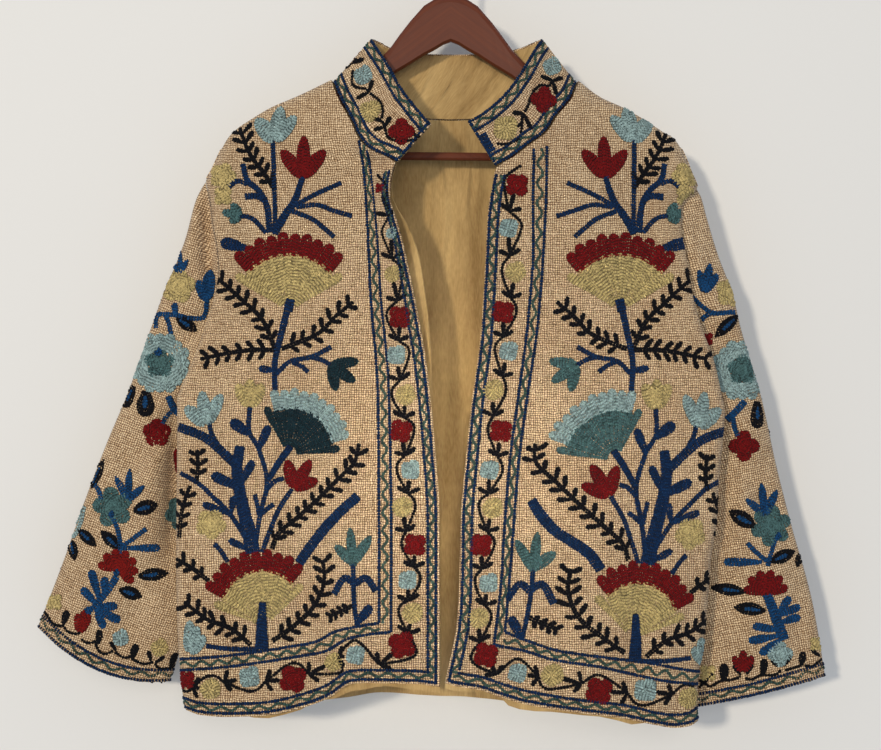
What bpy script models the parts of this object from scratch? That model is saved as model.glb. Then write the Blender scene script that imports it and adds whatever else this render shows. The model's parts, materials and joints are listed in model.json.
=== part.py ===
"""Open-front embroidered cotton jacket hanging on a wooden hanger, as separate sewn pieces.

The tables give the hanging jacket's outlines in millimetres of a measuring frame that stands in
the plane of the fronts: across from its left edge and down from its top, as seen from
VIEW_DISTANCE away. A depth column gives how far behind the hanger's plane a point lies, so a
negative depth is nearer the viewer. place() turns the three into metres, with the hook's seat
at the origin, +X to the viewer's right and +Z up.
"""

from collections import namedtuple
from math import cos, pi, radians, sin

import bpy
import numpy as np

# Measuring frame, in mm
VIEW_DISTANCE = 1300.0
FRONT_DEPTH = -45.0
VIEW_ACROSS = 440.5
VIEW_DOWN = 375.0
HANGER_ACROSS = 451.0
SEAT_ABOVE_FRAME = 85.0

# Cloth, in mm
CLOTH = 1.5
COLLAR_CLOTH = 1.4
LINING = 1.0
SEAM_GAP = 0.3
SIDE_GAP = 0.35
SLEEVE_FRONT_GAP = 0.7
SLEEVE_BACK_GAP = 0.9
LINING_GAP = 0.5
COLLAR_SEAM = 0.8
COLLAR_GAP = 0.5
PLEAT_DEPTH = 0.9

# Hanger, in mm, with its hook's angles in degrees
ARM_THICK = 12.4
ARM_CREST = 9.0
ARM_ROUND = 5.0
ARM_LEAN = 0.011
BAR_RADIUS = 4.3
BAR_DOWN = 156.5
BAR_ENDS = (250.0, 652.0)
WIRE_RADIUS = 2.0
HOOK_INSIDE = 17.0
HOOK_START = -48.0
HOOK_SWEEP = 245.0
SHANK_TOP = -44.0
NECK_PULL = 7.0

# How the cloth lies: lengths in mm, the rest as parts of a length
ARMPIT_DOWN = 400.0
SHOULDER_TURN = 30.0
LEAST_FOLD = 1.5
UNDER_POWER = 0.45
FOLD_END = 0.35
SPILL_PART = 0.1
SPILL_DROP = 0.35
FOLDS_START = 124.0
FOLDS_GROW = 90.0
RING_POWER = 2.2
BOW_ACROSS = 0.22
BOW_DOWN = 0.975
SLEEVE_CLEAR = 1.0
SLEEVE_SPREAD = 0.07
SLEEVE_GIRTH = 220.0
CUFF_GIRTH = 160.0
INNER_INSET = 3.0
BACK_FOLD_PART = 0.7
LEAST_HOLLOW = 0.25
MOST_WALL = 0.35
ARMHOLE_REACH = 0.22
PLEAT_FADE = 5
LINING_INSET = 2.0

Point = namedtuple("Point", "down across")
HemPoint = namedtuple("HemPoint", "across down")
DepthRow = namedtuple("DepthRow", "down opening band_width band middle side edge roll")
FoldRow = namedtuple("FoldRow", "across down end_across end_down width height")
UnderRow = namedtuple("UnderRow", "down seam turn seam_depth back_shift back_depth")
BackRow = namedtuple("BackRow", "down centre middle side roll")
SleevePoint = namedtuple("SleevePoint", "down across")
SleeveRow = namedtuple("SleeveRow", "length outer_depth inner_depth half_depth bow")
CollarRow = namedtuple("CollarRow", "neck top_across top_down top_depth")
ArmRow = namedtuple("ArmRow", "across top bottom")
Side = namedtuple(
    "Side",
    "front lining sleeve inward seam_down hem_in hem_out opening outline hem depths folds"
    " under sleeve_outer sleeve_inner sleeve_rows sleeve_folds collar spill peek",
)

RIGHT = Side(
    front="front_right",
    lining="lining_front_right",
    sleeve="sleeve_right",
    inward=1,
    seam_down=182.0,
    hem_in=687.0,
    hem_out=710.0,
    opening=(
        Point(80, 333), Point(98, 340), Point(120, 352), Point(138, 360), Point(150, 372),
        Point(163, 397), Point(171, 393), Point(198, 391), Point(215, 396), Point(235, 402),
        Point(275, 411), Point(320, 420), Point(370, 428), Point(440, 435), Point(520, 440),
        Point(720, 440),
    ),
    outline=(
        Point(80, 331), Point(95, 300), Point(108, 270), Point(120, 250), Point(128, 238),
        Point(138, 228), Point(170, 212), Point(182, 206), Point(200, 210), Point(225, 213),
        Point(245, 217), Point(270, 219), Point(290, 216), Point(320, 207), Point(355, 195),
        Point(385, 182), Point(400, 177), Point(430, 177), Point(560, 176), Point(620, 177),
        Point(690, 182), Point(720, 188),
    ),
    hem=(
        HemPoint(186, 710), HemPoint(200, 715), HemPoint(225, 717), HemPoint(260, 716),
        HemPoint(290, 711), HemPoint(320, 702), HemPoint(337, 693), HemPoint(346, 685),
        HemPoint(360, 683), HemPoint(415, 684), HemPoint(440, 687),
    ),
    depths=(
        DepthRow(80, -11, 8, -10, -9.5, -9.5, -0.15, 22),
        DepthRow(98, -16, 14, -13, -11, -9.5, -0.15, 22),
        DepthRow(138, -35, 20, -24, -15, -10, -0.15, 20),
        DepthRow(163, -46, 32, -25, -18, -13, -0.15, 11),
        DepthRow(182, -49, 29, -24, -20, -14, -0.15, 10),
        DepthRow(200, -50, 30, -24, -21, -16, -7, 14),
        DepthRow(240, -51, 37, -26, -23, -18, -15, 14),
        DepthRow(290, -52, 46, -28, -27, -21, -16, 12),
        DepthRow(340, -52, 50, -31, -30, -28, -22, 9),
        DepthRow(400, -52, 52, -36, -34, -32, -24, 9),
        DepthRow(500, -52, 56, -44, -39, -34, -24, 9),
        DepthRow(600, -52, 60, -49, -43, -35, -25, 9),
        DepthRow(720, -51, 60, -49, -46, -36, -26, 9),
    ),
    folds=(
        FoldRow(339, 712, 331, 590, 9, -6),
        FoldRow(354, 700, 346, 560, 12, 4),
        FoldRow(244, 150, 262, 330, 20, -3.5),
        FoldRow(306, 112, 320, 310, 26, 3),
        FoldRow(204, 420, 213, 650, 15, 4),
        FoldRow(262, 470, 274, 712, 22, 4.5),
        FoldRow(232, 560, 238, 715, 12, -4),
        FoldRow(300, 600, 303, 712, 13, -4),
    ),
    under=(
        UnderRow(182, 190, 0, -0.15, 0, 0.15),
        UnderRow(200, 191, 0, -7, 1, 7),
        UnderRow(240, 195, 0, -15, 3, 16),
        UnderRow(290, 214, 0, -16, 6, 20),
        UnderRow(300, 220, 0.4, -15.5, 4, 20.5),
        UnderRow(320, 228, 0.85, -14, 3, 20.5),
        UnderRow(340, 235, 1, -11, 2, 19),
        UnderRow(360, 241, 1, -7.2, 1, 16),
        UnderRow(380, 245, 1, -3, 0.5, 10),
        UnderRow(400, 247.5, 1, 0.8, 0, 2),
        UnderRow(410, 247.1, 1, 1.1, 0, 1.5),
        UnderRow(450, 245.7, 1, 0.8, 0, 0.9),
        UnderRow(600, 240.3, 1, 0, 0, 0),
        UnderRow(720, 236, 1, 0, 0, 0),
    ),
    sleeve_outer=(
        SleevePoint(182, 206), SleevePoint(187, 202.5), SleevePoint(200, 196),
        SleevePoint(240, 185), SleevePoint(295, 163), SleevePoint(345, 145),
        SleevePoint(395, 127), SleevePoint(440, 108), SleevePoint(500, 85),
        SleevePoint(565, 62), SleevePoint(627, 38),
    ),
    sleeve_inner=(
        SleevePoint(400, 247.5), SleevePoint(450, 236), SleevePoint(500, 223),
        SleevePoint(560, 207), SleevePoint(620, 190), SleevePoint(681, 170),
    ),
    sleeve_rows=(
        SleeveRow(0, 2, 3, 15, 0),
        SleeveRow(0.1, 2, 9, 15, 2),
        SleeveRow(0.3, 4, 13, 14, 8),
        SleeveRow(0.6, 6, 15, 14, 13),
        SleeveRow(1, 8, 14, 16, 18),
    ),
    sleeve_folds=(
        FoldRow(226, 305, 150, 372, 10, -5),
        FoldRow(222, 270, 170, 322, 12, 3.5),
        FoldRow(214, 345, 132, 436, 13, 4),
        FoldRow(196, 392, 116, 486, 11, -4.5),
        FoldRow(170, 440, 96, 560, 14, 4),
        FoldRow(176, 500, 122, 640, 15, -4),
        FoldRow(196, 206, 190, 262, 9, 2.5),
        FoldRow(88, 560, 70, 640, 12, 3),
    ),
    collar=(
        CollarRow(82, 371, 39, 2),
        CollarRow(90, 374, 43, -4),
        CollarRow(98, 379, 50, -11),
        CollarRow(120, 391, 69, -25),
        CollarRow(138, 399, 84, -35),
        CollarRow(150, 406, 94, -40),
        CollarRow(157, 417, 108, -48),
        CollarRow(162, 431, 124, -54),
    ),
    spill=(
        Point(188, 0), Point(205, 3), Point(225, 9), Point(255, 12), Point(300, 10),
        Point(340, 7), Point(380, 3), Point(410, 0),
    ),
    peek=(
        HemPoint(186, -6), HemPoint(230, -4), HemPoint(250, 2.5), HemPoint(262, 5),
        HemPoint(300, 2), HemPoint(325, -3), HemPoint(340, 9), HemPoint(360, 9),
        HemPoint(382, 3), HemPoint(410, 6), HemPoint(440, 7),
    ),
)

LEFT = Side(
    front="front_left",
    lining="lining_front_left",
    sleeve="sleeve_left",
    inward=-1,
    seam_down=190.0,
    hem_in=683.0,
    hem_out=720.0,
    opening=(
        Point(81, 577), Point(98, 570), Point(115, 556), Point(132, 545), Point(143, 530),
        Point(158, 510), Point(167, 495), Point(175, 492.5), Point(190, 490), Point(205, 487),
        Point(240, 485), Point(280, 483), Point(340, 479), Point(400, 471), Point(460, 465),
        Point(520, 460), Point(580, 459), Point(620, 457), Point(650, 452), Point(683, 445),
        Point(730, 440),
    ),
    outline=(
        Point(81, 579), Point(97, 600), Point(107, 622), Point(120, 645), Point(130, 660),
        Point(141, 676), Point(155, 684), Point(170, 690), Point(190, 697), Point(198, 686),
        Point(206, 681), Point(220, 681), Point(260, 687), Point(300, 694), Point(330, 703),
        Point(360, 714), Point(395, 722), Point(412, 725), Point(440, 723), Point(480, 719),
        Point(520, 717), Point(560, 711), Point(600, 708), Point(640, 704), Point(680, 698),
        Point(705, 697), Point(730, 700),
    ),
    hem=(
        HemPoint(445, 683), HemPoint(455, 686), HemPoint(480, 690), HemPoint(500, 697),
        HemPoint(520, 703), HemPoint(545, 708), HemPoint(580, 713), HemPoint(620, 718),
        HemPoint(655, 725), HemPoint(675, 728), HemPoint(690, 726), HemPoint(699, 720),
    ),
    depths=(
        DepthRow(81, -11, 10, -10, -9.5, -9.5, -0.15, 22),
        DepthRow(98, -16, 16, -14, -11, -9.5, -0.15, 22),
        DepthRow(141, -37, 30, -30, -18, -11, -0.15, 16),
        DepthRow(167, -46, 52, -40, -24, -14, -0.15, 11),
        DepthRow(190, -47, 57, -42, -27, -16, -0.15, 10),
        DepthRow(206, -48, 59, -42, -29, -19, -12, 12),
        DepthRow(240, -49, 59, -43, -32, -23, -18, 10),
        DepthRow(300, -50, 58, -45, -36, -27, -20, 9),
        DepthRow(340, -51, 57, -46, -38, -30, -22, 9),
        DepthRow(400, -52, 57, -48, -42, -33, -24, 9),
        DepthRow(500, -53, 58, -50, -46, -35, -24, 9),
        DepthRow(600, -54, 58, -52, -50, -36, -25, 9),
        DepthRow(730, -54, 58, -54, -53, -37, -26, 9),
    ),
    folds=(
        FoldRow(654, 158, 640, 340, 20, -3.5),
        FoldRow(596, 112, 586, 320, 26, 3),
        FoldRow(694, 430, 674, 690, 16, 4.5),
        FoldRow(642, 500, 634, 722, 14, -5),
        FoldRow(592, 500, 577, 712, 20, 4),
        FoldRow(527, 560, 514, 700, 12, -4),
        FoldRow(662, 590, 655, 724, 12, 4),
        FoldRow(702, 400, 676, 520, 12, -2.5),
    ),
    under=(
        UnderRow(190, 710, 0, -0.15, 0, 0.15),
        UnderRow(206, 690, 0, -12, -6, 8),
        UnderRow(230, 678, 0.5, -16, -7, 15),
        UnderRow(260, 674, 1, -15, -5, 19),
        UnderRow(300, 667, 1, -14, -3, 20.5),
        UnderRow(320, 662, 1, -13, -2, 20.5),
        UnderRow(340, 657.5, 1, -10.5, -1, 19),
        UnderRow(360, 654, 1, -7.2, -0.5, 16),
        UnderRow(380, 651.5, 1, -3, 0, 10),
        UnderRow(400, 650, 1, 0.8, 0, 2),
        UnderRow(410, 650.2, 1, 1.1, 0, 1.5),
        UnderRow(450, 650.8, 1, 0.8, 0, 0.9),
        UnderRow(600, 653.1, 1, 0, 0, 0),
        UnderRow(730, 655, 1, 0, 0, 0),
    ),
    sleeve_outer=(
        SleevePoint(190, 697), SleevePoint(197, 701), SleevePoint(215, 706),
        SleevePoint(255, 718), SleevePoint(295, 733), SleevePoint(325, 740),
        SleevePoint(360, 750), SleevePoint(400, 762), SleevePoint(460, 775),
        SleevePoint(520, 790), SleevePoint(600, 812), SleevePoint(650, 821),
        SleevePoint(676, 825),
    ),
    sleeve_inner=(
        SleevePoint(400, 650.5), SleevePoint(450, 656), SleevePoint(500, 663),
        SleevePoint(560, 671), SleevePoint(630, 680), SleevePoint(708, 689),
    ),
    sleeve_rows=(
        SleeveRow(0, 2, 3, 15, 0),
        SleeveRow(0.1, 2, 9, 15, 2),
        SleeveRow(0.3, 4, 13, 14, 7),
        SleeveRow(0.6, 6, 15, 14, 5),
        SleeveRow(1, 8, 14, 16, 3),
    ),
    sleeve_folds=(
        FoldRow(690, 300, 744, 372, 10, -5),
        FoldRow(690, 240, 722, 318, 10, 3.5),
        FoldRow(712, 372, 762, 450, 12, 4),
        FoldRow(716, 430, 776, 520, 11, -4.5),
        FoldRow(718, 480, 790, 590, 14, 4),
        FoldRow(712, 560, 760, 680, 14, -4),
        FoldRow(742, 610, 752, 690, 12, 4),
        FoldRow(790, 590, 806, 680, 11, -3),
    ),
    collar=(
        CollarRow(83, 542, 39, 2),
        CollarRow(91, 538, 44, -4),
        CollarRow(98, 534, 50, -11),
        CollarRow(115, 520, 73, -25),
        CollarRow(132, 505, 93, -35),
        CollarRow(143, 496, 102, -39),
        CollarRow(155, 482, 113, -45),
        CollarRow(166, 468, 121, -50),
    ),
    spill=(Point(81, 0), Point(180, 0), Point(210, -1), Point(730, -1)),
    peek=(
        HemPoint(445, 6), HemPoint(480, 3), HemPoint(495, -2), HemPoint(507, 6),
        HemPoint(525, 7), HemPoint(560, 3), HemPoint(600, 3), HemPoint(630, 5),
        HemPoint(650, 0), HemPoint(699, -6),
    ),
)

BACK_ROWS = (
    BackRow(80, 27, 9.5, 9.5, 22),
    BackRow(120, 27, 16, 9.5, 21),
    BackRow(141, 28, 18, 10, 16),
    BackRow(186, 29, 22, 12, 10),
    BackRow(225, 30, 24, 15, 14),
    BackRow(290, 31, 27, 20, 14),
    BackRow(340, 31, 27, 19, 12),
    BackRow(380, 31, 27, 12, 12),
    BackRow(410, 31, 26, 4, 12),
    BackRow(500, 31, 26, 3, 12),
    BackRow(730, 29, 26, 3, 12),
)
BACK_FOLDS = (
    FoldRow(330, 150, 345, 690, 30, 3),
    FoldRow(392, 260, 396, 700, 20, -2.5),
    FoldRow(452, 200, 450, 700, 26, 3),
    FoldRow(520, 240, 515, 700, 20, -2.5),
    FoldRow(580, 160, 570, 690, 30, 3),
)
BACK_NECK = (
    HemPoint(332, 81), HemPoint(345, 90), HemPoint(360, 100), HemPoint(380, 110),
    HemPoint(402, 117), HemPoint(451, 121), HemPoint(500, 117), HemPoint(524, 110),
    HemPoint(546, 100), HemPoint(563, 90), HemPoint(578, 82),
)
BACK_HEM = (
    HemPoint(236, 710), HemPoint(290, 704), HemPoint(340, 690), HemPoint(400, 684),
    HemPoint(451, 686), HemPoint(520, 692), HemPoint(580, 704), HemPoint(655, 720),
)
BACK_COLLAR = (
    CollarRow(332, 371, 39, 2),
    CollarRow(345, 379, 42, 10),
    CollarRow(360, 390, 45, 17),
    CollarRow(402, 417, 48, 26),
    CollarRow(451, 456, 50, 29),
    CollarRow(500, 494, 49, 26),
    CollarRow(546, 522, 46, 17),
    CollarRow(563, 533, 43, 10),
    CollarRow(578, 542, 39, 2),
)
LINING_HEM = (
    HemPoint(246, 700), HemPoint(290, 702), HemPoint(345, 697), HemPoint(380, 692),
    HemPoint(430, 695), HemPoint(460, 696), HemPoint(500, 700), HemPoint(560, 712),
    HemPoint(600, 714), HemPoint(646, 712),
)
LINING_FOLDS = (
    FoldRow(402, 250, 418, 690, 9, -5),
    FoldRow(424, 168, 428, 560, 8, -4),
    FoldRow(446, 200, 441, 690, 10, -7),
    FoldRow(466, 176, 462, 640, 8, -5),
    FoldRow(484, 260, 478, 690, 9, -4),
    FoldRow(350, 220, 352, 690, 16, -5),
    FoldRow(545, 240, 548, 690, 16, -5),
)

ARM_ROWS = (
    ArmRow(0, -5, 42),
    ArmRow(8, -4, 45),
    ArmRow(16, -1, 50),
    ArmRow(27, 6, 56),
    ArmRow(41, 22, 65),
    ArmRow(51, 35, 71),
    ArmRow(61, 49, 77),
    ArmRow(79, 68, 91),
    ArmRow(99, 84.5, 105),
    ArmRow(119, 93.5, 116),
    ArmRow(135, 96.5, 122),
    ArmRow(151, 99.5, 129),
    ArmRow(176, 110.8, 140),
    ArmRow(189, 118, 146),
    ArmRow(194, 121.2, 164),
    ArmRow(205, 129.2, 168),
    ArmRow(213, 135.5, 165),
    ArmRow(218, 142, 158),
)

FACE_STEPS = (0, 0.06, 0.13, 0.21, 0.3, 0.42, 0.55, 0.68, 0.8, 0.89, 0.95, 0.985, 1)
ARMPIT_PART = 0.41
ARMHOLE_STEPS = (
    0, 0.012, 0.035, 0.08, 0.15, 0.24, 0.33, 0.42, 0.52, 0.62, 0.72, 0.81, 0.89, 0.95, 0.985, 1,
)
BODY_STEPS = (0.07, 0.16, 0.27, 0.39, 0.51, 0.63, 0.75, 0.87, 0.94, 1)
ROWS = tuple(ARMPIT_PART * step for step in ARMHOLE_STEPS) + tuple(
    ARMPIT_PART + (1 - ARMPIT_PART) * step for step in BODY_STEPS
)
UNDER_STEPS = (0.04, 0.18, 0.5, 1)
SHOULDER_PART = 0.26
SHOULDER_STEPS = (0, 0.03, 0.08, 0.14, 0.2, 0.26)
NECK_STEPS = (0.29, 0.33, 0.39, 0.45)
SLEEVE_STEPS = (0, 0.02, 0.055, 0.11, 0.18, 0.26, 0.35, 0.44, 0.53, 0.62, 0.71, 0.8, 0.9, 1)
COLLAR_FRONT_COLUMNS = 11
COLLAR_BACK_COLUMNS = 18
LINING_TOP_ROW = 3
LINING_COLUMNS = 10
LINING_SIDE_COLUMNS = 2


def blend(rows, column, at):
    """Smooth value of one column between the rows of a table keyed by its first column."""
    key = np.array([row[0] for row in rows], float)
    value = np.array([getattr(row, column) for row in rows], float)
    at = np.clip(at, key[0], key[-1])
    step = np.diff(key)
    slope = np.diff(value) / step
    tangent = np.zeros(len(value))
    before, after = slope[:-1], slope[1:]
    steady = before * after > 0
    total = np.where(steady, before + after, 1.0)
    tangent[1:-1] = np.where(steady, 2 * before * after / total, 0.0)
    tangent[0], tangent[-1] = slope[0], slope[-1]
    i = np.clip(np.searchsorted(key, at, side="right") - 1, 0, len(step) - 1)
    t = (at - key[i]) / step[i]
    ends = value[i] * (1 + 2 * t) * (1 - t) ** 2 + value[i + 1] * t * t * (3 - 2 * t)
    return ends + step[i] * t * (1 - t) * (tangent[i] * (1 - t) - tangent[i + 1] * t)


def through(knots, values, at):
    """Smooth value at each point along four knots, whose places and values may vary by point."""
    widths = [knots[i + 1] - knots[i] for i in range(3)]
    slopes = [(values[i + 1] - values[i]) / widths[i] for i in range(3)]
    tangents = [slopes[0] * 0.4]
    for first, second in zip(slopes, slopes[1:]):
        steady = first * second > 0
        total = np.where(steady, first + second, 1.0)
        tangents.append(np.where(steady, 2 * first * second / total, 0.0))
    tangents.append(slopes[2])
    result = 0.0
    for i in range(3):
        inside = (at >= knots[i]) & (at < knots[i + 1]) if i < 2 else at >= knots[i]
        if i == 0:
            inside = at < knots[1]
        t = (at - knots[i]) / widths[i]
        ends = values[i] * (1 + 2 * t) * (1 - t) ** 2 + values[i + 1] * t * t * (3 - 2 * t)
        bend = widths[i] * t * (1 - t) * (tangents[i] * (1 - t) - tangents[i + 1] * t)
        result = result + np.where(inside, ends + bend, 0.0)
    return result


def place(across, down, depth):
    """Point in metres of a place in the measuring frame with its depth."""
    spread = (VIEW_DISTANCE + depth - FRONT_DEPTH) / VIEW_DISTANCE
    x = VIEW_ACROSS - HANGER_ACROSS + (across - VIEW_ACROSS) * spread
    z = -(SEAT_ABOVE_FRAME + VIEW_DOWN + (down - VIEW_DOWN) * spread)
    return np.stack(np.broadcast_arrays(x, depth, z), axis=-1) / 1000


def crease(folds, across, down):
    """Depth that a list of soft ridges and troughs adds: a ridge comes towards the viewer."""
    total = np.zeros(np.broadcast(across, down).shape)
    for fold in folds:
        run_across = fold.end_across - fold.across
        run_down = fold.end_down - fold.down
        length = np.hypot(run_across, run_down)
        along = ((across - fold.across) * run_across + (down - fold.down) * run_down) / length
        aside = ((across - fold.across) * run_down - (down - fold.down) * run_across) / length
        ends = np.clip(np.minimum(along, length - along) / (FOLD_END * length) + FOLD_END, 0, 1)
        fade = ends * ends * (3 - 2 * ends)
        total = total - fold.height * fade * np.exp(-((aside / fold.width) ** 2))
    return total


def rolled(face, edge, distance, roll):
    """Depth of a face that rounds over to its edge within the roll."""
    part = 1 - np.clip(distance / roll, 0, 1)
    return edge + (face - edge) * np.sqrt(1 - part * part)


def front_depth(side, across, down):
    """Depth of a front panel's outside, over the part that faces the viewer."""
    inner = blend(side.opening, "across", down)
    outer = blend(side.outline, "across", down)
    width = np.maximum((inner - outer) * side.inward, 2)
    part = np.clip((inner - across) * side.inward / width, -0.1, 1)
    band = np.clip(blend(side.depths, "band_width", down) / width, 0.1, 0.4)
    knots = (np.zeros_like(band), band, np.full_like(band, 0.62), np.ones_like(band))
    values = [blend(side.depths, name, down) for name in ("opening", "band", "middle", "side")]
    face = through(knots, values, part)
    distance = (across - outer) * side.inward
    away = np.clip(distance / 40, 0, 1)
    face = face + crease(side.folds, across, down) * away
    return rolled(face, blend(side.depths, "edge", down), distance, blend(side.depths, "roll", down))


def patch(first, second, top, bottom, u, v):
    """Places of a four-sided panel between its two long edges, its top and its hem."""
    ends = (first(np.zeros(1)), second(np.zeros(1)), first(np.ones(1)), second(np.ones(1)))
    u = u[None, :, None]
    rows = v[:, None, None]
    near, far = first(v)[:, None], second(v)[:, None]
    high, low = top(u[0, :, 0])[None], bottom(u[0, :, 0])[None]
    corners = (1 - u) * (1 - rows) * ends[0] + u * (1 - rows) * ends[1]
    corners = corners + (1 - u) * rows * ends[2] + u * rows * ends[3]
    return (1 - u) * near + u * far + (1 - rows) * high + rows * low - corners


def shoulder_line(side, part):
    """Places along the shoulder seam, from the neck to the sleeve's top."""
    down = np.linspace(side.outline[0].down, side.seam_down, 60)
    across = blend(side.outline, "across", down)
    length = np.concatenate([[0], np.cumsum(np.hypot(np.diff(across), np.diff(down)))])
    down = np.interp(part, length / length[-1], down)
    return np.stack([blend(side.outline, "across", down), down], axis=-1)


def edge_down(side, part):
    """Down of the outer edge's points: the armhole first, then the side seam to the hem."""
    armhole = side.seam_down + (ARMPIT_DOWN - side.seam_down) * part / ARMPIT_PART
    below = ARMPIT_DOWN + (side.hem_out - ARMPIT_DOWN) * (part - ARMPIT_PART) / (1 - ARMPIT_PART)
    return np.where(part < ARMPIT_PART, armhole, below)


def front_places(side, u, v):
    """Places of a front panel's face, from its opening edge to its outline and down to its hem."""
    top = side.opening[0].down

    def opening(part):
        down = top + (side.hem_in - top) * part
        return np.stack([blend(side.opening, "across", down), down], axis=-1)

    def outline(part):
        down = edge_down(side, part)
        return np.stack([blend(side.outline, "across", down), down], axis=-1)

    def hem(part):
        first, last = opening(np.ones(1))[0], outline(np.ones(1))[0]
        across = first[0] + (last[0] - first[0]) * part
        down = blend(side.hem, "down", across)
        down = down + (first[1] - down[0]) * (1 - part) ** 4 if len(part) > 1 else down
        return np.stack([across, down], axis=-1)

    return patch(opening, outline, lambda part: shoulder_line(side, part), hem, u, v)


def seam_place(side, down):
    """Across and depth of the front's armhole and side seam, behind the fold of its side."""
    outer = blend(side.outline, "across", down)
    seam = blend(side.under, "seam", down)
    across = np.where((seam - outer) * side.inward > 0, seam, outer)
    return across, blend(side.under, "seam_depth", down)


def back_seam_place(side, down):
    """Across and depth of the back's armhole and side seam."""
    across, _ = seam_place(side, down)
    across = across + side.inward * blend(side.under, "back_shift", down)
    return across, blend(side.under, "back_depth", down)


def under_depth(side, across, down):
    """Depth of the part of a front that folds back behind its side, seen from behind it."""
    outer = blend(side.outline, "across", down)
    seam, seam_depth = seam_place(side, down)
    width = np.maximum(np.abs(seam - outer), 0.5)
    part = np.clip((across - outer) * side.inward / width, 0, 1)
    edge = blend(side.depths, "edge", down)
    inside = ((across - outer) * side.inward > 0) & ((seam - across) * side.inward > -1)
    inside = inside & (np.abs(seam - outer) > 1)
    return np.where(inside, edge + (seam_depth - edge) * part**UNDER_POWER, -100.0)


def across_unit(vectors):
    """Vectors of length 1."""
    length = np.linalg.norm(vectors, axis=-1, keepdims=True)
    return vectors / np.maximum(length, 1e-12)


def grid_normals(points):
    """Unit normals of a grid of points, from the runs along its rows and its columns."""
    down = np.gradient(points, axis=0)
    along = np.gradient(points, axis=1)
    return across_unit(np.cross(along, down))


def line_normals(points, towards):
    """Unit directions square to a line in the X-Z plane, on the side of one direction."""
    run = np.gradient(points, axis=0)
    square = np.stack([-run[:, 2], np.zeros(len(run)), run[:, 0]], axis=-1)
    square = across_unit(square)
    return square * np.where(square @ np.array(towards, float) < 0, -1, 1)[:, None]


def wall(name, outside, inside, material, around=False):
    """Closed solid between two grids of the same size, in metres, with a rim along each edge."""
    rows, columns = outside.shape[:2]
    points = np.concatenate([outside.reshape(-1, 3), inside.reshape(-1, 3)])
    _, first, index = np.unique(
        np.round(points * 1e7).astype(np.int64), axis=0, return_index=True, return_inverse=True
    )
    index = index.reshape(-1)
    outer = index[: rows * columns].reshape(rows, columns)
    inner = index[rows * columns :].reshape(rows, columns)
    faces = []
    last = columns if around else columns - 1
    for i in range(rows - 1):
        for j in range(last):
            k = (j + 1) % columns
            faces.append((outer[i, j], outer[i + 1, j], outer[i + 1, k], outer[i, k]))
            faces.append((inner[i, j], inner[i, k], inner[i + 1, k], inner[i + 1, j]))
    for j in range(last):
        k = (j + 1) % columns
        faces.append((outer[0, j], outer[0, k], inner[0, k], inner[0, j]))
        faces.append((outer[-1, k], outer[-1, j], inner[-1, j], inner[-1, k]))
    if not around:
        for i in range(rows - 1):
            faces.append((outer[i + 1, 0], outer[i, 0], inner[i, 0], inner[i + 1, 0]))
            faces.append((outer[i, -1], outer[i + 1, -1], inner[i + 1, -1], inner[i, -1]))
    kept = []
    for face in faces:
        distinct = [int(corner) for n, corner in enumerate(face) if corner != face[n - 1]]
        if len(set(distinct)) > 2:
            kept.append(distinct)
    return solid(name, points[first], kept, material)


def solid(name, points, faces, material):
    """Mesh object of a closed shape, with its faces turned outwards."""
    mesh = bpy.data.meshes.new(name)
    mesh.from_pydata([tuple(point) for point in points], [], faces)
    corners = [points[list(face)] for face in faces]
    volume = sum(np.dot(c[0], np.cross(c[i], c[i + 1])) for c in corners for i in range(1, len(c) - 1))
    if volume < 0:
        mesh.flip_normals()
    mesh.materials.append(material)
    mesh.shade_smooth()
    mesh.set_sharp_from_angle(angle=radians(50))
    mesh.update()
    obj = bpy.data.objects.new(name, mesh)
    bpy.context.scene.collection.objects.link(obj)
    return obj


def finish(name, colour, roughness, metallic=0.0):
    """Plain material of one sub-part."""
    material = bpy.data.materials.new(name)
    material.use_nodes = True
    shader = material.node_tree.nodes["Principled BSDF"]
    shader.inputs["Base Color"].default_value = (*colour, 1)
    shader.inputs["Roughness"].default_value = roughness
    shader.inputs["Metallic"].default_value = metallic
    return material


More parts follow.
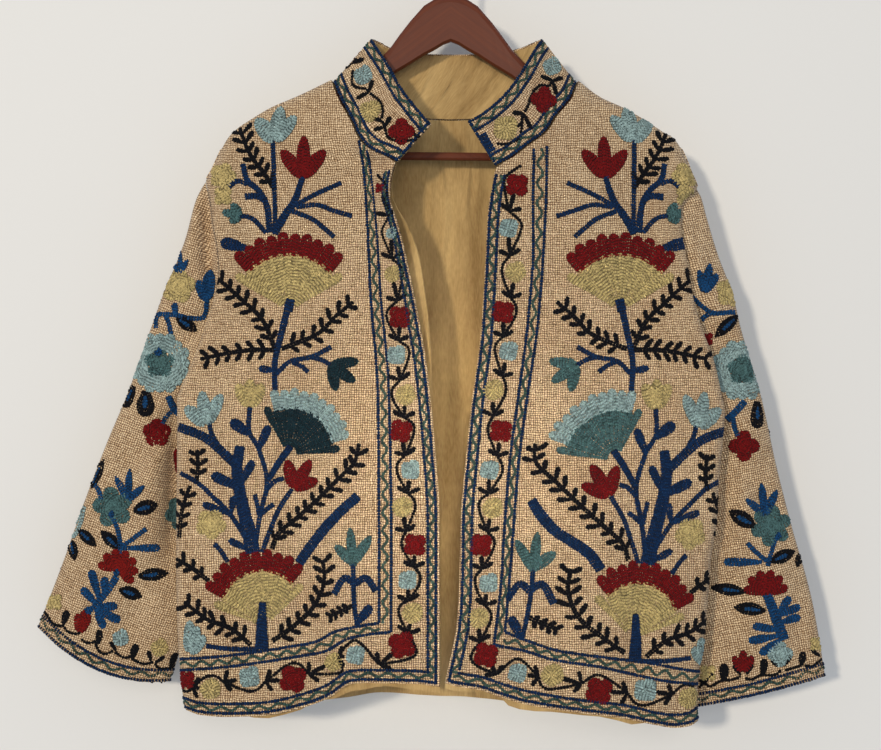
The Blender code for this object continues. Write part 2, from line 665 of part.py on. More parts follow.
def front_panel(side, cloth, lining):
    """One front: its face, and the strip that folds back from its side to the armhole and seam."""
    u, v = np.array(FACE_STEPS, float), np.array(ROWS, float)
    seen = front_places(side, u, v)
    face = place(seen[..., 0], seen[..., 1], front_depth(side, seen[..., 0], seen[..., 1]))
    face[1:, -1] = place(
        seen[1:, -1, 0] + side.inward * SEAM_GAP / 2, seen[1:, -1, 1],
        blend(side.depths, "edge", seen[1:, -1, 1]),
    )
    inward = -grid_normals(face) * side.inward
    inward[0] = line_normals(face[0], (0, 0, -1))
    edge = seen[:, -1, 1]
    turn = blend(side.under, "turn", edge) * pi
    open_seam = np.clip((edge - side.seam_down) / SHOULDER_TURN, 0, 1)[:, None]

    def turned(angle):
        direction = np.stack([side.inward * np.sin(angle), np.cos(angle), 0 * angle], axis=-1)
        start = np.array([side.inward, 0, -0.25])
        return across_unit(direction * open_seam + start * (1 - open_seam))

    inward[:, -1] = turned(turn / 2)
    seam, seam_depth = seam_place(side, edge)
    width = np.abs(seam - seen[:, -1, 0])
    folded = (width > LEAST_FOLD)[:, None]
    strips, strip_inward = [], []
    for step in UNDER_STEPS:
        across = seen[:, -1, 0] + side.inward * (width * step - SIDE_GAP * (step == 1))
        depth = seam_depth if step == 1 else under_depth(side, across, edge)
        strips.append(np.where(folded, place(across, edge, depth), face[:, -1]))
        direction = turned(turn * (0.5 + 0.5 * min(1, step * 2.2)))
        strip_inward.append(np.where(folded, direction, inward[:, -1]))
    outside = np.concatenate([face, np.stack(strips, axis=1)], axis=1)
    directions = np.concatenate([inward, np.stack(strip_inward, axis=1)], axis=1)
    wall(side.front, outside, outside + directions * CLOTH / 1000, cloth)
    front_lining(side, seen, face, inward, lining)


def front_lining(side, seen, face, inward, lining):
    """Lining of one front, against its inside, with the edge and hem that show beyond it."""
    rows, columns = slice(LINING_TOP_ROW, None), slice(0, LINING_COLUMNS)
    back = (face + inward * (CLOTH + LINING_GAP) / 1000)[rows, columns]
    across, down = seen[rows, columns, 0], seen[rows, columns, 1]
    normal = inward[rows, columns]
    spill = blend(side.spill, "across", down[:, :1])
    loose = np.clip(1 - np.array(FACE_STEPS[:LINING_COLUMNS]) / SPILL_PART, 0, 1)[None]
    move = place(across + side.inward * spill * loose, down, 0.0) - place(across, down, 0.0)
    move[..., 1] = np.maximum(spill, 0) * loose * SPILL_DROP / 1000
    back = back + move
    back[-1] += across_unit(back[-1] - back[-2]) * blend(side.peek, "down", across[-1])[:, None] / 1000
    wall(side.lining, back, back + normal * LINING / 1000, lining)


def back_edges(down):
    """Across and depth of the back panel's two outer edges: shoulder, armhole and side seam."""
    edges = []
    for side in (RIGHT, LEFT):
        seam, depth = back_seam_place(side, down)
        shoulder = blend(side.outline, "across", down)
        high = down < side.seam_down
        edges.append((np.where(high, shoulder, seam), np.where(high, SEAM_GAP / 2, depth)))
    return edges


def back_depth(across, down):
    """Depth of the back panel's outside."""
    (left, left_depth), (right, right_depth) = back_edges(down)
    part = np.clip(np.abs(2 * (across - left) / np.maximum(right - left, 4) - 1), 0, 1)
    centre, middle, outer = (blend(BACK_ROWS, name, down) for name in ("centre", "middle", "side"))
    third = np.full_like(part, 1 / 3)
    knots = (0 * part, third, 2 * third, 3 * third)
    face = through(knots, (centre, (2 * centre + middle) / 3, middle, outer), part)
    nearest = np.minimum(across - left, right - across)
    face = face + crease(BACK_FOLDS, across, down) * np.clip(nearest / 60, 0, 1)
    edge = np.where(across - left < right - across, left_depth, right_depth)
    return rolled(face, edge, np.maximum(nearest, 0), blend(BACK_ROWS, "roll", down))


def neck_line(across):
    """Down of the back neck seam."""
    return blend(BACK_NECK, "down", across)


def back_places(u, v):
    """Places of the back panel, from the viewer's left to the right and down to its hem."""

    def edge(side):
        def run(part):
            down = edge_down(side, part)
            return np.stack([back_seam_place(side, down)[0], down], axis=-1)

        return run

    def high(part):
        left = shoulder_line(RIGHT, np.clip(1 - part / SHOULDER_PART, 0, 1))
        right = shoulder_line(LEFT, np.clip((part - 1) / SHOULDER_PART + 1, 0, 1))
        middle = (part - SHOULDER_PART) / (1 - 2 * SHOULDER_PART)
        across = BACK_NECK[0].across + (BACK_NECK[-1].across - BACK_NECK[0].across) * middle
        neck = np.stack([across, neck_line(across)], axis=-1)
        inner = np.where((part > 1 - SHOULDER_PART - 1e-9)[:, None], right, neck)
        return np.where((part < SHOULDER_PART + 1e-9)[:, None], left, inner)

    def low(part):
        first, last = edge(RIGHT)(np.ones(1))[0], edge(LEFT)(np.ones(1))[0]
        across = first[0] + (last[0] - first[0]) * part
        return np.stack([across, blend(BACK_HEM, "down", across)], axis=-1)

    return patch(edge(RIGHT), edge(LEFT), high, low, u, v)


def back_panel(cloth, lining):
    """The back, one piece from side seam to side seam, with its neck edge."""
    half = SHOULDER_STEPS + NECK_STEPS
    u = np.array(half + (0.5,) + tuple(1 - step for step in reversed(half)))
    seen = back_places(u, np.array(ROWS))
    across, down = seen[..., 0].copy(), seen[..., 1].copy()
    depth = back_depth(across, down)
    for column, side in ((0, RIGHT), (-1, LEFT)):
        depth[1:, column] = back_seam_place(side, down[1:, column])[1]
    outside = place(across, down, depth)
    inward = grid_normals(outside)
    inward = inward * np.where(inward[..., 1:2] > 0, -1, 1)
    top = line_normals(outside[0], (0, 0, -1))
    shoulder = (u < SHOULDER_PART + 0.01) | (u > 1 - SHOULDER_PART - 0.01)
    inward[0] = np.where(shoulder[:, None], top, inward[0])
    for column, side in ((0, RIGHT), (-1, LEFT)):
        part = np.clip((down[:, column] - side.seam_down) / SHOULDER_TURN, 0, 1)[:, None]
        start = np.array([side.inward, 0, -0.25])
        inward[:, column] = across_unit(start * (1 - part) + np.array([0, -1, 0]) * part)
    wall("back", outside, outside + inward * CLOTH / 1000, cloth)
    back_lining(u, across, down, outside, inward, lining)


def back_lining(u, across, down, outside, inward, lining):
    """Lining of the back, on its inside, with the soft folds that show through the opening."""
    columns = slice(LINING_SIDE_COLUMNS, -LINING_SIDE_COLUMNS)
    back = outside + inward * (CLOTH + LINING_GAP) / 1000
    grown = np.clip((down - FOLDS_START) / FOLDS_GROW, 0, 1)
    bulge = crease(LINING_FOLDS, across, down) * grown
    back[..., 1] -= np.abs(bulge) / 1000
    longer = blend(LINING_HEM, "down", across[-1]) - down[-1]
    back[-1] += across_unit(back[-1] - back[-2]) * longer[:, None] / 1000
    shoulder = (np.abs(u - 0.5) > 0.5 - SHOULDER_PART + 0.01)[:, None]
    for row in range(1, LINING_TOP_ROW + 1):
        part = (row - 1) / LINING_TOP_ROW
        under = back[LINING_TOP_ROW] * (1 - part) + back[LINING_TOP_ROW + 1] * part
        under_normal = inward[LINING_TOP_ROW] * (1 - part) + inward[LINING_TOP_ROW + 1] * part
        back[row] = np.where(shoulder, under, back[row])
        inward[row] = np.where(shoulder, under_normal, inward[row])
    back, normal = back[1:, columns], inward[1:, columns]
    wall("lining_back", back, back + normal * LINING / 1000, lining)


def sleeve_ring(side, length, part, back):
    """Points of one half of a sleeve's ring, by the part of the way from its top to its underside."""
    outer_down = side.sleeve_outer[0].down
    outer_down = outer_down + (side.sleeve_outer[-1].down - outer_down) * length
    inner_down = ARMPIT_DOWN + (side.sleeve_inner[-1].down - ARMPIT_DOWN) * length
    outer = np.array([blend(side.sleeve_outer, "across", outer_down), outer_down])
    inner = np.array([blend(side.sleeve_inner, "across", inner_down), inner_down])
    seen = outer + (inner - outer) * part[:, None]
    bow = blend(side.sleeve_rows, "bow", length) * 4 * part * (1 - part)
    seen = seen + bow[:, None] * np.array([-BOW_ACROSS * side.inward, BOW_DOWN])
    edge = (back_seam_place if back else seam_place)(side, armhole_down(side, part))[0]
    straight = side.sleeve_outer[0].across * (1 - part) + side.sleeve_inner[0].across * part
    seen[:, 0] += (edge - straight) * np.clip(1 - length / ARMHOLE_REACH, 0, 1) ** 2
    middle = blend(side.sleeve_rows, "outer_depth", length) * (1 - part)
    middle = middle + blend(side.sleeve_rows, "inner_depth", length) * part
    half = blend(side.sleeve_rows, "half_depth", length)
    half = half * (1 - np.abs(2 * part - 1) ** RING_POWER) ** (1 / RING_POWER)
    folds = crease(side.sleeve_folds, seen[:, 0], seen[:, 1]) * np.clip(half / 10, 0, 1)
    front = middle - half + folds
    seam, _ = seam_place(side, seen[:, 1])
    clear = SLEEVE_CLEAR + SLEEVE_SPREAD * np.abs(seam - seen[:, 0])
    front = np.maximum(front, under_depth(side, seen[:, 0], seen[:, 1]) + clear)
    if not back:
        return seen[:, 0], seen[:, 1], front
    behind = np.maximum(middle + half - BACK_FOLD_PART * folds, front + LEAST_HOLLOW * half)
    return seen[:, 0], seen[:, 1], behind


def armhole_down(side, part):
    """Down of the armhole's points, by the part of the way from the shoulder to the armpit."""
    return side.seam_down + (ARMPIT_DOWN - side.seam_down) * part


def armhole_ring(side, part, back):
    """Points of the sleeve's first ring, a seam's gap from the armhole."""
    down = armhole_down(side, part)
    if back:
        across, depth = back_seam_place(side, down)
        gap = SLEEVE_BACK_GAP + 0.05 * np.abs(blend(side.under, "back_shift", down))
        return across - side.inward * gap, down, depth
    across, depth = seam_place(side, down)
    turn = blend(side.under, "turn", down) * pi / 2
    across = across - side.inward * (SEAM_GAP * np.cos(turn) + SLEEVE_FRONT_GAP * np.sin(turn))
    return across, down, depth + SLEEVE_FRONT_GAP * np.sin(turn)


def sleeve(side, cloth):
    """One sleeve: an open tube from the armhole to the cuff, of rings of a front and a back half."""
    part = np.array(ARMHOLE_STEPS, float)
    outside, inside = [], []
    for length in SLEEVE_STEPS:
        ring = armhole_ring if length == 0 else lambda s, p, b, at=length: sleeve_ring(s, at, p, b)
        girth = SLEEVE_GIRTH + (CUFF_GIRTH - SLEEVE_GIRTH) * length
        narrow = (part * (girth - 2 * INNER_INSET) + INNER_INSET) / girth
        halves = [place(*ring(side, part, back)) for back in (False, True)]
        inner = [place(*ring(side, narrow, back)) for back in (False, True)]
        gap = inner[1] - inner[0]
        distance = np.maximum(np.linalg.norm(gap, axis=-1, keepdims=True), 1e-9)
        move = gap / distance * np.minimum(CLOTH / 1000, MOST_WALL * distance)
        inner = [inner[0] + move, inner[1] - move]
        halves[1][0] = halves[0][0] = (halves[0][0] + halves[1][0]) / 2
        halves[1][-1] = halves[0][-1] = (halves[0][-1] + halves[1][-1]) / 2
        outside.append(np.concatenate([halves[0], halves[1][-2:0:-1]]))
        tips = [(inner[0][i] + inner[1][i]) / 2 for i in (0, -1)]
        inner[0][0], inner[0][-1] = tips
        inside.append(np.concatenate([inner[0], inner[1][-2:0:-1]]))
    wall(side.sleeve, np.array(outside), np.array(inside), cloth, around=True)


def collar_columns(count_front, count_back):
    """Neck and top points of the collar's band, from the viewer's left end round the back."""
    neck, top = [], []

    def add(rows, at, across, down, depth):
        neck.append(place(across, down, depth))
        names = ("top_across", "top_down", "top_depth")
        top.append(place(*(blend(rows, name, at) for name in names)))

    for side, order in ((RIGHT, -1), (None, 1), (LEFT, 1)):
        if side is None:
            at = np.linspace(BACK_COLLAR[0].neck, BACK_COLLAR[-1].neck, count_back)[1:-1]
            down = neck_line(at)
            add(BACK_COLLAR, at, at, down, back_depth(at, down))
            continue
        at = np.linspace(side.collar[0].neck, side.collar[-1].neck, count_front)[::order]
        rows = side.opening[0].down + (side.hem_in - side.opening[0].down) * np.array(ROWS)
        edge = blend(side.opening, "across", rows)
        across = np.interp(at, rows, edge)
        add(side.collar, at, across, at, np.interp(at, rows, front_depth(side, edge, rows)))
    return np.concatenate(neck), np.concatenate(top)


def collar(cloth, lining):
    """The collar's outer band and its gathered lining, which stand on the neck seam."""
    neck, top = collar_columns(COLLAR_FRONT_COLUMNS, COLLAR_BACK_COLUMNS)
    rise = top - neck
    length = np.linalg.norm(rise, axis=-1, keepdims=True) * 1000
    steps = np.linspace(0, 1, 5)
    grid = np.array([neck + rise * (COLLAR_SEAM / length * (1 - step) + step) for step in steps])
    inward = -grid_normals(grid)
    middle = len(neck) // 2
    if inward[2, middle, 1] > 0:
        inward = -inward
    wall("collar", grid, grid + inward * COLLAR_CLOTH / 1000, cloth)
    start = grid + inward * (COLLAR_CLOTH + COLLAR_GAP) / 1000
    inset = LINING_INSET / length
    start[0], start[-1] = (
        start[0] * (1 - inset) + start[-1] * inset,
        start[-1] * (1 - inset) + start[0] * inset,
    )
    start, inward = between(start), between(inward)
    place_in_row = np.arange(start.shape[1])
    from_middle = np.abs(place_in_row - (len(place_in_row) - 1) / 2)
    fade = np.clip((COLLAR_BACK_COLUMNS - from_middle) / PLEAT_FADE, 0, 1)
    thick = LINING + PLEAT_DEPTH * fade * (place_in_row % 2)
    wall("collar_lining", start, start + inward * thick[None, :, None] / 1000, lining)


def between(grid):
    """The grid with a column added halfway between each two."""
    full = np.empty((grid.shape[0], 2 * grid.shape[1] - 1, 3))
    full[:, ::2] = grid
    full[:, 1::2] = (grid[:, 1:] + grid[:, :-1]) / 2
    return full


def hanger_arms(wood):
    """The hanger's two arms in one piece, as upright sections with rounded edges."""
    rows = [(-row.across, row.top, row.bottom) for row in reversed(ARM_ROWS[1:])]
    rows += [(row.across, row.top, row.bottom) for row in ARM_ROWS]
    points, faces = [], []
    ring = [radians(angle) for angle in (0, 30, 60, 90, 120, 150, 180, 215, 250, 290, 325)]
    for across, top, bottom in rows:
        high = place(HANGER_ACROSS + across, top + ARM_LEAN * across, 0)
        low = place(HANGER_ACROSS + across, bottom + ARM_LEAN * across, 0)
        for angle in ring:
            y = ARM_THICK / 2 * cos(angle)
            if sin(angle) > -1e-6:
                z = high[2] - ARM_CREST * (1 - sin(angle)) / 1000
            else:
                z = low[2] + ARM_ROUND * (1 + sin(angle)) / 1000
            points.append((high[0], y / 1000, z))
    count = len(ring)
    for i in range(len(rows) - 1):
        for j in range(count):
            k = (j + 1) % count
            faces.append((i * count + j, i * count + k, (i + 1) * count + k, (i + 1) * count + j))
    faces.append(tuple(range(count))[::-1])
    faces.append(tuple((len(rows) - 1) * count + j for j in range(count)))
    return solid("hanger", np.array(points), faces, wood)


def rod(name, ends, radius, sides, material):
    """Round rod along X between two ends, in metres."""
    points, faces = [], []
    for end in ends:
        for j in range(sides):
            angle = 2 * pi * j / sides
            points.append(end + radius * np.array([0, cos(angle), sin(angle)]))
    for j in range(sides):
        k = (j + 1) % sides
        faces.append((j, k, sides + k, sides + j))
    faces.append(tuple(range(sides))[::-1])
    faces.append(tuple(range(sides, 2 * sides)))
    return solid(name, np.array(points), faces, material)


def hanger_bar(arms, wood):
    """The round bar, and the sockets in the arms that hold its ends."""
    ends = [place(across, BAR_DOWN + ARM_LEAN * (across - HANGER_ACROSS), 0) for across in BAR_ENDS]
    rod("hanger_bar", ends, BAR_RADIUS / 1000, 12, wood)
    longer = np.array([0.3, 0, 0]) / 1000
    cutter = rod("socket_cutter", [ends[0] - longer, ends[1] + longer], (BAR_RADIUS + 0.3) / 1000, 12, wood)
    cutter.hide_render = True
    cutter.display_type = "WIRE"
    sockets = arms.modifiers.new("sockets", "BOOLEAN")
    sockets.operation = "DIFFERENCE"
    sockets.object = cutter


def hanger_hook(steel):
    """The hook: a shank that rises from the wood and bends over to the viewer's left."""
    radius = HOOK_INSIDE + WIRE_RADIUS
    middle = -HOOK_INSIDE
    wood_top = place(HANGER_ACROSS, ARM_ROWS[0].top, 0)[2] * 1000
    start = radians(HOOK_START)
    bend_end = np.array([radius * cos(start), middle + radius * sin(start)])
    pulls = (
        np.array([0, SHANK_TOP]),
        np.array([0, SHANK_TOP + NECK_PULL]),
        bend_end - NECK_PULL * np.array([-sin(start), cos(start)]),
        bend_end,
    )
    path = [(0, wood_top + SEAM_GAP)]
    for step in range(7):
        t = step / 7
        weights = ((1 - t) ** 3, 3 * t * (1 - t) ** 2, 3 * t * t * (1 - t), t**3)
        path.append(tuple(sum(weight * pull for weight, pull in zip(weights, pulls))))
    steps = 20
    for step in range(steps + 1):
        angle = radians(HOOK_START + (HOOK_SWEEP * step) / steps)
        path.append((radius * cos(angle), middle + radius * sin(angle)))
    curve = bpy.data.curves.new("hanger_hook", "CURVE")
    curve.dimensions = "3D"
    curve.bevel_depth = WIRE_RADIUS / 1000
    curve.bevel_resolution = 2
    curve.use_fill_caps = True
    spline = curve.splines.new("POLY")
    spline.points.add(len(path) - 1)
    for point, (x, z) in zip(spline.points, path):
        point.co = (x / 1000, 0, z / 1000, 1)
    curve.materials.append(steel)
    hook = bpy.data.objects.new("hanger_hook", curve)
    bpy.context.scene.collection.objects.link(hook)


def main():
    for obj in list(bpy.data.objects):
        bpy.data.objects.remove(obj)
    cloth = finish("beige cotton", (0.61, 0.43, 0.24), 0.9)
    lining = finish("tan lining cotton", (0.38, 0.24, 0.09), 0.85)
    wood = finish("stained wood", (0.11, 0.035, 0.018), 0.35)
    steel = finish("nickel steel", (0.6, 0.58, 0.55), 0.25, 1.0)
    for side in (RIGHT, LEFT):
        front_panel(side, cloth, lining)
        sleeve(side, cloth)
    back_panel(cloth, lining)
    collar(cloth, lining)
    hanger_bar(hanger_arms(wood), wood)
    hanger_hook(steel)


main()
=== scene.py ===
"""Open-front embroidered cotton jacket on its wooden hanger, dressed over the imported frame.

Every cloth solid is replaced by a finer shell on the same form, with the weave's direction kept
in a UV map in metres. The wool embroidery is laid on those shells as chain-stitch loops. The
tables give the hanging jacket's outlines in millimetres of a measuring frame that stands in the
plane of the fronts: across from its left edge and down from its top, as seen from VIEW_DISTANCE
away. A depth is how far behind the hanger's plane a point lies.
"""

import json
import logging
from collections.abc import Callable, Sequence
from dataclasses import dataclass, field
from enum import Enum
from math import atan2, ceil, cos, degrees, pi, radians, sin
from typing import NamedTuple

import bmesh
import bpy
import numpy as np
from mathutils import Vector
from mathutils.bvhtree import BVHTree
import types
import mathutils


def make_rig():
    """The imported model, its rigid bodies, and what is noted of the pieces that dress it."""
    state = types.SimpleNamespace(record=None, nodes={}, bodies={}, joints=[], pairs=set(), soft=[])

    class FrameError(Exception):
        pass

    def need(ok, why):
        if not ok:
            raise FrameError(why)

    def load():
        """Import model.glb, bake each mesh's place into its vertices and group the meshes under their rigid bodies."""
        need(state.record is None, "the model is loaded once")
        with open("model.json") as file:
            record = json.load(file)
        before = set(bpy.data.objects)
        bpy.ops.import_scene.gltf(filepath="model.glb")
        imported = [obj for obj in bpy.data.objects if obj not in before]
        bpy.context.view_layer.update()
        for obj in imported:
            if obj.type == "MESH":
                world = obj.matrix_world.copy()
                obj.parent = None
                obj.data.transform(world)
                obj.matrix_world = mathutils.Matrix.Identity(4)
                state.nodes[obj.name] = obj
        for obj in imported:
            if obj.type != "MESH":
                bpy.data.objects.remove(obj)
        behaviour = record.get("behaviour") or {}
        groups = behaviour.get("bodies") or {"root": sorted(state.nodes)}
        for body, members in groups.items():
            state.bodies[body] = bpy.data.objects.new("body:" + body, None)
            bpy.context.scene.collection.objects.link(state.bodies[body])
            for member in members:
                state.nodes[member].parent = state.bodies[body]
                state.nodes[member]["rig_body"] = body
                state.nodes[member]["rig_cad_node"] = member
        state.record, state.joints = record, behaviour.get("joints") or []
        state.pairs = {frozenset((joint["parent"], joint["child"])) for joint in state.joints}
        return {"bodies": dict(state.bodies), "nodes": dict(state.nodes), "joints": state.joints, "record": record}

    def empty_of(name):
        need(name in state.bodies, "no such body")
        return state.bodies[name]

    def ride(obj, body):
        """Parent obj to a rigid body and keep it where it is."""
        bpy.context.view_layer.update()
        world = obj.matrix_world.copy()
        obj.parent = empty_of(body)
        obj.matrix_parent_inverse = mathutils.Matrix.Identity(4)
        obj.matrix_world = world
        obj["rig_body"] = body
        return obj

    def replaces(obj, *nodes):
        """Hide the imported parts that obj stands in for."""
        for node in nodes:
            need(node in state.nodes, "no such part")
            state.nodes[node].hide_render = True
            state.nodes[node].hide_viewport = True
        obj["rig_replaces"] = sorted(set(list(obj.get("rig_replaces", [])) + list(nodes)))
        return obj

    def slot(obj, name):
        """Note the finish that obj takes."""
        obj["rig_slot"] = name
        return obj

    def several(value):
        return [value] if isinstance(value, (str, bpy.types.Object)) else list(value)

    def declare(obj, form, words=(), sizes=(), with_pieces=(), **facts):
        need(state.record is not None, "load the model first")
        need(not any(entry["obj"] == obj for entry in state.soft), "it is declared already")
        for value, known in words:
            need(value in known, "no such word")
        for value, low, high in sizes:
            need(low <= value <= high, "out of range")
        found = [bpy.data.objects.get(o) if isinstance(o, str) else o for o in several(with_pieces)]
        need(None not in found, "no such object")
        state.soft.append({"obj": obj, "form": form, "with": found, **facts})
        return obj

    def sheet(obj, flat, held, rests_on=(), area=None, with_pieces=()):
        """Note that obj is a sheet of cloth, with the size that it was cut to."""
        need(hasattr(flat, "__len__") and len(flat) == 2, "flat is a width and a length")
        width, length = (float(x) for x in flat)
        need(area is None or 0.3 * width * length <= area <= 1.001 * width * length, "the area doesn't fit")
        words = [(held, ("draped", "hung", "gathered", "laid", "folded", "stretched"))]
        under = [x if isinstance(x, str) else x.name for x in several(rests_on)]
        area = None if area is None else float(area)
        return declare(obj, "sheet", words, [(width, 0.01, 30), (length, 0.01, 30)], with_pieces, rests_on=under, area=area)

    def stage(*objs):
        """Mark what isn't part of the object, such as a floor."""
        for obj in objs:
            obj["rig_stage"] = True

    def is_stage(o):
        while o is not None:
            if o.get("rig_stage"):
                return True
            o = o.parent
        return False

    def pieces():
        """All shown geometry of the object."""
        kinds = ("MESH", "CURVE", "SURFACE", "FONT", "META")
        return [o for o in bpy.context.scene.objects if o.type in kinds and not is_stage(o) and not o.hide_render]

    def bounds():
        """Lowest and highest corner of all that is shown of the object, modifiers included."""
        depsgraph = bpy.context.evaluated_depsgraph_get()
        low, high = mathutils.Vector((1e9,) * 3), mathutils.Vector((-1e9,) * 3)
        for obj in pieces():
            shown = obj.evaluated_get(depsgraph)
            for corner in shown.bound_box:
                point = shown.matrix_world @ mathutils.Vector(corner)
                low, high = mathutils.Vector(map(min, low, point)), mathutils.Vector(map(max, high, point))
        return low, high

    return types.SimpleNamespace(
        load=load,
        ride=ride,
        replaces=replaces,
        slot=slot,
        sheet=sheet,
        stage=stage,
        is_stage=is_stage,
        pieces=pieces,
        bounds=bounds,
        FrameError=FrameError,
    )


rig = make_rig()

Array = np.ndarray
Flat = tuple[float, float]
LOG = logging.getLogger("jacket")

# Measuring frame, in mm
VIEW_DISTANCE = 1300.0
FRONT_DEPTH = -45.0
VIEW_ACROSS = 440.5
VIEW_DOWN = 375.0
FRAME_WIDTH = 881.0
SENSOR_WIDTH = 36.0
HANGER_ACROSS = 451.0
SEAT_ABOVE_FRAME = 85.0

# Cloth, in mm
CLOTH = 1.5
COLLAR_CLOTH = 1.4
LINING = 1.0
SEAM_GAP = 0.3
SIDE_GAP = 0.35
SLEEVE_FRONT_GAP = 0.2
SLEEVE_BACK_GAP = 0.4
LINING_GAP = 0.5
COLLAR_SEAM = 0.8
COLLAR_GAP = 0.5
PLEAT_DEPTH = 0.9

# How the cloth lies: lengths in mm, the angle in degrees, the rest as parts of a length
ARMPIT_DOWN = 400.0
SHOULDER_TURN = 30.0
LEAST_FOLD = 1.5
UNDER_POWER = 0.45
FOLD_END = 0.35
SPILL_PART = 0.1
SPILL_DROP = 0.35
FOLDS_START = 124.0
FOLDS_GROW = 90.0
RING_POWER = 2.2
BOW_ACROSS = 0.22
BOW_DOWN = 0.975
SLEEVE_CLEAR = 1.0
SLEEVE_SPREAD = 0.07
SLEEVE_GIRTH = 220.0
CUFF_GIRTH = 160.0
INNER_INSET = 3.0
BACK_FOLD_PART = 0.7
LEAST_HOLLOW = 0.25
MOST_WALL = 0.35
ARMHOLE_REACH = 0.22
LINING_INSET = 2.0
LINING_NECK_INSET = 0.2
EDGE_SLOPE = 0.4
PEEK_START = 0.94
PEEK_LENGTH = 0.06
SMOOTH_ANGLE = 55
RIPPLE_FIRST = 0.32
RIPPLE_SECOND = 0.16
BACK_RIPPLE = 1.6
SLEEVE_RIPPLE = 1.4
FRONT_CALM = 40.0
BACK_CALM = 60.0
SLEEVE_CALM = 6.0
BAND_PARTS = (0.1, 0.4)
MIDDLE_KNOT = 0.62
NO_FOLD = -100.0
SHOULDER_SAMPLES = 60
SHOULDER_SPARE = 0.01
SEAM_RISE = -0.25
TURN_RATE = 2.2
NECK_TUCK = 0.08
BACK_SHIFT_GAP = 0.05
PLEAT_RISE = 1.7
PLEATS_PAST = 4
PLEATS_FADE = 16

# Needlework: lengths in mm, angles in degrees, the rest as parts of a length or counts
STITCH_LENGTH = 3.15
STITCH_OVERLAP = 1.5
STITCH_WIDTH = 2.75
STITCH_HEIGHT = 1.2
ROW_GAP = 2.15
SPARE_ROW = 0.4
SAMPLE_STEP = 0.9
SURFACE_JUMP = 7.0
LEAST_ROW = 1.2
UNEVEN_STEP = 0.35
UNEVEN_PLACE = 0.12
UNEVEN_WIDTH = 0.1
STEM_WIDTH = 4.4
FERN_STEM = 4.8
FERN_STEM_END = 2.8
FERN_LEAF_WIDTH = 4.8
FERN_LEAF_ANGLE = 52
HEART_START = 0.18
HEART_END = 0.7
HEART_WIDTH = 0.28
FLOWER_MIDDLE = 0.46
EDGE_SAMPLES = 420
WAVE_SAMPLES = 900
VINE_CLEAR = 1.4
SEPAL_LENGTH = 12.5
SEPAL_ANGLE = 62
DAISY_PETAL = 9.5
WING_SPREAD = 1.28
FULL = 1.22
LINE_FULL = 1.38
WAVE_FULL = 1.3
LEAST_BARE = 0.85
WAVE_SWAY = 0.24
EDGE_SWAY = 0.36
EDGE_WAVE = 20.0
REAR_DEPTH = 20.0
SHADE_LIMITS = (0.5, 1.6)
LEAST_INSET = 0.3
HEART_LIFT = 0.9
PETAL_START = 0.6
TULIP_BODY = 0.62
TULIP_LIFT = 0.35
FERN_START = 0.9
FERN_UNEVEN_LEAF = 0.14
FERN_UNEVEN_ANGLE = 6
FERN_UNEVEN_GAP = 0.12
BRIM_UNEVEN = 0.8
BRIM_DEPTH = 1.5
BRIM_FULL = 1.04
WING_RISE = 0.6
FAN_FOOT = 3.0
WAVE_INSET = 0.6
BLOOM_FULL = 1.08
BLOOM_PETAL = 1.1
BLOOM_ANGLES = (30, 60)
VINE_START = 9
VINE_BENDS = (0.6, 0.35)
VINE_NODE = 0.62
VINE_NODE_CLEAR = 6
VINE_NODE_ASIDE = 2.5
SEPAL_UNEVEN = 0.1


class Point(NamedTuple):
    """Place on an upright edge."""

    down: float
    across: float


class HemPoint(NamedTuple):
    """Place on a level edge, or a length at a place along it."""

    across: float
    down: float


class DepthRow(NamedTuple):
    """Depths across a front panel at one height."""

    down: float
    opening: float
    band_width: float
    band: float
    middle: float
    side: float
    edge: float
    roll: float


class FoldRow(NamedTuple):
    """Soft ridge, or trough where its height is negative, between two places."""

    across: float
    down: float
    end_across: float
    end_down: float
    width: float
    height: float


class UnderRow(NamedTuple):
    """Armhole and side seam, behind the fold of a front's side."""

    down: float
    seam: float
    turn: float
    seam_depth: float
    back_shift: float
    back_depth: float


class BackRow(NamedTuple):
    """Depths across the back panel at one height."""

    down: float
    centre: float
    middle: float
    side: float
    roll: float


class SleeveRow(NamedTuple):
    """Section of a sleeve at a part of its length."""

    length: float
    outer_depth: float
    inner_depth: float
    half_depth: float
    bow: float


class CollarRow(NamedTuple):
    """Top of the collar above one place on the neck seam."""

    neck: float
    top_across: float
    top_down: float
    top_depth: float


class Side(NamedTuple):
    """One half of the jacket, as its tables."""

    front: str
    lining: str
    sleeve: str
    inward: int
    seam_down: float
    hem_in: float
    hem_out: float
    opening: tuple
    outline: tuple
    hem: tuple
    depths: tuple
    folds: tuple
    under: tuple
    sleeve_outer: tuple
    sleeve_inner: tuple
    sleeve_rows: tuple
    sleeve_folds: tuple
    collar: tuple
    spill: tuple
    peek: tuple


def table(kind: type, *rows: tuple) -> tuple:
    """A table's rows, with their columns named by the kind."""
    return tuple(kind(*row) for row in rows)


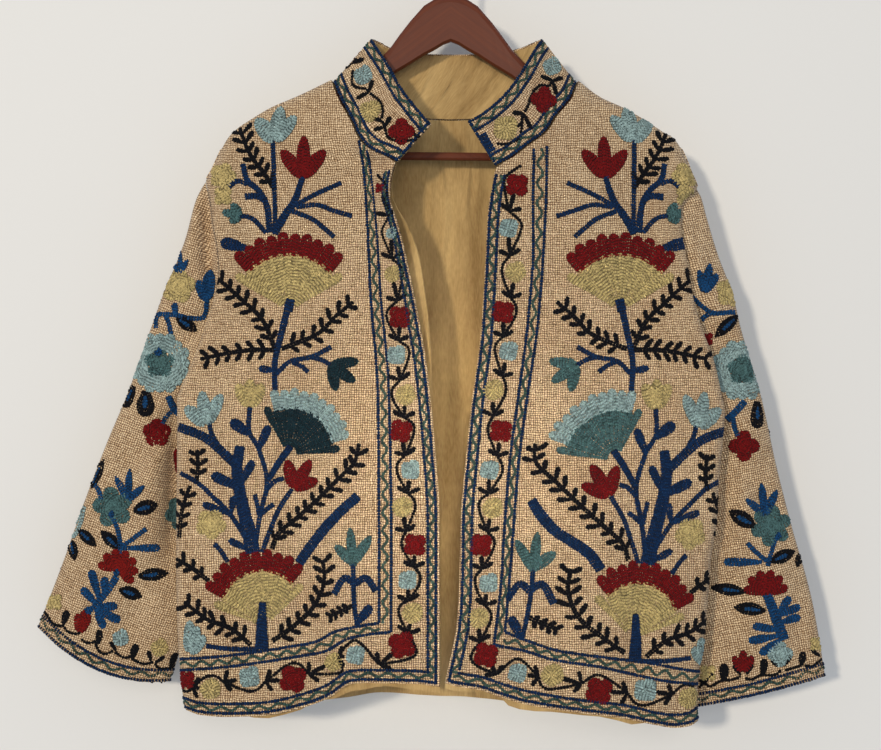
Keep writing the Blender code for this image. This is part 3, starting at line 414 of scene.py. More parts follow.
RIGHT = Side(
    front="front_right",
    lining="lining_front_right",
    sleeve="sleeve_right",
    inward=1,
    seam_down=182.0,
    hem_in=687.0,
    hem_out=710.0,
    opening=table(
        Point, (80, 333), (98, 340), (120, 352), (138, 360), (150, 372), (163, 397), (171, 393), (198, 391),
        (215, 396), (235, 402), (275, 411), (320, 420), (370, 428), (440, 435), (520, 440), (720, 440),
    ),
    outline=table(
        Point, (80, 331), (95, 300), (108, 270), (120, 250), (128, 238), (138, 228), (170, 212), (182, 206),
        (200, 210), (225, 213), (245, 217), (270, 219), (290, 216), (320, 207), (355, 195), (385, 182),
        (400, 177), (430, 177), (560, 176), (620, 177), (690, 182), (720, 188),
    ),
    hem=table(
        HemPoint, (186, 710), (200, 715), (225, 717), (260, 716), (290, 711), (320, 702), (337, 693),
        (346, 685), (360, 683), (415, 684), (440, 687),
    ),
    depths=table(
        DepthRow, (80, -11, 8, -10, -9.5, -9.5, -0.15, 22), (98, -16, 14, -13, -11, -9.5, -0.15, 22),
        (138, -35, 20, -24, -15, -10, -0.15, 20), (163, -46, 32, -25, -18, -13, -0.15, 11),
        (182, -49, 29, -24, -20, -14, -0.15, 10), (200, -50, 30, -24, -21, -16, -7, 14),
        (240, -51, 37, -26, -23, -18, -15, 14), (290, -52, 46, -28, -27, -21, -16, 12),
        (340, -52, 50, -31, -30, -28, -22, 9), (400, -52, 52, -36, -34, -32, -24, 9),
        (500, -52, 56, -44, -39, -34, -24, 9), (600, -52, 60, -49, -43, -35, -25, 9),
        (720, -51, 60, -49, -46, -36, -26, 9),
    ),
    folds=table(
        FoldRow, (339, 712, 331, 590, 9, -6), (354, 700, 346, 560, 12, 4), (244, 150, 262, 330, 20, -3.5),
        (306, 112, 320, 310, 26, 3), (204, 420, 213, 650, 15, 4), (262, 470, 274, 712, 22, 4.5),
        (232, 560, 238, 715, 12, -4), (300, 600, 303, 712, 13, -4),
    ),
    under=table(
        UnderRow, (182, 190, 0, -0.15, 0, 0.15), (200, 191, 0, -7, 1, 7), (240, 195, 0, -15, 3, 16),
        (290, 214, 0, -16, 6, 20), (300, 220, 0.4, -15.5, 4, 20.5), (320, 228, 0.85, -14, 3, 20.5),
        (340, 235, 1, -11, 2, 19), (360, 241, 1, -7.2, 1, 16), (380, 245, 1, -3, 0.5, 10),
        (400, 247.5, 1, 0.8, 0, 2), (410, 247.1, 1, 1.1, 0, 1.5), (450, 245.7, 1, 0.8, 0, 0.9),
        (600, 240.3, 1, 0, 0, 0), (720, 236, 1, 0, 0, 0),
    ),
    sleeve_outer=table(
        Point, (182, 206), (187, 202.5), (200, 196), (240, 185), (295, 163), (345, 145), (395, 127),
        (440, 108), (500, 85), (565, 62), (627, 38),
    ),
    sleeve_inner=table(
        Point, (400, 247.5), (450, 236), (500, 223), (560, 207), (620, 190), (681, 170),
    ),
    sleeve_rows=table(
        SleeveRow, (0, 2, 3, 15, 0), (0.1, 2, 9, 15, 2), (0.3, 4, 13, 14, 8), (0.6, 6, 15, 14, 13),
        (1, 8, 14, 16, 18),
    ),
    sleeve_folds=table(
        FoldRow, (226, 305, 150, 372, 10, -5), (222, 270, 170, 322, 12, 3.5), (214, 345, 132, 436, 13, 4),
        (196, 392, 116, 486, 11, -4.5), (170, 440, 96, 560, 14, 4), (178, 415, 172, 570, 10, -13),
        (154, 430, 140, 590, 15, 5), (158, 540, 122, 640, 14, -4), (208, 196, 210, 300, 9, -13),
        (193, 206, 186, 270, 11, 3.5), (88, 560, 70, 640, 12, 3),
    ),
    collar=table(
        CollarRow, (82, 371, 39, 2), (90, 374, 43, -4), (98, 379, 50, -11), (120, 391, 69, -25),
        (138, 399, 84, -35), (150, 406, 94, -40), (157, 417, 108, -48), (162, 431, 124, -54),
    ),
    spill=table(Point, (188, 0), (205, 3), (225, 9), (255, 12), (300, 10), (340, 7), (380, 3), (410, 0)),
    peek=table(
        HemPoint, (186, -6), (230, -4), (250, 2.5), (262, 5), (300, 2), (325, -3), (340, 9), (360, 9),
        (382, 3), (410, 6), (440, 7),
    ),
)

LEFT = Side(
    front="front_left",
    lining="lining_front_left",
    sleeve="sleeve_left",
    inward=-1,
    seam_down=190.0,
    hem_in=683.0,
    hem_out=720.0,
    opening=table(
        Point, (81, 577), (98, 570), (115, 556), (132, 545), (143, 530), (158, 510), (167, 495),
        (175, 492.5), (190, 490), (205, 487), (240, 485), (280, 483), (340, 479), (400, 471), (460, 465),
        (520, 460), (580, 459), (620, 457), (650, 452), (683, 445), (730, 440),
    ),
    outline=table(
        Point, (81, 579), (97, 600), (107, 622), (120, 645), (130, 660), (141, 676), (155, 684), (170, 690),
        (190, 697), (198, 686), (206, 681), (220, 681), (260, 687), (300, 694), (330, 703), (360, 714),
        (395, 722), (412, 725), (440, 723), (480, 719), (520, 717), (560, 711), (600, 708), (640, 704),
        (680, 698), (705, 697), (730, 700),
    ),
    hem=table(
        HemPoint, (445, 683), (455, 686), (480, 690), (500, 697), (520, 703), (545, 708), (580, 713),
        (620, 718), (655, 725), (675, 728), (690, 726), (699, 720),
    ),
    depths=table(
        DepthRow, (81, -11, 10, -10, -9.5, -9.5, -0.15, 22), (98, -16, 16, -14, -11, -9.5, -0.15, 22),
        (141, -37, 30, -30, -18, -11, -0.15, 16), (167, -46, 52, -40, -24, -14, -0.15, 11),
        (190, -47, 57, -42, -27, -16, -0.15, 10), (206, -48, 59, -42, -29, -19, -12, 12),
        (240, -49, 59, -43, -32, -23, -18, 10), (300, -50, 58, -45, -36, -27, -20, 9),
        (340, -51, 57, -46, -38, -30, -22, 9), (400, -52, 57, -48, -42, -33, -24, 9),
        (500, -53, 58, -50, -46, -35, -24, 9), (600, -54, 58, -52, -50, -36, -25, 9),
        (730, -54, 58, -54, -53, -37, -26, 9),
    ),
    folds=table(
        FoldRow, (654, 158, 640, 340, 20, -3.5), (596, 112, 586, 320, 26, 3), (694, 430, 674, 690, 16, 4.5),
        (642, 500, 634, 722, 14, -5), (592, 500, 577, 712, 20, 4), (527, 560, 514, 700, 12, -4),
        (662, 590, 655, 724, 12, 4), (702, 400, 676, 520, 12, -2.5),
    ),
    under=table(
        UnderRow, (190, 710, 0, -0.15, 0, 0.15), (206, 690, 0, -12, -6, 8), (230, 678, 0.5, -16, -7, 15),
        (260, 674, 1, -15, -5, 19), (300, 667, 1, -14, -3, 20.5), (320, 662, 1, -13, -2, 20.5),
        (340, 657.5, 1, -10.5, -1, 19), (360, 654, 1, -7.2, -0.5, 16), (380, 651.5, 1, -3, 0, 10),
        (400, 650, 1, 0.8, 0, 2), (410, 650.2, 1, 1.1, 0, 1.5), (450, 650.8, 1, 0.8, 0, 0.9),
        (600, 653.1, 1, 0, 0, 0), (730, 655, 1, 0, 0, 0),
    ),
    sleeve_outer=table(
        Point, (190, 697), (197, 701), (215, 706), (255, 718), (295, 733), (325, 740), (360, 750),
        (400, 762), (460, 775), (520, 790), (600, 812), (650, 821), (676, 825),
    ),
    sleeve_inner=table(
        Point, (400, 650.5), (450, 656), (500, 663), (560, 671), (630, 680), (708, 689),
    ),
    sleeve_rows=table(
        SleeveRow, (0, 2, 3, 15, 0), (0.1, 2, 9, 15, 2), (0.3, 4, 13, 14, 7), (0.6, 6, 15, 14, 5),
        (1, 8, 14, 16, 3),
    ),
    sleeve_folds=table(
        FoldRow, (690, 300, 744, 372, 10, -5), (690, 240, 722, 318, 10, 3.5), (712, 372, 762, 450, 12, 4),
        (716, 430, 776, 520, 11, -4.5), (722, 450, 728, 560, 12, -6), (742, 440, 752, 560, 14, 4),
        (718, 480, 790, 590, 14, 4), (712, 560, 760, 680, 14, -4), (742, 610, 752, 690, 12, 4),
        (790, 590, 806, 680, 11, -3),
    ),
    collar=table(
        CollarRow, (83, 542, 39, 2), (91, 538, 44, -4), (98, 534, 50, -11), (115, 520, 73, -25),
        (132, 505, 93, -35), (143, 496, 102, -39), (155, 482, 113, -45), (166, 468, 121, -50),
    ),
    spill=table(Point, (81, 0), (180, 0), (210, -1), (730, -1)),
    peek=table(
        HemPoint, (445, 6), (480, 3), (495, -2), (507, 6), (525, 7), (560, 3), (600, 3), (630, 5), (650, 0),
        (699, -6),
    ),
)

BACK_ROWS = table(
    BackRow, (80, 27, 9.5, 9.5, 22), (120, 27, 16, 9.5, 21), (141, 28, 18, 10, 16), (186, 29, 22, 12, 10),
    (225, 30, 24, 15, 14), (290, 31, 27, 20, 14), (340, 31, 27, 19, 12), (380, 31, 27, 12, 12),
    (410, 31, 26, 4, 12), (500, 31, 26, 3, 12), (730, 29, 26, 3, 12),
)
BACK_FOLDS = table(
    FoldRow, (330, 150, 345, 690, 30, 3), (392, 260, 396, 700, 20, -2.5), (452, 200, 450, 700, 26, 3),
    (520, 240, 515, 700, 20, -2.5), (580, 160, 570, 690, 30, 3),
)
BACK_NECK = table(
    HemPoint, (332, 81), (345, 90), (360, 100), (380, 110), (402, 117), (451, 121), (500, 117), (524, 110),
    (546, 100), (563, 90), (578, 82),
)
BACK_HEM = table(
    HemPoint, (236, 710), (290, 704), (340, 690), (400, 684), (451, 686), (520, 692), (580, 704),
    (655, 720),
)
BACK_COLLAR = table(
    CollarRow, (332, 371, 39, 2), (345, 379, 42, 10), (360, 390, 48, 17), (402, 417, 54, 26),
    (451, 456, 55, 29), (500, 494, 54, 26), (546, 522, 48, 17), (563, 533, 43, 10), (578, 542, 39, 2),
)
LINING_HEM = table(
    HemPoint, (246, 700), (290, 702), (345, 697), (380, 692), (430, 695), (460, 696), (500, 700),
    (560, 712), (600, 714), (646, 712),
)
LINING_FOLDS = table(
    FoldRow, (402, 250, 418, 690, 9, -5), (424, 168, 428, 560, 8, -4), (446, 200, 441, 690, 10, -7),
    (466, 176, 462, 640, 8, -5), (484, 260, 478, 690, 9, -4), (350, 220, 352, 690, 16, -5),
    (545, 240, 548, 690, 16, -5),
)

FACE_STEPS = (0, 0.06, 0.13, 0.21, 0.3, 0.42, 0.55, 0.68, 0.8, 0.89, 0.95, 0.985, 1)
ARMPIT_PART = 0.41
ARMHOLE_STEPS = (
    0, 0.012, 0.035, 0.08, 0.15, 0.24, 0.33, 0.42, 0.52, 0.62, 0.72, 0.81, 0.89, 0.95, 0.985, 1,
)
BODY_STEPS = (0.07, 0.16, 0.27, 0.39, 0.51, 0.63, 0.75, 0.87, 0.94, 1)
ROWS = tuple(ARMPIT_PART * step for step in ARMHOLE_STEPS) + tuple(
    ARMPIT_PART + (1 - ARMPIT_PART) * step for step in BODY_STEPS
)
UNDER_STEPS = (0.04, 0.18, 0.5, 1)
SHOULDER_PART = 0.26
SHOULDER_STEPS = (0, 0.03, 0.08, 0.14, 0.2, 0.26)
NECK_STEPS = (0.29, 0.33, 0.39, 0.45)
SLEEVE_STEPS = (0, 0.02, 0.055, 0.11, 0.18, 0.26, 0.35, 0.44, 0.53, 0.62, 0.71, 0.8, 0.9, 1)
LINING_TOP_ROW = 3
LINING_COLUMNS = 10
LINING_SIDE_COLUMNS = 2


# Sockets of Blender's Mix node when it mixes colours, and its settings then
MIX_PART = 0
MIX_FIRST = 6
MIX_SECOND = 7
COLOUR_MIX = {"output": 2, "data_type": "RGBA"}


def linear(colour: str) -> tuple[float, float, float, float]:
    """Linear colour of an sRGB hex value."""
    parts = [int(colour[i : i + 2], 16) / 255 for i in (1, 3, 5)]
    red, green, blue = (p / 12.92 if p <= 0.04045 else ((p + 0.055) / 1.055) ** 2.4 for p in parts)
    return red, green, blue, 1.0


def linked(name: str, data: bpy.types.ID) -> bpy.types.Object:
    """A new object in the scene."""
    made = bpy.data.objects.new(name, data)
    bpy.context.scene.collection.objects.link(made)
    return made


@dataclass
class Recipe:
    """A node tree under construction; its family is how Blender's names of its nodes start."""

    tree: bpy.types.NodeTree
    family: str = "ShaderNode"

    def add(
        self, kind: str, given: dict | None = None, output: int | str = 0, **settings: object
    ) -> bpy.types.NodeSocket | None:
        """Adds one node with its settings and links.

        Args:
            kind: Blender's name of the node type, without the family.
            given: Value, hex colour or socket for each input, by name or number.
            output: Output wanted, by name or number.
            **settings: Values of the node's own properties.

        Returns:
            The output socket, or None where the node has none.
        """
        node = self.tree.nodes.new(self.family + kind)
        for name, value in settings.items():
            setattr(node, name, value)
        for name, value in (given or {}).items():
            if isinstance(value, bpy.types.NodeSocket):
                self.tree.links.new(value, node.inputs[name])
            elif isinstance(value, str) and value.startswith("#"):
                node.inputs[name].default_value = linear(value)
            else:
                node.inputs[name].default_value = value
        return node.outputs[output] if len(node.outputs) else None


@dataclass
class Finish:
    """A material, made once."""

    name: str
    made: bpy.types.Material | None = None

    def material(self) -> bpy.types.Material:
        """The material, made on the first call."""
        if self.made is None:
            self.made = bpy.data.materials.new(self.name)
            self.made.use_nodes = True
            self.made.node_tree.nodes.clear()
            recipe = Recipe(self.made.node_tree)
            recipe.add("OutputMaterial", {"Surface": self.mix(recipe)})
        return self.made

    def mix(self, recipe: Recipe) -> bpy.types.NodeSocket:
        """Builds the nodes, up to the shader."""
        raise NotImplementedError


@dataclass
class HandloomCotton(Finish):
    """Coarse handwoven cotton, undyed beige: round slubby yarns, painted lighter on their tops and darker down their
    sides, with painted shade in the dark gaps at their crossings.
    """

    name: str = "handwoven beige cotton"
    # The yarn's colour where it is painted lit, the painted shade down its sides, and the painted shade in the gaps.
    yarn: str = "#F6DAAF"
    shade: str = "#A48059"
    gap: str = "#3B2717"
    pitch_mm: float = 2.35
    depth_mm: float = 1.0

    def mix(self, recipe: Recipe) -> bpy.types.NodeSocket:
        """Draws a plain weave in the cloth's own UV, in metres, with its light and shade painted in: dark gaps, shaded
        yarn sides and lit yarn tops.
        """
        add = recipe.add
        uv = add("UVMap", uv_map="weave")
        count = 1000 / self.pitch_mm
        drawn = add("VectorMath", {0: uv, 1: (count, count, 1)}, operation="MULTIPLY")
        wander = add("TexNoise", {"Vector": drawn, "Scale": 0.45, "Detail": 3.0}, "Color")
        centred = add("VectorMath", {0: wander, 1: (0.5, 0.5, 0.5)}, operation="SUBTRACT")
        moved = add("VectorMath", {0: centred, 1: (1.5, 1.5, 0)}, operation="MULTIPLY")
        at = add("VectorMath", {0: drawn, 1: moved}, operation="ADD")
        turns = add("VectorMath", {0: at, 1: (pi, pi, 0)}, operation="MULTIPLY")
        waves = add("VectorMath", {0: turns}, operation="SINE")
        sizes = add("VectorMath", {0: waves}, operation="ABSOLUTE")
        wave_x, wave_y = (add("SeparateXYZ", {0: waves}, axis) for axis in "XY")
        over = add("Math", {0: wave_x, 1: wave_y}, operation="MULTIPLY")
        heights = []
        for axis, side, run in (("X", 0.5, (1.0, 0.2, 0)), ("Y", -0.5, (0.2, 1.0, 5.0))):
            size = add("SeparateXYZ", {0: sizes}, axis)
            rounded = add("Math", {0: size, 1: 0.5}, operation="POWER")
            rise = add("Math", {0: over, 1: side, 2: 0.5}, operation="MULTIPLY_ADD")
            yarn = add("Math", {0: rounded, 1: rise}, operation="MULTIPLY")
            # Slubs: thick and thin stretches along each yarn, a few cells long.
            along = add("VectorMath", {0: at, 1: run}, operation="MULTIPLY")
            slub = add("TexNoise", {"Vector": along, "Scale": 0.85, "Detail": 2.0}, "Fac")
            thick = {"Value": slub, "From Min": 0.3, "From Max": 0.7, "To Min": 0.68, "To Max": 1.18}
            full = add("MapRange", thick)
            heights.append(add("Math", {0: yarn, 1: full}, operation="MULTIPLY"))
        lifted = add("Math", {0: heights[0], 1: heights[1]}, operation="MAXIMUM")
        # Painted shade: where the yarns dip, the dark gap colour shows. Painted light: each yarn runs from the shade
        # colour on its sides to the yarn colour on its top.
        shown = add("MapRange", {"Value": lifted, "From Min": 0.2, "From Max": 0.56})
        painted_crown_light = add("MapRange", {"Value": lifted, "From Min": 0.45, "From Max": 1.0})
        patches = add("TexNoise", {"Vector": uv, "Scale": 16.0, "Detail": 3.0}, "Fac")
        tone = add("Math", {0: patches, 1: 0.5, 2: -0.6}, operation="MULTIPLY_ADD")
        pebble = add("TexNoise", {"Vector": drawn, "Scale": 1.1, "Detail": 1.0}, "Fac")
        toned = add("Math", {0: pebble, 1: 0.7, 2: tone}, operation="MULTIPLY_ADD")
        bright = add("Math", {0: painted_crown_light, 1: 1.0, 2: toned}, operation="MULTIPLY_ADD")
        yarn = add("Mix", {MIX_PART: bright, MIX_FIRST: self.shade, MIX_SECOND: self.yarn}, **COLOUR_MIX)
        mixed = add("Mix", {MIX_PART: shown, MIX_FIRST: self.gap, MIX_SECOND: yarn}, **COLOUR_MIX)
        fuzz = add("TexNoise", {"Vector": drawn, "Scale": 5.0, "Detail": 2.0}, "Fac")
        bumpy = add("Math", {0: fuzz, 1: 0.12, 2: lifted}, operation="MULTIPLY_ADD")
        depth = self.depth_mm / 1000
        bump = add("Bump", {"Strength": 1.0, "Distance": depth, "Height": bumpy}, "Normal")
        look = {
            "Base Color": mixed, "Normal": bump, "Roughness": 0.92, "Sheen Weight": 0.12,
            "Sheen Roughness": 0.6, "Specular IOR Level": 0.2,
        }
        return add("BsdfPrincipled", look, "BSDF")


@dataclass
class LiningCotton(Finish):
    """Thin plain-woven cotton dyed mustard tan, washed and creased: smooth, with soft crumples."""

    name: str = "creased mustard cotton"
    body: str = "#C3A36C"
    dark: str = "#917345"

    def mix(self, recipe: Recipe) -> bpy.types.NodeSocket:
        """Draws faint yarn streaks and washed-in crumples."""
        add = recipe.add
        uv = add("UVMap", uv_map="weave")
        level = add("VectorMath", {0: uv, 1: (1.6, 0.3, 1)}, operation="MULTIPLY")
        streak = add("TexNoise", {"Vector": level, "Scale": 420.0, "Detail": 3.0}, "Fac")
        hung = add("VectorMath", {0: uv, 1: (1.5, 0.35, 1)}, operation="MULTIPLY")
        cloud = add("TexNoise", {"Vector": hung, "Scale": 26.0, "Detail": 4.0}, "Fac")
        both = add("Math", {0: streak, 1: 0.45, 2: cloud}, operation="MULTIPLY_ADD")
        tone = add("MapRange", {"Value": both, "From Min": 0.5, "From Max": 0.95})
        mixed = add("Mix", {MIX_PART: tone, MIX_FIRST: self.dark, MIX_SECOND: self.body}, **COLOUR_MIX)
        creased = {"Vector": hung, "Scale": 30.0, "Detail": 3.0, "Distortion": 1.4}
        crumple = add("TexNoise", creased, "Fac", noise_type="RIDGED_MULTIFRACTAL")
        fine = add("Bump", {"Strength": 0.35, "Distance": 0.0003, "Height": streak}, "Normal")
        soft = {"Strength": 0.9, "Distance": 0.005, "Height": crumple, "Normal": fine}
        bump = add("Bump", soft, "Normal")
        look = {
            "Base Color": mixed, "Normal": bump, "Roughness": 0.85, "Sheen Weight": 0.1,
            "Specular IOR Level": 0.25,
        }
        return add("BsdfPrincipled", look, "BSDF")


@dataclass
class ChainWool(Finish):
    """Two-ply embroidery wool: matt and fibrous, its dye a little uneven from loop to loop."""

    name: str = "dyed embroidery wool"

    def mix(self, recipe: Recipe) -> bpy.types.NodeSocket:
        """Takes each loop's colour from the mesh, adds fibres, and paints shade at each loop's foot and light on its
        top.
        """
        add = recipe.add
        dye = add("Attribute", {}, "Color", attribute_name="thread", attribute_type="GEOMETRY")
        place_at = add("TexCoord", {}, "Object")
        fibre = add("TexNoise", {"Vector": place_at, "Scale": 1600.0, "Detail": 2.0}, "Fac")
        fibrous = {"Value": fibre, "From Min": 0.3, "From Max": 0.7, "To Min": 0.7, "To Max": 1.25}
        tone = add("MapRange", fibrous)
        # Painted shade and highlight: by its height, each loop is darkened at its foot against the cloth and lightened
        # on its top.
        rise = add("Attribute", {}, "Fac", attribute_name="rise", attribute_type="GEOMETRY")
        lit = add("MapRange", {"Value": rise, "To Min": 0.3, "To Max": 1.2})
        both = add("Math", {0: tone, 1: lit}, operation="MULTIPLY")
        mixed = add("VectorMath", {0: dye, "Scale": both}, operation="SCALE")
        bump = add("Bump", {"Strength": 0.6, "Distance": 0.0003, "Height": fibre}, "Normal")
        look = {
            "Base Color": mixed, "Normal": bump, "Roughness": 0.88, "Sheen Weight": 0.03,
            "Specular IOR Level": 0.12,
        }
        return add("BsdfPrincipled", look, "BSDF")


@dataclass
class StainedWood(Finish):
    """Beech stained reddish brown under satin lacquer: fine straight grain and small dark pores."""

    name: str = "red-brown stained beech"
    dark: str = "#512412"
    light: str = "#67331C"
    slope: float = 0.74

    def mix(self, recipe: Recipe) -> bpy.types.NodeSocket:
        """Runs the grain along each arm, by the distance from the hanger's middle."""
        add = recipe.add
        at = add("TexCoord", {}, "Object")
        x, y, z = (add("SeparateXYZ", {0: at}, axis) for axis in "XYZ")
        out = add("Math", {0: x}, operation="ABSOLUTE")
        along = add("Math", {0: z, 1: -self.slope, 2: out}, operation="MULTIPLY_ADD")
        cross = add("Math", {0: out, 1: self.slope, 2: z}, operation="MULTIPLY_ADD")
        board = add("CombineXYZ", {"X": along, "Y": y, "Z": cross})
        drawn = add("VectorMath", {0: board, 1: (7, 190, 190)}, operation="MULTIPLY")
        grain = add("TexNoise", {"Vector": drawn, "Scale": 1.0, "Detail": 5.0, "Distortion": 0.6}, "Fac")
        thin = add("VectorMath", {0: board, 1: (60, 900, 900)}, operation="MULTIPLY")
        pores = add("TexNoise", {"Vector": thin, "Scale": 1.0, "Detail": 2.0}, "Fac")
        both = add("Math", {0: pores, 1: 0.4, 2: grain}, operation="MULTIPLY_ADD")
        tone = add("MapRange", {"Value": both, "From Min": 0.35, "From Max": 1.05})
        mixed = add("Mix", {MIX_PART: tone, MIX_FIRST: self.dark, MIX_SECOND: self.light}, **COLOUR_MIX)
        bump = add("Bump", {"Strength": 0.25, "Distance": 0.0003, "Height": pores}, "Normal")
        shine = add("MapRange", {"Value": grain, "To Min": 0.48, "To Max": 0.6})
        look = {
            "Base Color": mixed, "Normal": bump, "Roughness": shine, "Coat Weight": 0.04,
            "Coat Roughness": 0.3, "Specular IOR Level": 0.2,
        }
        return add("BsdfPrincipled", look, "BSDF")


@dataclass
class BrightSteel(Finish):
    """Nickel-plated steel wire, drawn and handled: bright, with faint scuffs round it."""

    name: str = "nickel-plated steel wire"
    plate: str = "#CFCCC6"
    worn: str = "#B4B0A8"

    def mix(self, recipe: Recipe) -> bpy.types.NodeSocket:
        """Varies the gloss with faint scuffs."""
        add = recipe.add
        at = add("TexCoord", {}, "Object")
        scuff = add("TexNoise", {"Vector": at, "Scale": 260.0, "Detail": 4.0}, "Fac")
        shine = add("MapRange", {"Value": scuff, "To Min": 0.18, "To Max": 0.42})
        mixed = add("Mix", {MIX_PART: scuff, MIX_FIRST: self.worn, MIX_SECOND: self.plate}, **COLOUR_MIX)
        return add("BsdfPrincipled", {"Base Color": mixed, "Roughness": shine, "Metallic": 1.0}, "BSDF")


@dataclass
class PaintedWall(Finish):
    """Matt off-white wall paint, shown to the camera's side alone, so that it hides no other view."""

    name: str = "matt wall paint"
    paint: str = "#DEDCD7"
    shade: str = "#DAD8D3"

    def mix(self, recipe: Recipe) -> bpy.types.NodeSocket:
        """Lets light through from all sides, so that the jacket's back is lit."""
        add = recipe.add
        faint = add("TexNoise", {"Scale": 3.0, "Detail": 3.0}, "Fac")
        mixed = add("Mix", {MIX_PART: faint, MIX_FIRST: self.shade, MIX_SECOND: self.paint}, **COLOUR_MIX)
        wall = add("BsdfDiffuse", {"Color": mixed}, "BSDF")
        clear = add("BsdfTransparent", {}, "BSDF")
        behind = add("NewGeometry", {}, "Backfacing")
        front = add("Math", {0: 1.0, 1: behind}, operation="SUBTRACT")
        seen = add("LightPath", {}, "Is Camera Ray")
        solid = add("Math", {0: front, 1: seen}, operation="MULTIPLY")
        return add("MixShader", {0: solid, 1: clear, 2: wall})


CLOTH_FINISH = HandloomCotton()
LINING_FINISH = LiningCotton()
WOOL = ChainWool()
WOOD = StainedWood()
STEEL = BrightSteel()
WALL = PaintedWall()


class Lamp(NamedTuple):
    """Soft square lamp aimed at the jacket: lengths in metres, its beam's angle in degrees."""

    name: str
    place: tuple[float, float, float]
    power: float
    size: float
    colour: str
    spread: float = 180.0
    aim_height: float = -0.46


@dataclass
class Studio:
    """Wall, floor, lights and the camera, as the jacket hangs in the photograph."""

    wall_behind: float = 0.075
    floor_height: float = -1.25
    half_width: float = 4.0
    lamps: tuple[Lamp, ...] = (
        Lamp("key", (-2.6, -5.65, 0.65), 205.0, 0.45, "#FFF3E0"),
        Lamp("fill", (0.15, -3.2, 0.0), 24.0, 1.2, "#FFFAF2"),
        Lamp("opening", (0.02, -2.6, -0.5), 0.17, 0.2, "#FFF6E8", 12.0, -0.56),
        Lamp("rear", (0.9, 2.2, 0.9), 34.0, 1.8, "#FFFFFF"),
    )
    sky: str = "#D6E2F4"
    sky_strength: float = 0.6

    def sheet(self, name: str, corners: Sequence[tuple[float, float, float]]) -> None:
        """Adds a plain flat sheet of the backdrop."""
        mesh = bpy.data.meshes.new(name)
        mesh.from_pydata(corners, [], [tuple(range(len(corners)))])
        mesh.materials.append(WALL.material())
        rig.stage(linked(name, mesh))

    def light(self, lamp: Lamp) -> None:
        """Adds one lamp."""
        light = bpy.data.lights.new(lamp.name, "AREA")
        light.energy = lamp.power
        light.size = lamp.size
        light.color = linear(lamp.colour)[:3]
        light.spread = radians(lamp.spread)
        holder = linked(lamp.name, light)
        holder.location = lamp.place
        aim = Vector((0, 0, lamp.aim_height)) - Vector(lamp.place)
        holder.rotation_euler = aim.to_track_quat("-Z", "Y").to_euler()

    def build(self) -> None:
        """Sets up the backdrop, the lights, the sky and the camera."""
        far, back, low = self.half_width, self.wall_behind, self.floor_height
        self.sheet("wall", [(-far, back, low), (far, back, low), (far, back, far), (-far, back, far)])
        self.sheet("floor", [(-far, -far, low), (far, -far, low), (far, far, low), (-far, far, low)])
        for lamp in self.lamps:
            self.light(lamp)
        world = bpy.data.worlds.new("soft daylight")
        world.use_nodes = True
        background = world.node_tree.nodes["Background"]
        background.inputs["Color"].default_value = linear(self.sky)
        background.inputs["Strength"].default_value = self.sky_strength
        bpy.context.scene.world = world
        bpy.context.scene.view_settings.view_transform = "Standard"
        self.camera()

    def camera(self) -> None:
        """The camera at the photograph's place and angle."""
        eye = bpy.data.cameras.new("camera")
        eye.sensor_fit = "HORIZONTAL"
        eye.sensor_width = SENSOR_WIDTH
        eye.lens = SENSOR_WIDTH * VIEW_DISTANCE / FRAME_WIDTH
        eye.clip_start = 0.05
        holder = linked("camera", eye)
        holder.location = (
            (VIEW_ACROSS - HANGER_ACROSS) / 1000,
            (FRONT_DEPTH - VIEW_DISTANCE) / 1000,
            -(SEAT_ABOVE_FRAME + VIEW_DOWN) / 1000,
        )
        holder.rotation_euler = (pi / 2, 0, 0)
        bpy.context.scene.camera = holder


def calm_slope(before: Array, after: Array) -> Array:
    """Slope at a knot, from those on its two sides, with which a curve through it never overshoots."""
    steady = before * after > 0
    return np.where(steady, 2 * before * after / np.where(steady, before + after, 1.0), 0.0)


def bent(t: Array, width: Array, ends: tuple[Array, Array], slopes: tuple[Array, Array]) -> Array:
    """Smooth value at a part of the way between two knots.

    Args:
        t: Part of the way.
        width: Distance of the knots.
        ends: Values at the knots.
        slopes: Slopes at the knots.

    Returns:
        The value.
    """
    line = ends[0] * (1 + 2 * t) * (1 - t) ** 2 + ends[1] * t * t * (3 - 2 * t)
    return line + width * t * (1 - t) * (slopes[0] * (1 - t) - slopes[1] * t)


def blend(rows: Sequence, column: str, at: Array) -> Array:
    """Smooth value of one column between the rows of a table keyed by its first column.

    Args:
        rows: Table, in rising order of its first column.
        column: Name of the column wanted.
        at: Places along the first column.

    Returns:
        The column's value at each place.
    """
    key = np.array([row[0] for row in rows], float)
    value = np.array([getattr(row, column) for row in rows], float)
    at = np.clip(at, key[0], key[-1])
    step = np.diff(key)
    slope = np.diff(value) / step
    tangent = np.concatenate([slope[:1], calm_slope(slope[:-1], slope[1:]), slope[-1:]])
    i = np.clip(np.searchsorted(key, at, side="right") - 1, 0, len(step) - 1)
    part = (at - key[i]) / step[i]
    return bent(part, step[i], (value[i], value[i + 1]), (tangent[i], tangent[i + 1]))


def through(knots: Sequence[Array], values: Sequence[Array], at: Array) -> Array:
    """Smooth value at each point along four knots, whose places and values may vary by point.

    Args:
        knots: Four arrays of places.
        values: Four arrays of values.
        at: Places wanted.

    Returns:
        The value at each place.
    """
    widths = [knots[i + 1] - knots[i] for i in range(3)]
    slopes = [(values[i + 1] - values[i]) / widths[i] for i in range(3)]
    calm = [calm_slope(first, second) for first, second in zip(slopes, slopes[1:])]
    tangents = [slopes[0] * EDGE_SLOPE, *calm, slopes[2]]
    parts = [
        bent((at - knots[i]) / widths[i], widths[i], values[i : i + 2], tangents[i : i + 2])
        for i in range(3)
    ]
    return np.where(at < knots[1], parts[0], np.where(at < knots[2], parts[1], parts[2]))


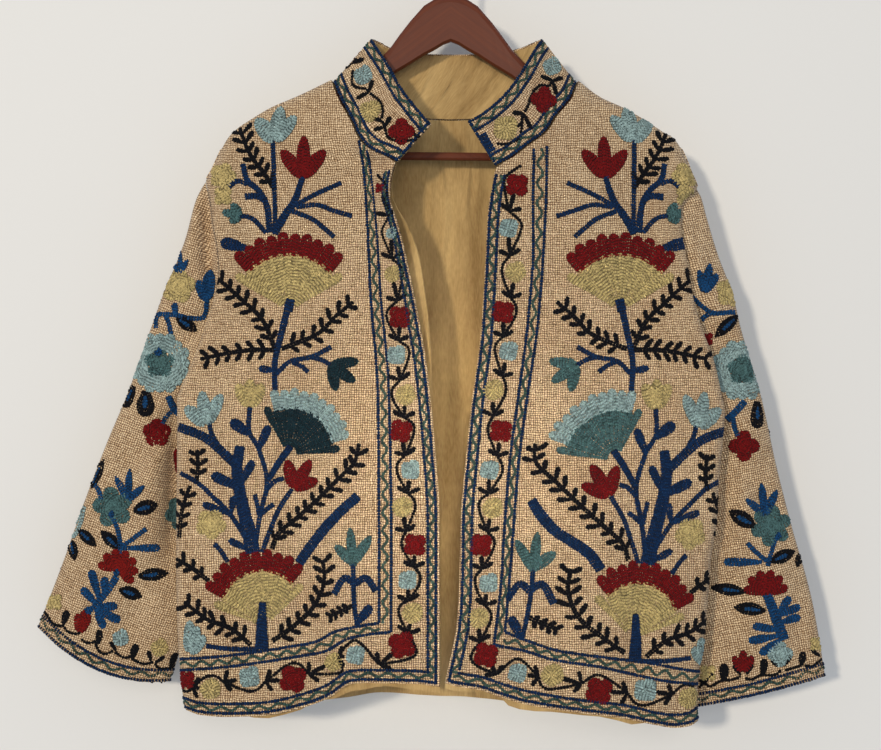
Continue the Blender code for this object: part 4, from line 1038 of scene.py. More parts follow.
def place(across: Array, down: Array, depth: Array) -> Array:
    """Point in metres of a place in the measuring frame with its depth."""
    spread = (VIEW_DISTANCE + depth - FRONT_DEPTH) / VIEW_DISTANCE
    x = VIEW_ACROSS - HANGER_ACROSS + (across - VIEW_ACROSS) * spread
    z = -(SEAT_ABOVE_FRAME + VIEW_DOWN + (down - VIEW_DOWN) * spread)
    return np.stack(np.broadcast_arrays(x, depth, z), axis=-1) / 1000


def crease(folds: Sequence[FoldRow], across: Array, down: Array) -> Array:
    """Depth that a list of soft ridges and troughs adds: a ridge comes towards the viewer.

    Args:
        folds: The ridges and troughs.
        across: Places across, in mm.
        down: Places down, in mm.

    Returns:
        Depth to add at each place, in mm.
    """
    total = np.zeros(np.broadcast(across, down).shape)
    for fold in folds:
        run_across = fold.end_across - fold.across
        run_down = fold.end_down - fold.down
        length = np.hypot(run_across, run_down)
        along = ((across - fold.across) * run_across + (down - fold.down) * run_down) / length
        aside = ((across - fold.across) * run_down - (down - fold.down) * run_across) / length
        ends = np.clip(np.minimum(along, length - along) / (FOLD_END * length) + FOLD_END, 0, 1)
        fade = ends * ends * (3 - 2 * ends)
        total = total - fold.height * fade * np.exp(-((aside / fold.width) ** 2))
    return total


def rolled(face: Array, edge: Array, distance: Array, roll: Array) -> Array:
    """Depth of a face that rounds over to its edge within the roll."""
    part = 1 - np.clip(distance / roll, 0, 1)
    return edge + (face - edge) * np.sqrt(1 - part * part)


def patch(
    first: Callable, second: Callable, top: Callable, bottom: Callable, u: Array, v: Array
) -> Array:
    """Places of a four-sided panel between its two long edges, its top and its hem.

    Args:
        first: Places along the edge where u is 0.
        second: Places along the edge where u is 1.
        top: Places along the edge where v is 0.
        bottom: Places along the edge where v is 1.
        u: Steps across.
        v: Steps down.

    Returns:
        Grid of across and down, one row for each step down.
    """
    ends = (first(np.zeros(1)), second(np.zeros(1)), first(np.ones(1)), second(np.ones(1)))
    u = u[None, :, None]
    rows = v[:, None, None]
    near, far = first(v)[:, None], second(v)[:, None]
    high, low = top(u[0, :, 0])[None], bottom(u[0, :, 0])[None]
    corners = (1 - u) * (1 - rows) * ends[0] + u * (1 - rows) * ends[1]
    corners = corners + (1 - u) * rows * ends[2] + u * rows * ends[3]
    return (1 - u) * near + u * far + (1 - rows) * high + rows * low - corners


def unit(vectors: Array) -> Array:
    """Vectors of length 1."""
    length = np.linalg.norm(vectors, axis=-1, keepdims=True)
    return vectors / np.maximum(length, 1e-12)


def grid_normals(points: Array) -> Array:
    """Unit normals of a grid of points, from the runs along its rows and its columns."""
    down = np.gradient(points, axis=0)
    along = np.gradient(points, axis=1)
    return unit(np.cross(along, down))


def line_normals(points: Array, towards: Sequence[float]) -> Array:
    """Unit directions square to a line in the X-Z plane, on the side of one direction."""
    run = np.gradient(points, axis=0)
    square = unit(np.stack([-run[:, 2], np.zeros(len(run)), run[:, 0]], axis=-1))
    return square * np.where(square @ np.array(towards, float) < 0, -1, 1)[:, None]


def finer(steps: Sequence[float], times: int) -> Array:
    """Steps with each gap between two of them cut into a number of parts."""
    at = np.linspace(0, len(steps) - 1, (len(steps) - 1) * times + 1)
    return np.interp(at, np.arange(len(steps)), np.array(steps, float))


def run_length(points: Array, axis: int) -> Array:
    """Length along a grid's rows or columns up to each point, in the points' own unit."""
    steps = np.linalg.norm(np.diff(points, axis=axis), axis=-1)
    lead = np.zeros_like(np.take(steps, [0], axis=axis))
    return np.cumsum(np.concatenate([lead, steps], axis=axis), axis=axis)


def wrapped(grid: Array, around: bool) -> Array:
    """A grid with its first column again after its last, if it runs round a tube."""
    return np.concatenate([grid, grid[:, :1]], axis=1) if around else grid


def deepest(depth: Array, reach: int) -> Array:
    """Greatest depth within a number of grid points of each point."""
    for axis in (0, 1):
        padding = [(reach, reach) if axis == k else (0, 0) for k in (0, 1)]
        padded = np.pad(depth, padding, mode="edge")
        spots = np.arange(depth.shape[axis])
        depth = np.max([np.take(padded, spots + n, axis=axis) for n in range(2 * reach + 1)], axis=0)
    return depth


def ripple(across: Array, down: Array) -> Array:
    """Slight unevenness of a handloom cloth that hangs, in mm.

    Its waves have lengths, in mm, that share no common measure, so it never repeats.
    """
    first = np.sin(across / 17.0 + 1.3 * np.sin(down / 61.0)) * np.sin(down / 43.0 + 0.8)
    second = np.sin(across / 9.1 - down / 37.0 + 2.1) * np.sin(down / 23.0 + across / 71.0)
    return RIPPLE_FIRST * first + RIPPLE_SECOND * second


def edge_places(rows: Sequence, down: Array) -> Array:
    """Places on an upright edge, at these places down."""
    return np.stack([blend(rows, "across", down), down], axis=-1)


def shoulder_line(side: Side, part: Array) -> Array:
    """Places along the shoulder seam, from the neck to the sleeve's top."""
    down = np.linspace(side.outline[0].down, side.seam_down, SHOULDER_SAMPLES)
    across = blend(side.outline, "across", down)
    length = np.concatenate([[0], np.cumsum(np.hypot(np.diff(across), np.diff(down)))])
    return edge_places(side.outline, np.interp(part, length / length[-1], down))


def edge_down(side: Side, part: Array) -> Array:
    """Down of the outer edge's points: the armhole first, then the side seam to the hem."""
    armhole = side.seam_down + (ARMPIT_DOWN - side.seam_down) * part / ARMPIT_PART
    below = ARMPIT_DOWN + (side.hem_out - ARMPIT_DOWN) * (part - ARMPIT_PART) / (1 - ARMPIT_PART)
    return np.where(part < ARMPIT_PART, armhole, below)


def seam_place(side: Side, down: Array) -> tuple[Array, Array]:
    """Across and depth of the front's armhole and side seam, behind the fold of its side."""
    outer = blend(side.outline, "across", down)
    seam = blend(side.under, "seam", down)
    across = np.where((seam - outer) * side.inward > 0, seam, outer)
    return across, blend(side.under, "seam_depth", down)


def back_seam_place(side: Side, down: Array) -> tuple[Array, Array]:
    """Across and depth of the back's armhole and side seam."""
    across, _ = seam_place(side, down)
    across = across + side.inward * blend(side.under, "back_shift", down)
    return across, blend(side.under, "back_depth", down)


def under_depth(side: Side, across: Array, down: Array) -> Array:
    """Depth of the part of a front that folds back behind its side, seen from behind it."""
    outer = blend(side.outline, "across", down)
    seam, seam_depth = seam_place(side, down)
    width = np.maximum(np.abs(seam - outer), 0.5)
    part = np.clip((across - outer) * side.inward / width, 0, 1)
    edge = blend(side.depths, "edge", down)
    inside = ((across - outer) * side.inward > 0) & ((seam - across) * side.inward > -1)
    inside = inside & (np.abs(seam - outer) > 1)
    return np.where(inside, edge + (seam_depth - edge) * part**UNDER_POWER, NO_FOLD)


def front_depth(side: Side, across: Array, down: Array) -> Array:
    """Depth of a front panel's outside, over the part that faces the viewer."""
    inner = blend(side.opening, "across", down)
    outer = blend(side.outline, "across", down)
    width = np.maximum((inner - outer) * side.inward, 2)
    part = np.clip((inner - across) * side.inward / width, -0.1, 1)
    band = np.clip(blend(side.depths, "band_width", down) / width, *BAND_PARTS)
    knots = (np.zeros_like(band), band, np.full_like(band, MIDDLE_KNOT), np.ones_like(band))
    values = [blend(side.depths, name, down) for name in ("opening", "band", "middle", "side")]
    face = through(knots, values, part)
    distance = (across - outer) * side.inward
    away = np.clip(distance / FRONT_CALM, 0, 1)
    face = face + (crease(side.folds, across, down) + ripple(across, down)) * away
    return rolled(face, blend(side.depths, "edge", down), distance, blend(side.depths, "roll", down))


def front_places(side: Side, u: Array, v: Array) -> Array:
    """Places of a front panel's face, from its opening edge to its outline and down to its hem."""
    top = side.opening[0].down

    def opening(part: Array) -> Array:
        """Places along the opening edge."""
        return edge_places(side.opening, top + (side.hem_in - top) * part)

    def outline(part: Array) -> Array:
        """Places along the outer edge."""
        return edge_places(side.outline, edge_down(side, part))

    def hem(part: Array) -> Array:
        """Places along the hem."""
        first, last = opening(np.ones(1))[0], outline(np.ones(1))[0]
        across = first[0] + (last[0] - first[0]) * part
        down = blend(side.hem, "down", across)
        down = down + (first[1] - down[0]) * (1 - part) ** 4 if len(part) > 1 else down
        return np.stack([across, down], axis=-1)

    return patch(opening, outline, lambda part: shoulder_line(side, part), hem, u, v)


def back_depth(across: Array, down: Array) -> Array:
    """Depth of the back panel's outside."""
    edges = []
    for side in (RIGHT, LEFT):
        seam, depth = back_seam_place(side, down)
        shoulder = blend(side.outline, "across", down)
        high = down < side.seam_down
        edges.append((np.where(high, shoulder, seam), np.where(high, SEAM_GAP / 2, depth)))
    (left, left_depth), (right, right_depth) = edges
    part = np.clip(np.abs(2 * (across - left) / np.maximum(right - left, 4) - 1), 0, 1)
    centre, middle, outer = (blend(BACK_ROWS, name, down) for name in ("centre", "middle", "side"))
    third = np.full_like(part, 1 / 3)
    knots = (0 * part, third, 2 * third, 3 * third)
    face = through(knots, (centre, (2 * centre + middle) / 3, middle, outer), part)
    nearest = np.minimum(across - left, right - across)
    uneven = crease(BACK_FOLDS, across, down) + BACK_RIPPLE * ripple(across, down)
    face = face + uneven * np.clip(nearest / BACK_CALM, 0, 1)
    edge = np.where(across - left < right - across, left_depth, right_depth)
    return rolled(face, edge, np.maximum(nearest, 0), blend(BACK_ROWS, "roll", down))


def back_places(u: Array, v: Array) -> Array:
    """Places of the back panel, from the viewer's left to the right and down to its hem."""

    def edge(side: Side) -> Callable:
        """Places along one outer edge, as a function of the part of its length."""

        def run(part: Array) -> Array:
            """Places at these parts of the edge."""
            down = edge_down(side, part)
            return np.stack([back_seam_place(side, down)[0], down], axis=-1)

        return run

    def high(part: Array) -> Array:
        """Places along the shoulders and the neck."""
        left = shoulder_line(RIGHT, np.clip(1 - part / SHOULDER_PART, 0, 1))
        right = shoulder_line(LEFT, np.clip((part - 1) / SHOULDER_PART + 1, 0, 1))
        middle = (part - SHOULDER_PART) / (1 - 2 * SHOULDER_PART)
        across = BACK_NECK[0].across + (BACK_NECK[-1].across - BACK_NECK[0].across) * middle
        neck = np.stack([across, blend(BACK_NECK, "down", across)], axis=-1)
        inner = np.where((part > 1 - SHOULDER_PART - 1e-9)[:, None], right, neck)
        return np.where((part < SHOULDER_PART + 1e-9)[:, None], left, inner)

    def low(part: Array) -> Array:
        """Places along the hem."""
        first, last = edge(RIGHT)(np.ones(1))[0], edge(LEFT)(np.ones(1))[0]
        across = first[0] + (last[0] - first[0]) * part
        return np.stack([across, blend(BACK_HEM, "down", across)], axis=-1)

    return patch(edge(RIGHT), edge(LEFT), high, low, u, v)


@dataclass
class Shell:
    """Closed thin piece of cloth between two grids of points, in metres."""

    outside: Array
    inside: Array
    weave: Array
    around: bool = False

    def faces(self) -> tuple[Array, Array]:
        """Four-sided faces of both sides and of the rims.

        Returns:
            Corner indices of each face, and the UV in metres of each corner.
        """
        rows, columns = self.outside.shape[:2]
        wrap = columns if self.around else columns - 1
        index = np.arange(rows * columns).reshape(rows, columns)
        i, j = (part.ravel() for part in np.meshgrid(np.arange(rows - 1), np.arange(wrap), indexing="ij"))
        k = (j + 1) % columns
        uv = self.weave
        corners = [np.stack([index[i, j], index[i + 1, j], index[i + 1, k], index[i, k]], 1)]
        places = [np.stack([uv[i, j], uv[i + 1, j], uv[i + 1, j + 1], uv[i, j + 1]], 1)]
        corners.append(corners[0][:, ::-1] + rows * columns)
        places.append(places[0][:, ::-1])

        def rim(first: Array, second: Array, first_uv: Array, second_uv: Array) -> None:
            """Adds the faces between the two sides along one edge."""
            far = rows * columns
            corners.append(np.stack([first, second, second + far, first + far], 1))
            places.append(np.stack([first_uv, second_uv, second_uv, first_uv], 1))

        j = np.arange(wrap)
        k = (j + 1) % columns
        rim(index[0, j], index[0, k], uv[0, j], uv[0, j + 1])
        rim(index[-1, k], index[-1, j], uv[-1, j + 1], uv[-1, j])
        if not self.around:
            i = np.arange(rows - 1)
            rim(index[i + 1, 0], index[i, 0], uv[i + 1, 0], uv[i, 0])
            rim(index[i, -1], index[i + 1, -1], uv[i, -1], uv[i + 1, -1])
        return np.concatenate(corners), np.concatenate(places)

    def build(self, name: str, material: bpy.types.Material) -> bpy.types.Object:
        """Makes the mesh object, with its faces turned outwards.

        Args:
            name: Name of the piece.
            material: Its finish.

        Returns:
            The piece.
        """
        corners, places = self.faces()
        points = np.concatenate([self.outside.reshape(-1, 3), self.inside.reshape(-1, 3)])
        a, b, c, d = (points[corners[:, n]] for n in range(4))
        volume = np.sum(np.cross(b - a, c - a) * a) + np.sum(np.cross(c - a, d - a) * a)
        if volume < 0:
            corners, places = corners[:, ::-1], places[:, ::-1]
        mesh = bpy.data.meshes.new(name)
        mesh.from_pydata(points.tolist(), [], corners.tolist())
        layer = mesh.uv_layers.new(name="weave")
        layer.data.foreach_set("uv", places.astype(np.float32).ravel())
        welded = bmesh.new()
        welded.from_mesh(mesh)
        bmesh.ops.remove_doubles(welded, verts=welded.verts, dist=2e-6)
        bmesh.ops.dissolve_degenerate(welded, edges=welded.edges, dist=1e-6)
        welded.to_mesh(mesh)
        welded.free()
        mesh.materials.append(material)
        mesh.shade_smooth()
        mesh.set_sharp_from_angle(angle=radians(SMOOTH_ANGLE))
        return linked(name, mesh)

    def area(self) -> float:
        """Area of the outside, in square metres."""
        grid = wrapped(self.outside, self.around)
        first = grid[1:, :-1] - grid[:-1, :-1]
        second = grid[:-1, 1:] - grid[:-1, :-1]
        third = grid[:-1, 1:] - grid[1:, 1:]
        fourth = grid[1:, :-1] - grid[1:, 1:]
        halves = np.linalg.norm(np.cross(first, second), axis=-1)
        halves = halves + np.linalg.norm(np.cross(third, fourth), axis=-1)
        return float(halves.sum() / 2)

    def cloth_face(self) -> "ClothFace":
        """The outside, ready to take stitches."""
        return ClothFace(self.outside, unit(self.outside - self.inside), self.around)


def lengthened(back: Array, longer: Array, v: Array) -> Array:
    """A lining's grid, drawn out at its hem.

    Args:
        back: Grid of its places, in metres.
        longer: How much longer each column gets, in mm.
        v: Steps down.

    Returns:
        The longer grid.
    """
    grow = np.clip((v - PEEK_START) / PEEK_LENGTH, 0, 1)[:, None, None]
    return back + unit(back[-1] - back[-3])[None] * (longer[:, None] / 1000)[None] * grow


def hang(piece: bpy.types.Object, slot: str, *nodes: str) -> None:
    """Puts a piece on the one body, in the place of the solids that it stands for."""
    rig.ride(piece, "root")
    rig.slot(piece, slot)
    if nodes:
        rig.replaces(piece, *nodes)


@dataclass
class FrontPanel:
    """One front with its lining: the face, and the strip that folds back to the side seam."""

    side: Side
    finer_across: int = 4
    finer_down: int = 4
    shell: Shell | None = None
    lining: Shell | None = None

    def shape(self) -> None:
        """Works out the panel's and its lining's two faces."""
        side = self.side
        u, v = finer(FACE_STEPS, self.finer_across), finer(ROWS, self.finer_down)
        seen = front_places(side, u, v)
        face = place(seen[..., 0], seen[..., 1], front_depth(side, seen[..., 0], seen[..., 1]))
        face[1:, -1] = place(
            seen[1:, -1, 0] + side.inward * SEAM_GAP / 2,
            seen[1:, -1, 1],
            blend(side.depths, "edge", seen[1:, -1, 1]),
        )
        inward = -grid_normals(face) * side.inward
        inward[0] = line_normals(face[0], (0, 0, -1))
        edge = seen[:, -1, 1]
        turn = blend(side.under, "turn", edge) * pi
        open_seam = np.clip((edge - side.seam_down) / SHOULDER_TURN, 0, 1)[:, None]

        def turned(angle: Array) -> Array:
            """Inward direction of the fold, at this angle round it."""
            direction = np.stack([side.inward * np.sin(angle), np.cos(angle), 0 * angle], axis=-1)
            start = np.array([side.inward, 0, SEAM_RISE])
            return unit(direction * open_seam + start * (1 - open_seam))

        inward[:, -1] = turned(turn / 2)
        seam, seam_depth = seam_place(side, edge)
        width = np.abs(seam - seen[:, -1, 0])
        folded = (width > LEAST_FOLD)[:, None]
        strips, strip_inward = [], []
        for step in finer((0, *UNDER_STEPS), 3)[1:]:
            across = seen[:, -1, 0] + side.inward * (width * step - SIDE_GAP * (step == 1))
            depth = seam_depth if step == 1 else under_depth(side, across, edge)
            strips.append(np.where(folded, place(across, edge, depth), face[:, -1]))
            direction = turned(turn * (0.5 + 0.5 * min(1, step * TURN_RATE)))
            strip_inward.append(np.where(folded, direction, inward[:, -1]))
        outside = np.concatenate([face, np.stack(strips, axis=1)], axis=1)
        directions = np.concatenate([inward, np.stack(strip_inward, axis=1)], axis=1)
        weave = np.empty((*outside.shape[:2], 2))
        weave[..., 0] = seen[:, :1, 0] / 1000 - side.inward * run_length(outside, 1)
        weave[..., 1] = -np.concatenate([seen[..., 1], np.repeat(edge[:, None], len(strips), 1)], 1) / 1000
        self.shell = Shell(outside, outside + directions * CLOTH / 1000, weave)
        self.lining = self._lining(seen, face, inward, u, v)

    def _lining(self, seen: Array, face: Array, inward: Array, u: Array, v: Array) -> Shell:
        """The lining against the front's inside, with the edge and hem that show beyond it.

        Args:
            seen: Grid of across and down.
            face: Grid of the cloth's outside, in metres.
            inward: Inward directions of that grid.
            u: Steps across.
            v: Steps down.

        Returns:
            The lining's shell.
        """
        side = self.side
        rows = slice(LINING_TOP_ROW * self.finer_down, None, 2)
        columns = slice(0, LINING_COLUMNS * self.finer_across - self.finer_across + 1, 2)
        back = face + inward * (CLOTH + LINING_GAP) / 1000
        back[..., 1] = deepest(back[..., 1], 3)
        back = back[rows, columns]
        across, down = seen[rows, columns, 0], seen[rows, columns, 1]
        spill = blend(side.spill, "across", down[:, :1])
        loose = np.clip(1 - u[columns] / SPILL_PART, 0, 1)[None]
        move = place(across + side.inward * spill * loose, down, 0.0) - place(across, down, 0.0)
        move[..., 1] = np.maximum(spill, 0) * loose * SPILL_DROP / 1000
        back = back + move
        back = lengthened(back, blend(side.peek, "down", across[-1]), v[rows])
        weave = np.stack([across / 1000, -down / 1000], axis=-1)
        return Shell(back, back + inward[rows, columns] * LINING / 1000, weave)


@dataclass
class BackPanel:
    """The back in one piece from side seam to side seam, with its lining."""

    finer_across: int = 4
    finer_down: int = 4
    shell: Shell | None = None
    lining: Shell | None = None

    def shape(self) -> None:
        """Works out the panel's and its lining's two faces."""
        half = SHOULDER_STEPS + NECK_STEPS
        coarse = half + (0.5,) + tuple(1 - step for step in reversed(half))
        u, v = finer(coarse, self.finer_across), finer(ROWS, self.finer_down)
        seen = back_places(u, v)
        across, down = seen[..., 0].copy(), seen[..., 1].copy()
        depth = back_depth(across, down)
        for column, side in ((0, RIGHT), (-1, LEFT)):
            depth[1:, column] = back_seam_place(side, down[1:, column])[1]
        outside = place(across, down, depth)
        inward = grid_normals(outside)
        inward = inward * np.where(inward[..., 1:2] > 0, -1, 1)
        top = line_normals(outside[0], (0, 0, -1))
        shoulder = (u < SHOULDER_PART + SHOULDER_SPARE) | (u > 1 - SHOULDER_PART - SHOULDER_SPARE)
        inward[0] = np.where(shoulder[:, None], top, inward[0])
        for column, side in ((0, RIGHT), (-1, LEFT)):
            part = np.clip((down[:, column] - side.seam_down) / SHOULDER_TURN, 0, 1)[:, None]
            start = np.array([side.inward, 0, SEAM_RISE])
            inward[:, column] = unit(start * (1 - part) + np.array([0, -1, 0]) * part)
        weave = np.stack([-across / 1000, -down / 1000], axis=-1)
        self.shell = Shell(outside, outside + inward * CLOTH / 1000, weave)
        self.lining = self._lining(u, v, across, down, outside, inward)

    def _lining(
        self, u: Array, v: Array, across: Array, down: Array, outside: Array, inward: Array
    ) -> Shell:
        """The back's lining, with the soft folds that show through the opening.

        Args:
            u: Steps across.
            v: Steps down.
            across: Places across, in mm.
            down: Places down, in mm.
            outside: Grid of the cloth's outside, in metres.
            inward: Inward directions of that grid.

        Returns:
            The lining's shell.
        """
        back = outside + inward * (CLOTH + LINING_GAP) / 1000
        grown = np.clip((down - FOLDS_START) / FOLDS_GROW, 0, 1)
        bulge = crease(LINING_FOLDS, across, down) * grown
        back[..., 1] -= np.abs(bulge) / 1000
        back = lengthened(back, blend(LINING_HEM, "down", across[-1]) - down[-1], v)
        shoulder = (np.abs(u - 0.5) > 0.5 - SHOULDER_PART + SHOULDER_SPARE)[:, None]
        last = LINING_TOP_ROW * self.finer_down
        inward = inward.copy()
        for row in range(self.finer_down, last + 1):
            part = (row - self.finer_down) / last
            under = back[last] * (1 - part) + back[last + self.finer_down] * part
            under_normal = inward[last] * (1 - part) + inward[last + self.finer_down] * part
            back[row] = np.where(shoulder, under, back[row])
            inward[row] = np.where(shoulder, under_normal, inward[row])
        # At the neck the lining starts right under the collar's seam.
        first = self.finer_down
        back[first] = np.where(shoulder, back[first], back[0] * (1 - NECK_TUCK) + back[first] * NECK_TUCK)
        inset = LINING_SIDE_COLUMNS * self.finer_across
        kept = (slice(self.finer_down, None, 2), slice(inset, -inset, 1))
        weave = np.stack([across / 1000, -down / 1000], axis=-1)
        return Shell(back[kept], (back + inward * LINING / 1000)[kept], weave[kept])


@dataclass
class Sleeve:
    """One sleeve: an open tube from the armhole to the cuff."""

    side: Side
    finer_round: int = 3
    finer_along: int = 5
    shell: Shell | None = None

    def ring(self, length: float, part: Array, back: bool) -> tuple[Array, Array, Array]:
        """Points of one half of a ring, by the part of the way from its top to its underside.

        Args:
            length: Part of the sleeve's length.
            part: Parts of the way round the half.
            back: True for the half behind.

        Returns:
            Across, down and depth of the points, in mm.
        """
        if length == 0:
            return self.armhole(part, back)
        side = self.side
        outer_down = side.sleeve_outer[0].down
        outer_down = outer_down + (side.sleeve_outer[-1].down - outer_down) * length
        inner_down = ARMPIT_DOWN + (side.sleeve_inner[-1].down - ARMPIT_DOWN) * length
        outer = np.array([blend(side.sleeve_outer, "across", outer_down), outer_down])
        inner = np.array([blend(side.sleeve_inner, "across", inner_down), inner_down])
        seen = outer + (inner - outer) * part[:, None]
        bow = blend(side.sleeve_rows, "bow", length) * 4 * part * (1 - part)
        seen = seen + bow[:, None] * np.array([-BOW_ACROSS * side.inward, BOW_DOWN])
        armhole = side.seam_down + (ARMPIT_DOWN - side.seam_down) * part
        edge = (back_seam_place if back else seam_place)(side, armhole)[0]
        straight = side.sleeve_outer[0].across * (1 - part) + side.sleeve_inner[0].across * part
        seen[:, 0] += (edge - straight) * np.clip(1 - length / ARMHOLE_REACH, 0, 1) ** 2
        middle = blend(side.sleeve_rows, "outer_depth", length) * (1 - part)
        middle = middle + blend(side.sleeve_rows, "inner_depth", length) * part
        half = blend(side.sleeve_rows, "half_depth", length)
        half = half * (1 - np.abs(2 * part - 1) ** RING_POWER) ** (1 / RING_POWER)
        folds = crease(side.sleeve_folds, seen[:, 0], seen[:, 1])
        folds = (folds + SLEEVE_RIPPLE * ripple(seen[:, 0], seen[:, 1])) * np.clip(half / SLEEVE_CALM, 0, 1)
        front = middle - half + folds
        seam, _ = seam_place(side, seen[:, 1])
        clear = SLEEVE_CLEAR + SLEEVE_SPREAD * np.abs(seam - seen[:, 0])
        front = np.maximum(front, under_depth(side, seen[:, 0], seen[:, 1]) + clear)
        if not back:
            return seen[:, 0], seen[:, 1], front
        behind = np.maximum(middle + half - BACK_FOLD_PART * folds, front + LEAST_HOLLOW * half)
        return seen[:, 0], seen[:, 1], behind

    def armhole(self, part: Array, back: bool) -> tuple[Array, Array, Array]:
        """Points of the first ring, a seam's gap from the armhole."""
        side = self.side
        down = side.seam_down + (ARMPIT_DOWN - side.seam_down) * part
        if back:
            across, depth = back_seam_place(side, down)
            gap = SLEEVE_BACK_GAP + BACK_SHIFT_GAP * np.abs(blend(side.under, "back_shift", down))
            return across - side.inward * gap, down, depth
        across, depth = seam_place(side, down)
        turn = blend(side.under, "turn", down) * pi / 2
        across = across - side.inward * (SEAM_GAP * np.cos(turn) + SLEEVE_FRONT_GAP * np.sin(turn))
        return across, down, depth + SLEEVE_FRONT_GAP * np.sin(turn)

    def shape(self) -> None:
        """Works out the tube's two faces."""
        part = finer(ARMHOLE_STEPS, self.finer_round)
        outside, inside = [], []
        for length in finer(SLEEVE_STEPS, self.finer_along):
            girth = SLEEVE_GIRTH + (CUFF_GIRTH - SLEEVE_GIRTH) * length
            narrow = (part * (girth - 2 * INNER_INSET) + INNER_INSET) / girth
            halves = [place(*self.ring(length, part, back)) for back in (False, True)]
            inner = [place(*self.ring(length, narrow, back)) for back in (False, True)]
            gap = inner[1] - inner[0]
            distance = np.maximum(np.linalg.norm(gap, axis=-1, keepdims=True), 1e-9)
            move = gap / distance * np.minimum(CLOTH / 1000, MOST_WALL * distance)
            inner = [inner[0] + move, inner[1] - move]
            halves[1][0] = halves[0][0] = (halves[0][0] + halves[1][0]) / 2
            halves[1][-1] = halves[0][-1] = (halves[0][-1] + halves[1][-1]) / 2
            outside.append(np.concatenate([halves[0], halves[1][-2:0:-1]]))
            tips = [(inner[0][i] + inner[1][i]) / 2 for i in (0, -1)]
            inner[0][0], inner[0][-1] = tips
            inside.append(np.concatenate([inner[0], inner[1][-2:0:-1]]))
        tube = np.array(outside)
        closed = wrapped(tube, around=True)
        axis = unit(tube[-1].mean(axis=0) - tube[0].mean(axis=0))
        along = closed @ axis
        steps = np.diff(closed, axis=1)
        steps = steps - (steps @ axis)[..., None] * axis
        girth = np.zeros(along.shape)
        girth[:, 1:] = np.cumsum(np.linalg.norm(steps, axis=-1), axis=1)
        weave = np.stack([self.side.inward * girth, -along], axis=-1)
        self.shell = Shell(tube, np.array(inside), weave, around=True)


@dataclass
class Collar:
    """Stand collar: the outer band and its gathered lining."""

    columns_front: int = 41
    columns_back: int = 70
    rows: int = 17
    lining_rows: int = 9
    shell: Shell | None = None
    lining: Shell | None = None

    def columns(self) -> tuple[Array, Array]:
        """Neck and top points of the band, from the viewer's left end round the back."""
        neck, top = [], []

        def add(rows: Sequence, at: Array, across: Array, down: Array, depth: Array) -> None:
            """Adds the columns of one run of the neck seam."""
            neck.append(place(across, down, depth))
            names = ("top_across", "top_down", "top_depth")
            top.append(place(*(blend(rows, name, at) for name in names)))

        for side, order in ((RIGHT, -1), (None, 1), (LEFT, 1)):
            if side is None:
                at = np.linspace(BACK_COLLAR[0].neck, BACK_COLLAR[-1].neck, self.columns_back)[1:-1]
                down = blend(BACK_NECK, "down", at)
                add(BACK_COLLAR, at, at, down, back_depth(at, down))
                continue
            at = np.linspace(side.collar[0].neck, side.collar[-1].neck, self.columns_front)[::order]
            across = blend(side.opening, "across", at)
            add(side.collar, at, across, at, front_depth(side, across, at))
        return np.concatenate(neck), np.concatenate(top)

    def shape(self) -> None:
        """Works out the band's and its lining's two faces."""
        neck, top = self.columns()
        rise = top - neck
        length = np.linalg.norm(rise, axis=-1, keepdims=True) * 1000
        grid = self._rows(neck, rise, length, self.rows)
        inward = self._inward(grid)
        self.shell = Shell(grid, grid + inward * COLLAR_CLOTH / 1000, self._weave(grid))
        grid = self._rows(neck, rise, length, self.lining_rows)
        inward = self._inward(grid)
        start = grid + inward * (COLLAR_CLOTH + COLLAR_GAP) / 1000
        low, high = LINING_NECK_INSET / length, LINING_INSET / length
        first, last = start[0].copy(), start[-1].copy()
        start[0] = first * (1 - low) + last * low
        start[-1] = last * (1 - high) + first * high
        along = np.arange(start.shape[1])
        pleats = 0.5 + 0.3 * np.sin(along * 1.35 + 0.9 * np.sin(along / 5.0))
        pleats = pleats + 0.2 * np.sin(along * 0.61 + 1.0)
        from_middle = np.abs(along - (len(along) - 1) / 2)
        fade = np.clip((self.columns_back / 2 + PLEATS_PAST - from_middle) / PLEATS_FADE, 0, 1)
        thick = LINING + PLEAT_RISE * PLEAT_DEPTH * fade * np.clip(pleats, 0, 1)
        weave = np.stack([run_length(start, 1), run_length(start, 0)], axis=-1)
        # The inner face carries the gathers; the face against the collar stays smooth.
        self.lining = Shell(start, start + inward * thick[None, :, None] / 1000, weave)

    def _rows(self, neck: Array, rise: Array, length: Array, count: int) -> Array:
        """Grid of the band, from just above the neck seam to its top edge."""
        steps = np.linspace(0, 1, count)
        return np.array([neck + rise * (COLLAR_SEAM / length * (1 - s) + s) for s in steps])

    def _weave(self, grid: Array) -> Array:
        """The weave's own directions, square to each other and level with the middle row."""
        centre = grid[len(grid) // 2]
        level = unit(np.gradient(centre, axis=0))
        offset = grid - centre
        slide = np.sum(offset * level, axis=-1)
        above = np.linalg.norm(offset - slide[..., None] * level, axis=-1)
        above = above * np.sign(np.arange(len(grid)) - len(grid) // 2)[:, None]
        return np.stack([run_length(centre[None], 1) + slide, above], axis=-1)

    def _inward(self, grid: Array) -> Array:
        """Directions towards the neck."""
        inward = -grid_normals(grid)
        middle = grid.shape[1] // 2
        return -inward if inward[2, middle, 1] > 0 else inward


class View(Enum):
    """How a drawn stitch line reaches the cloth."""

    FRONT = "along the viewer's line of sight"
    BEHIND = "straight forward, from behind"


@dataclass(frozen=True)
class Wool:
    """Dyed yarn: its colour and how unevenly it took the dye."""

    colour: str
    mottle: float


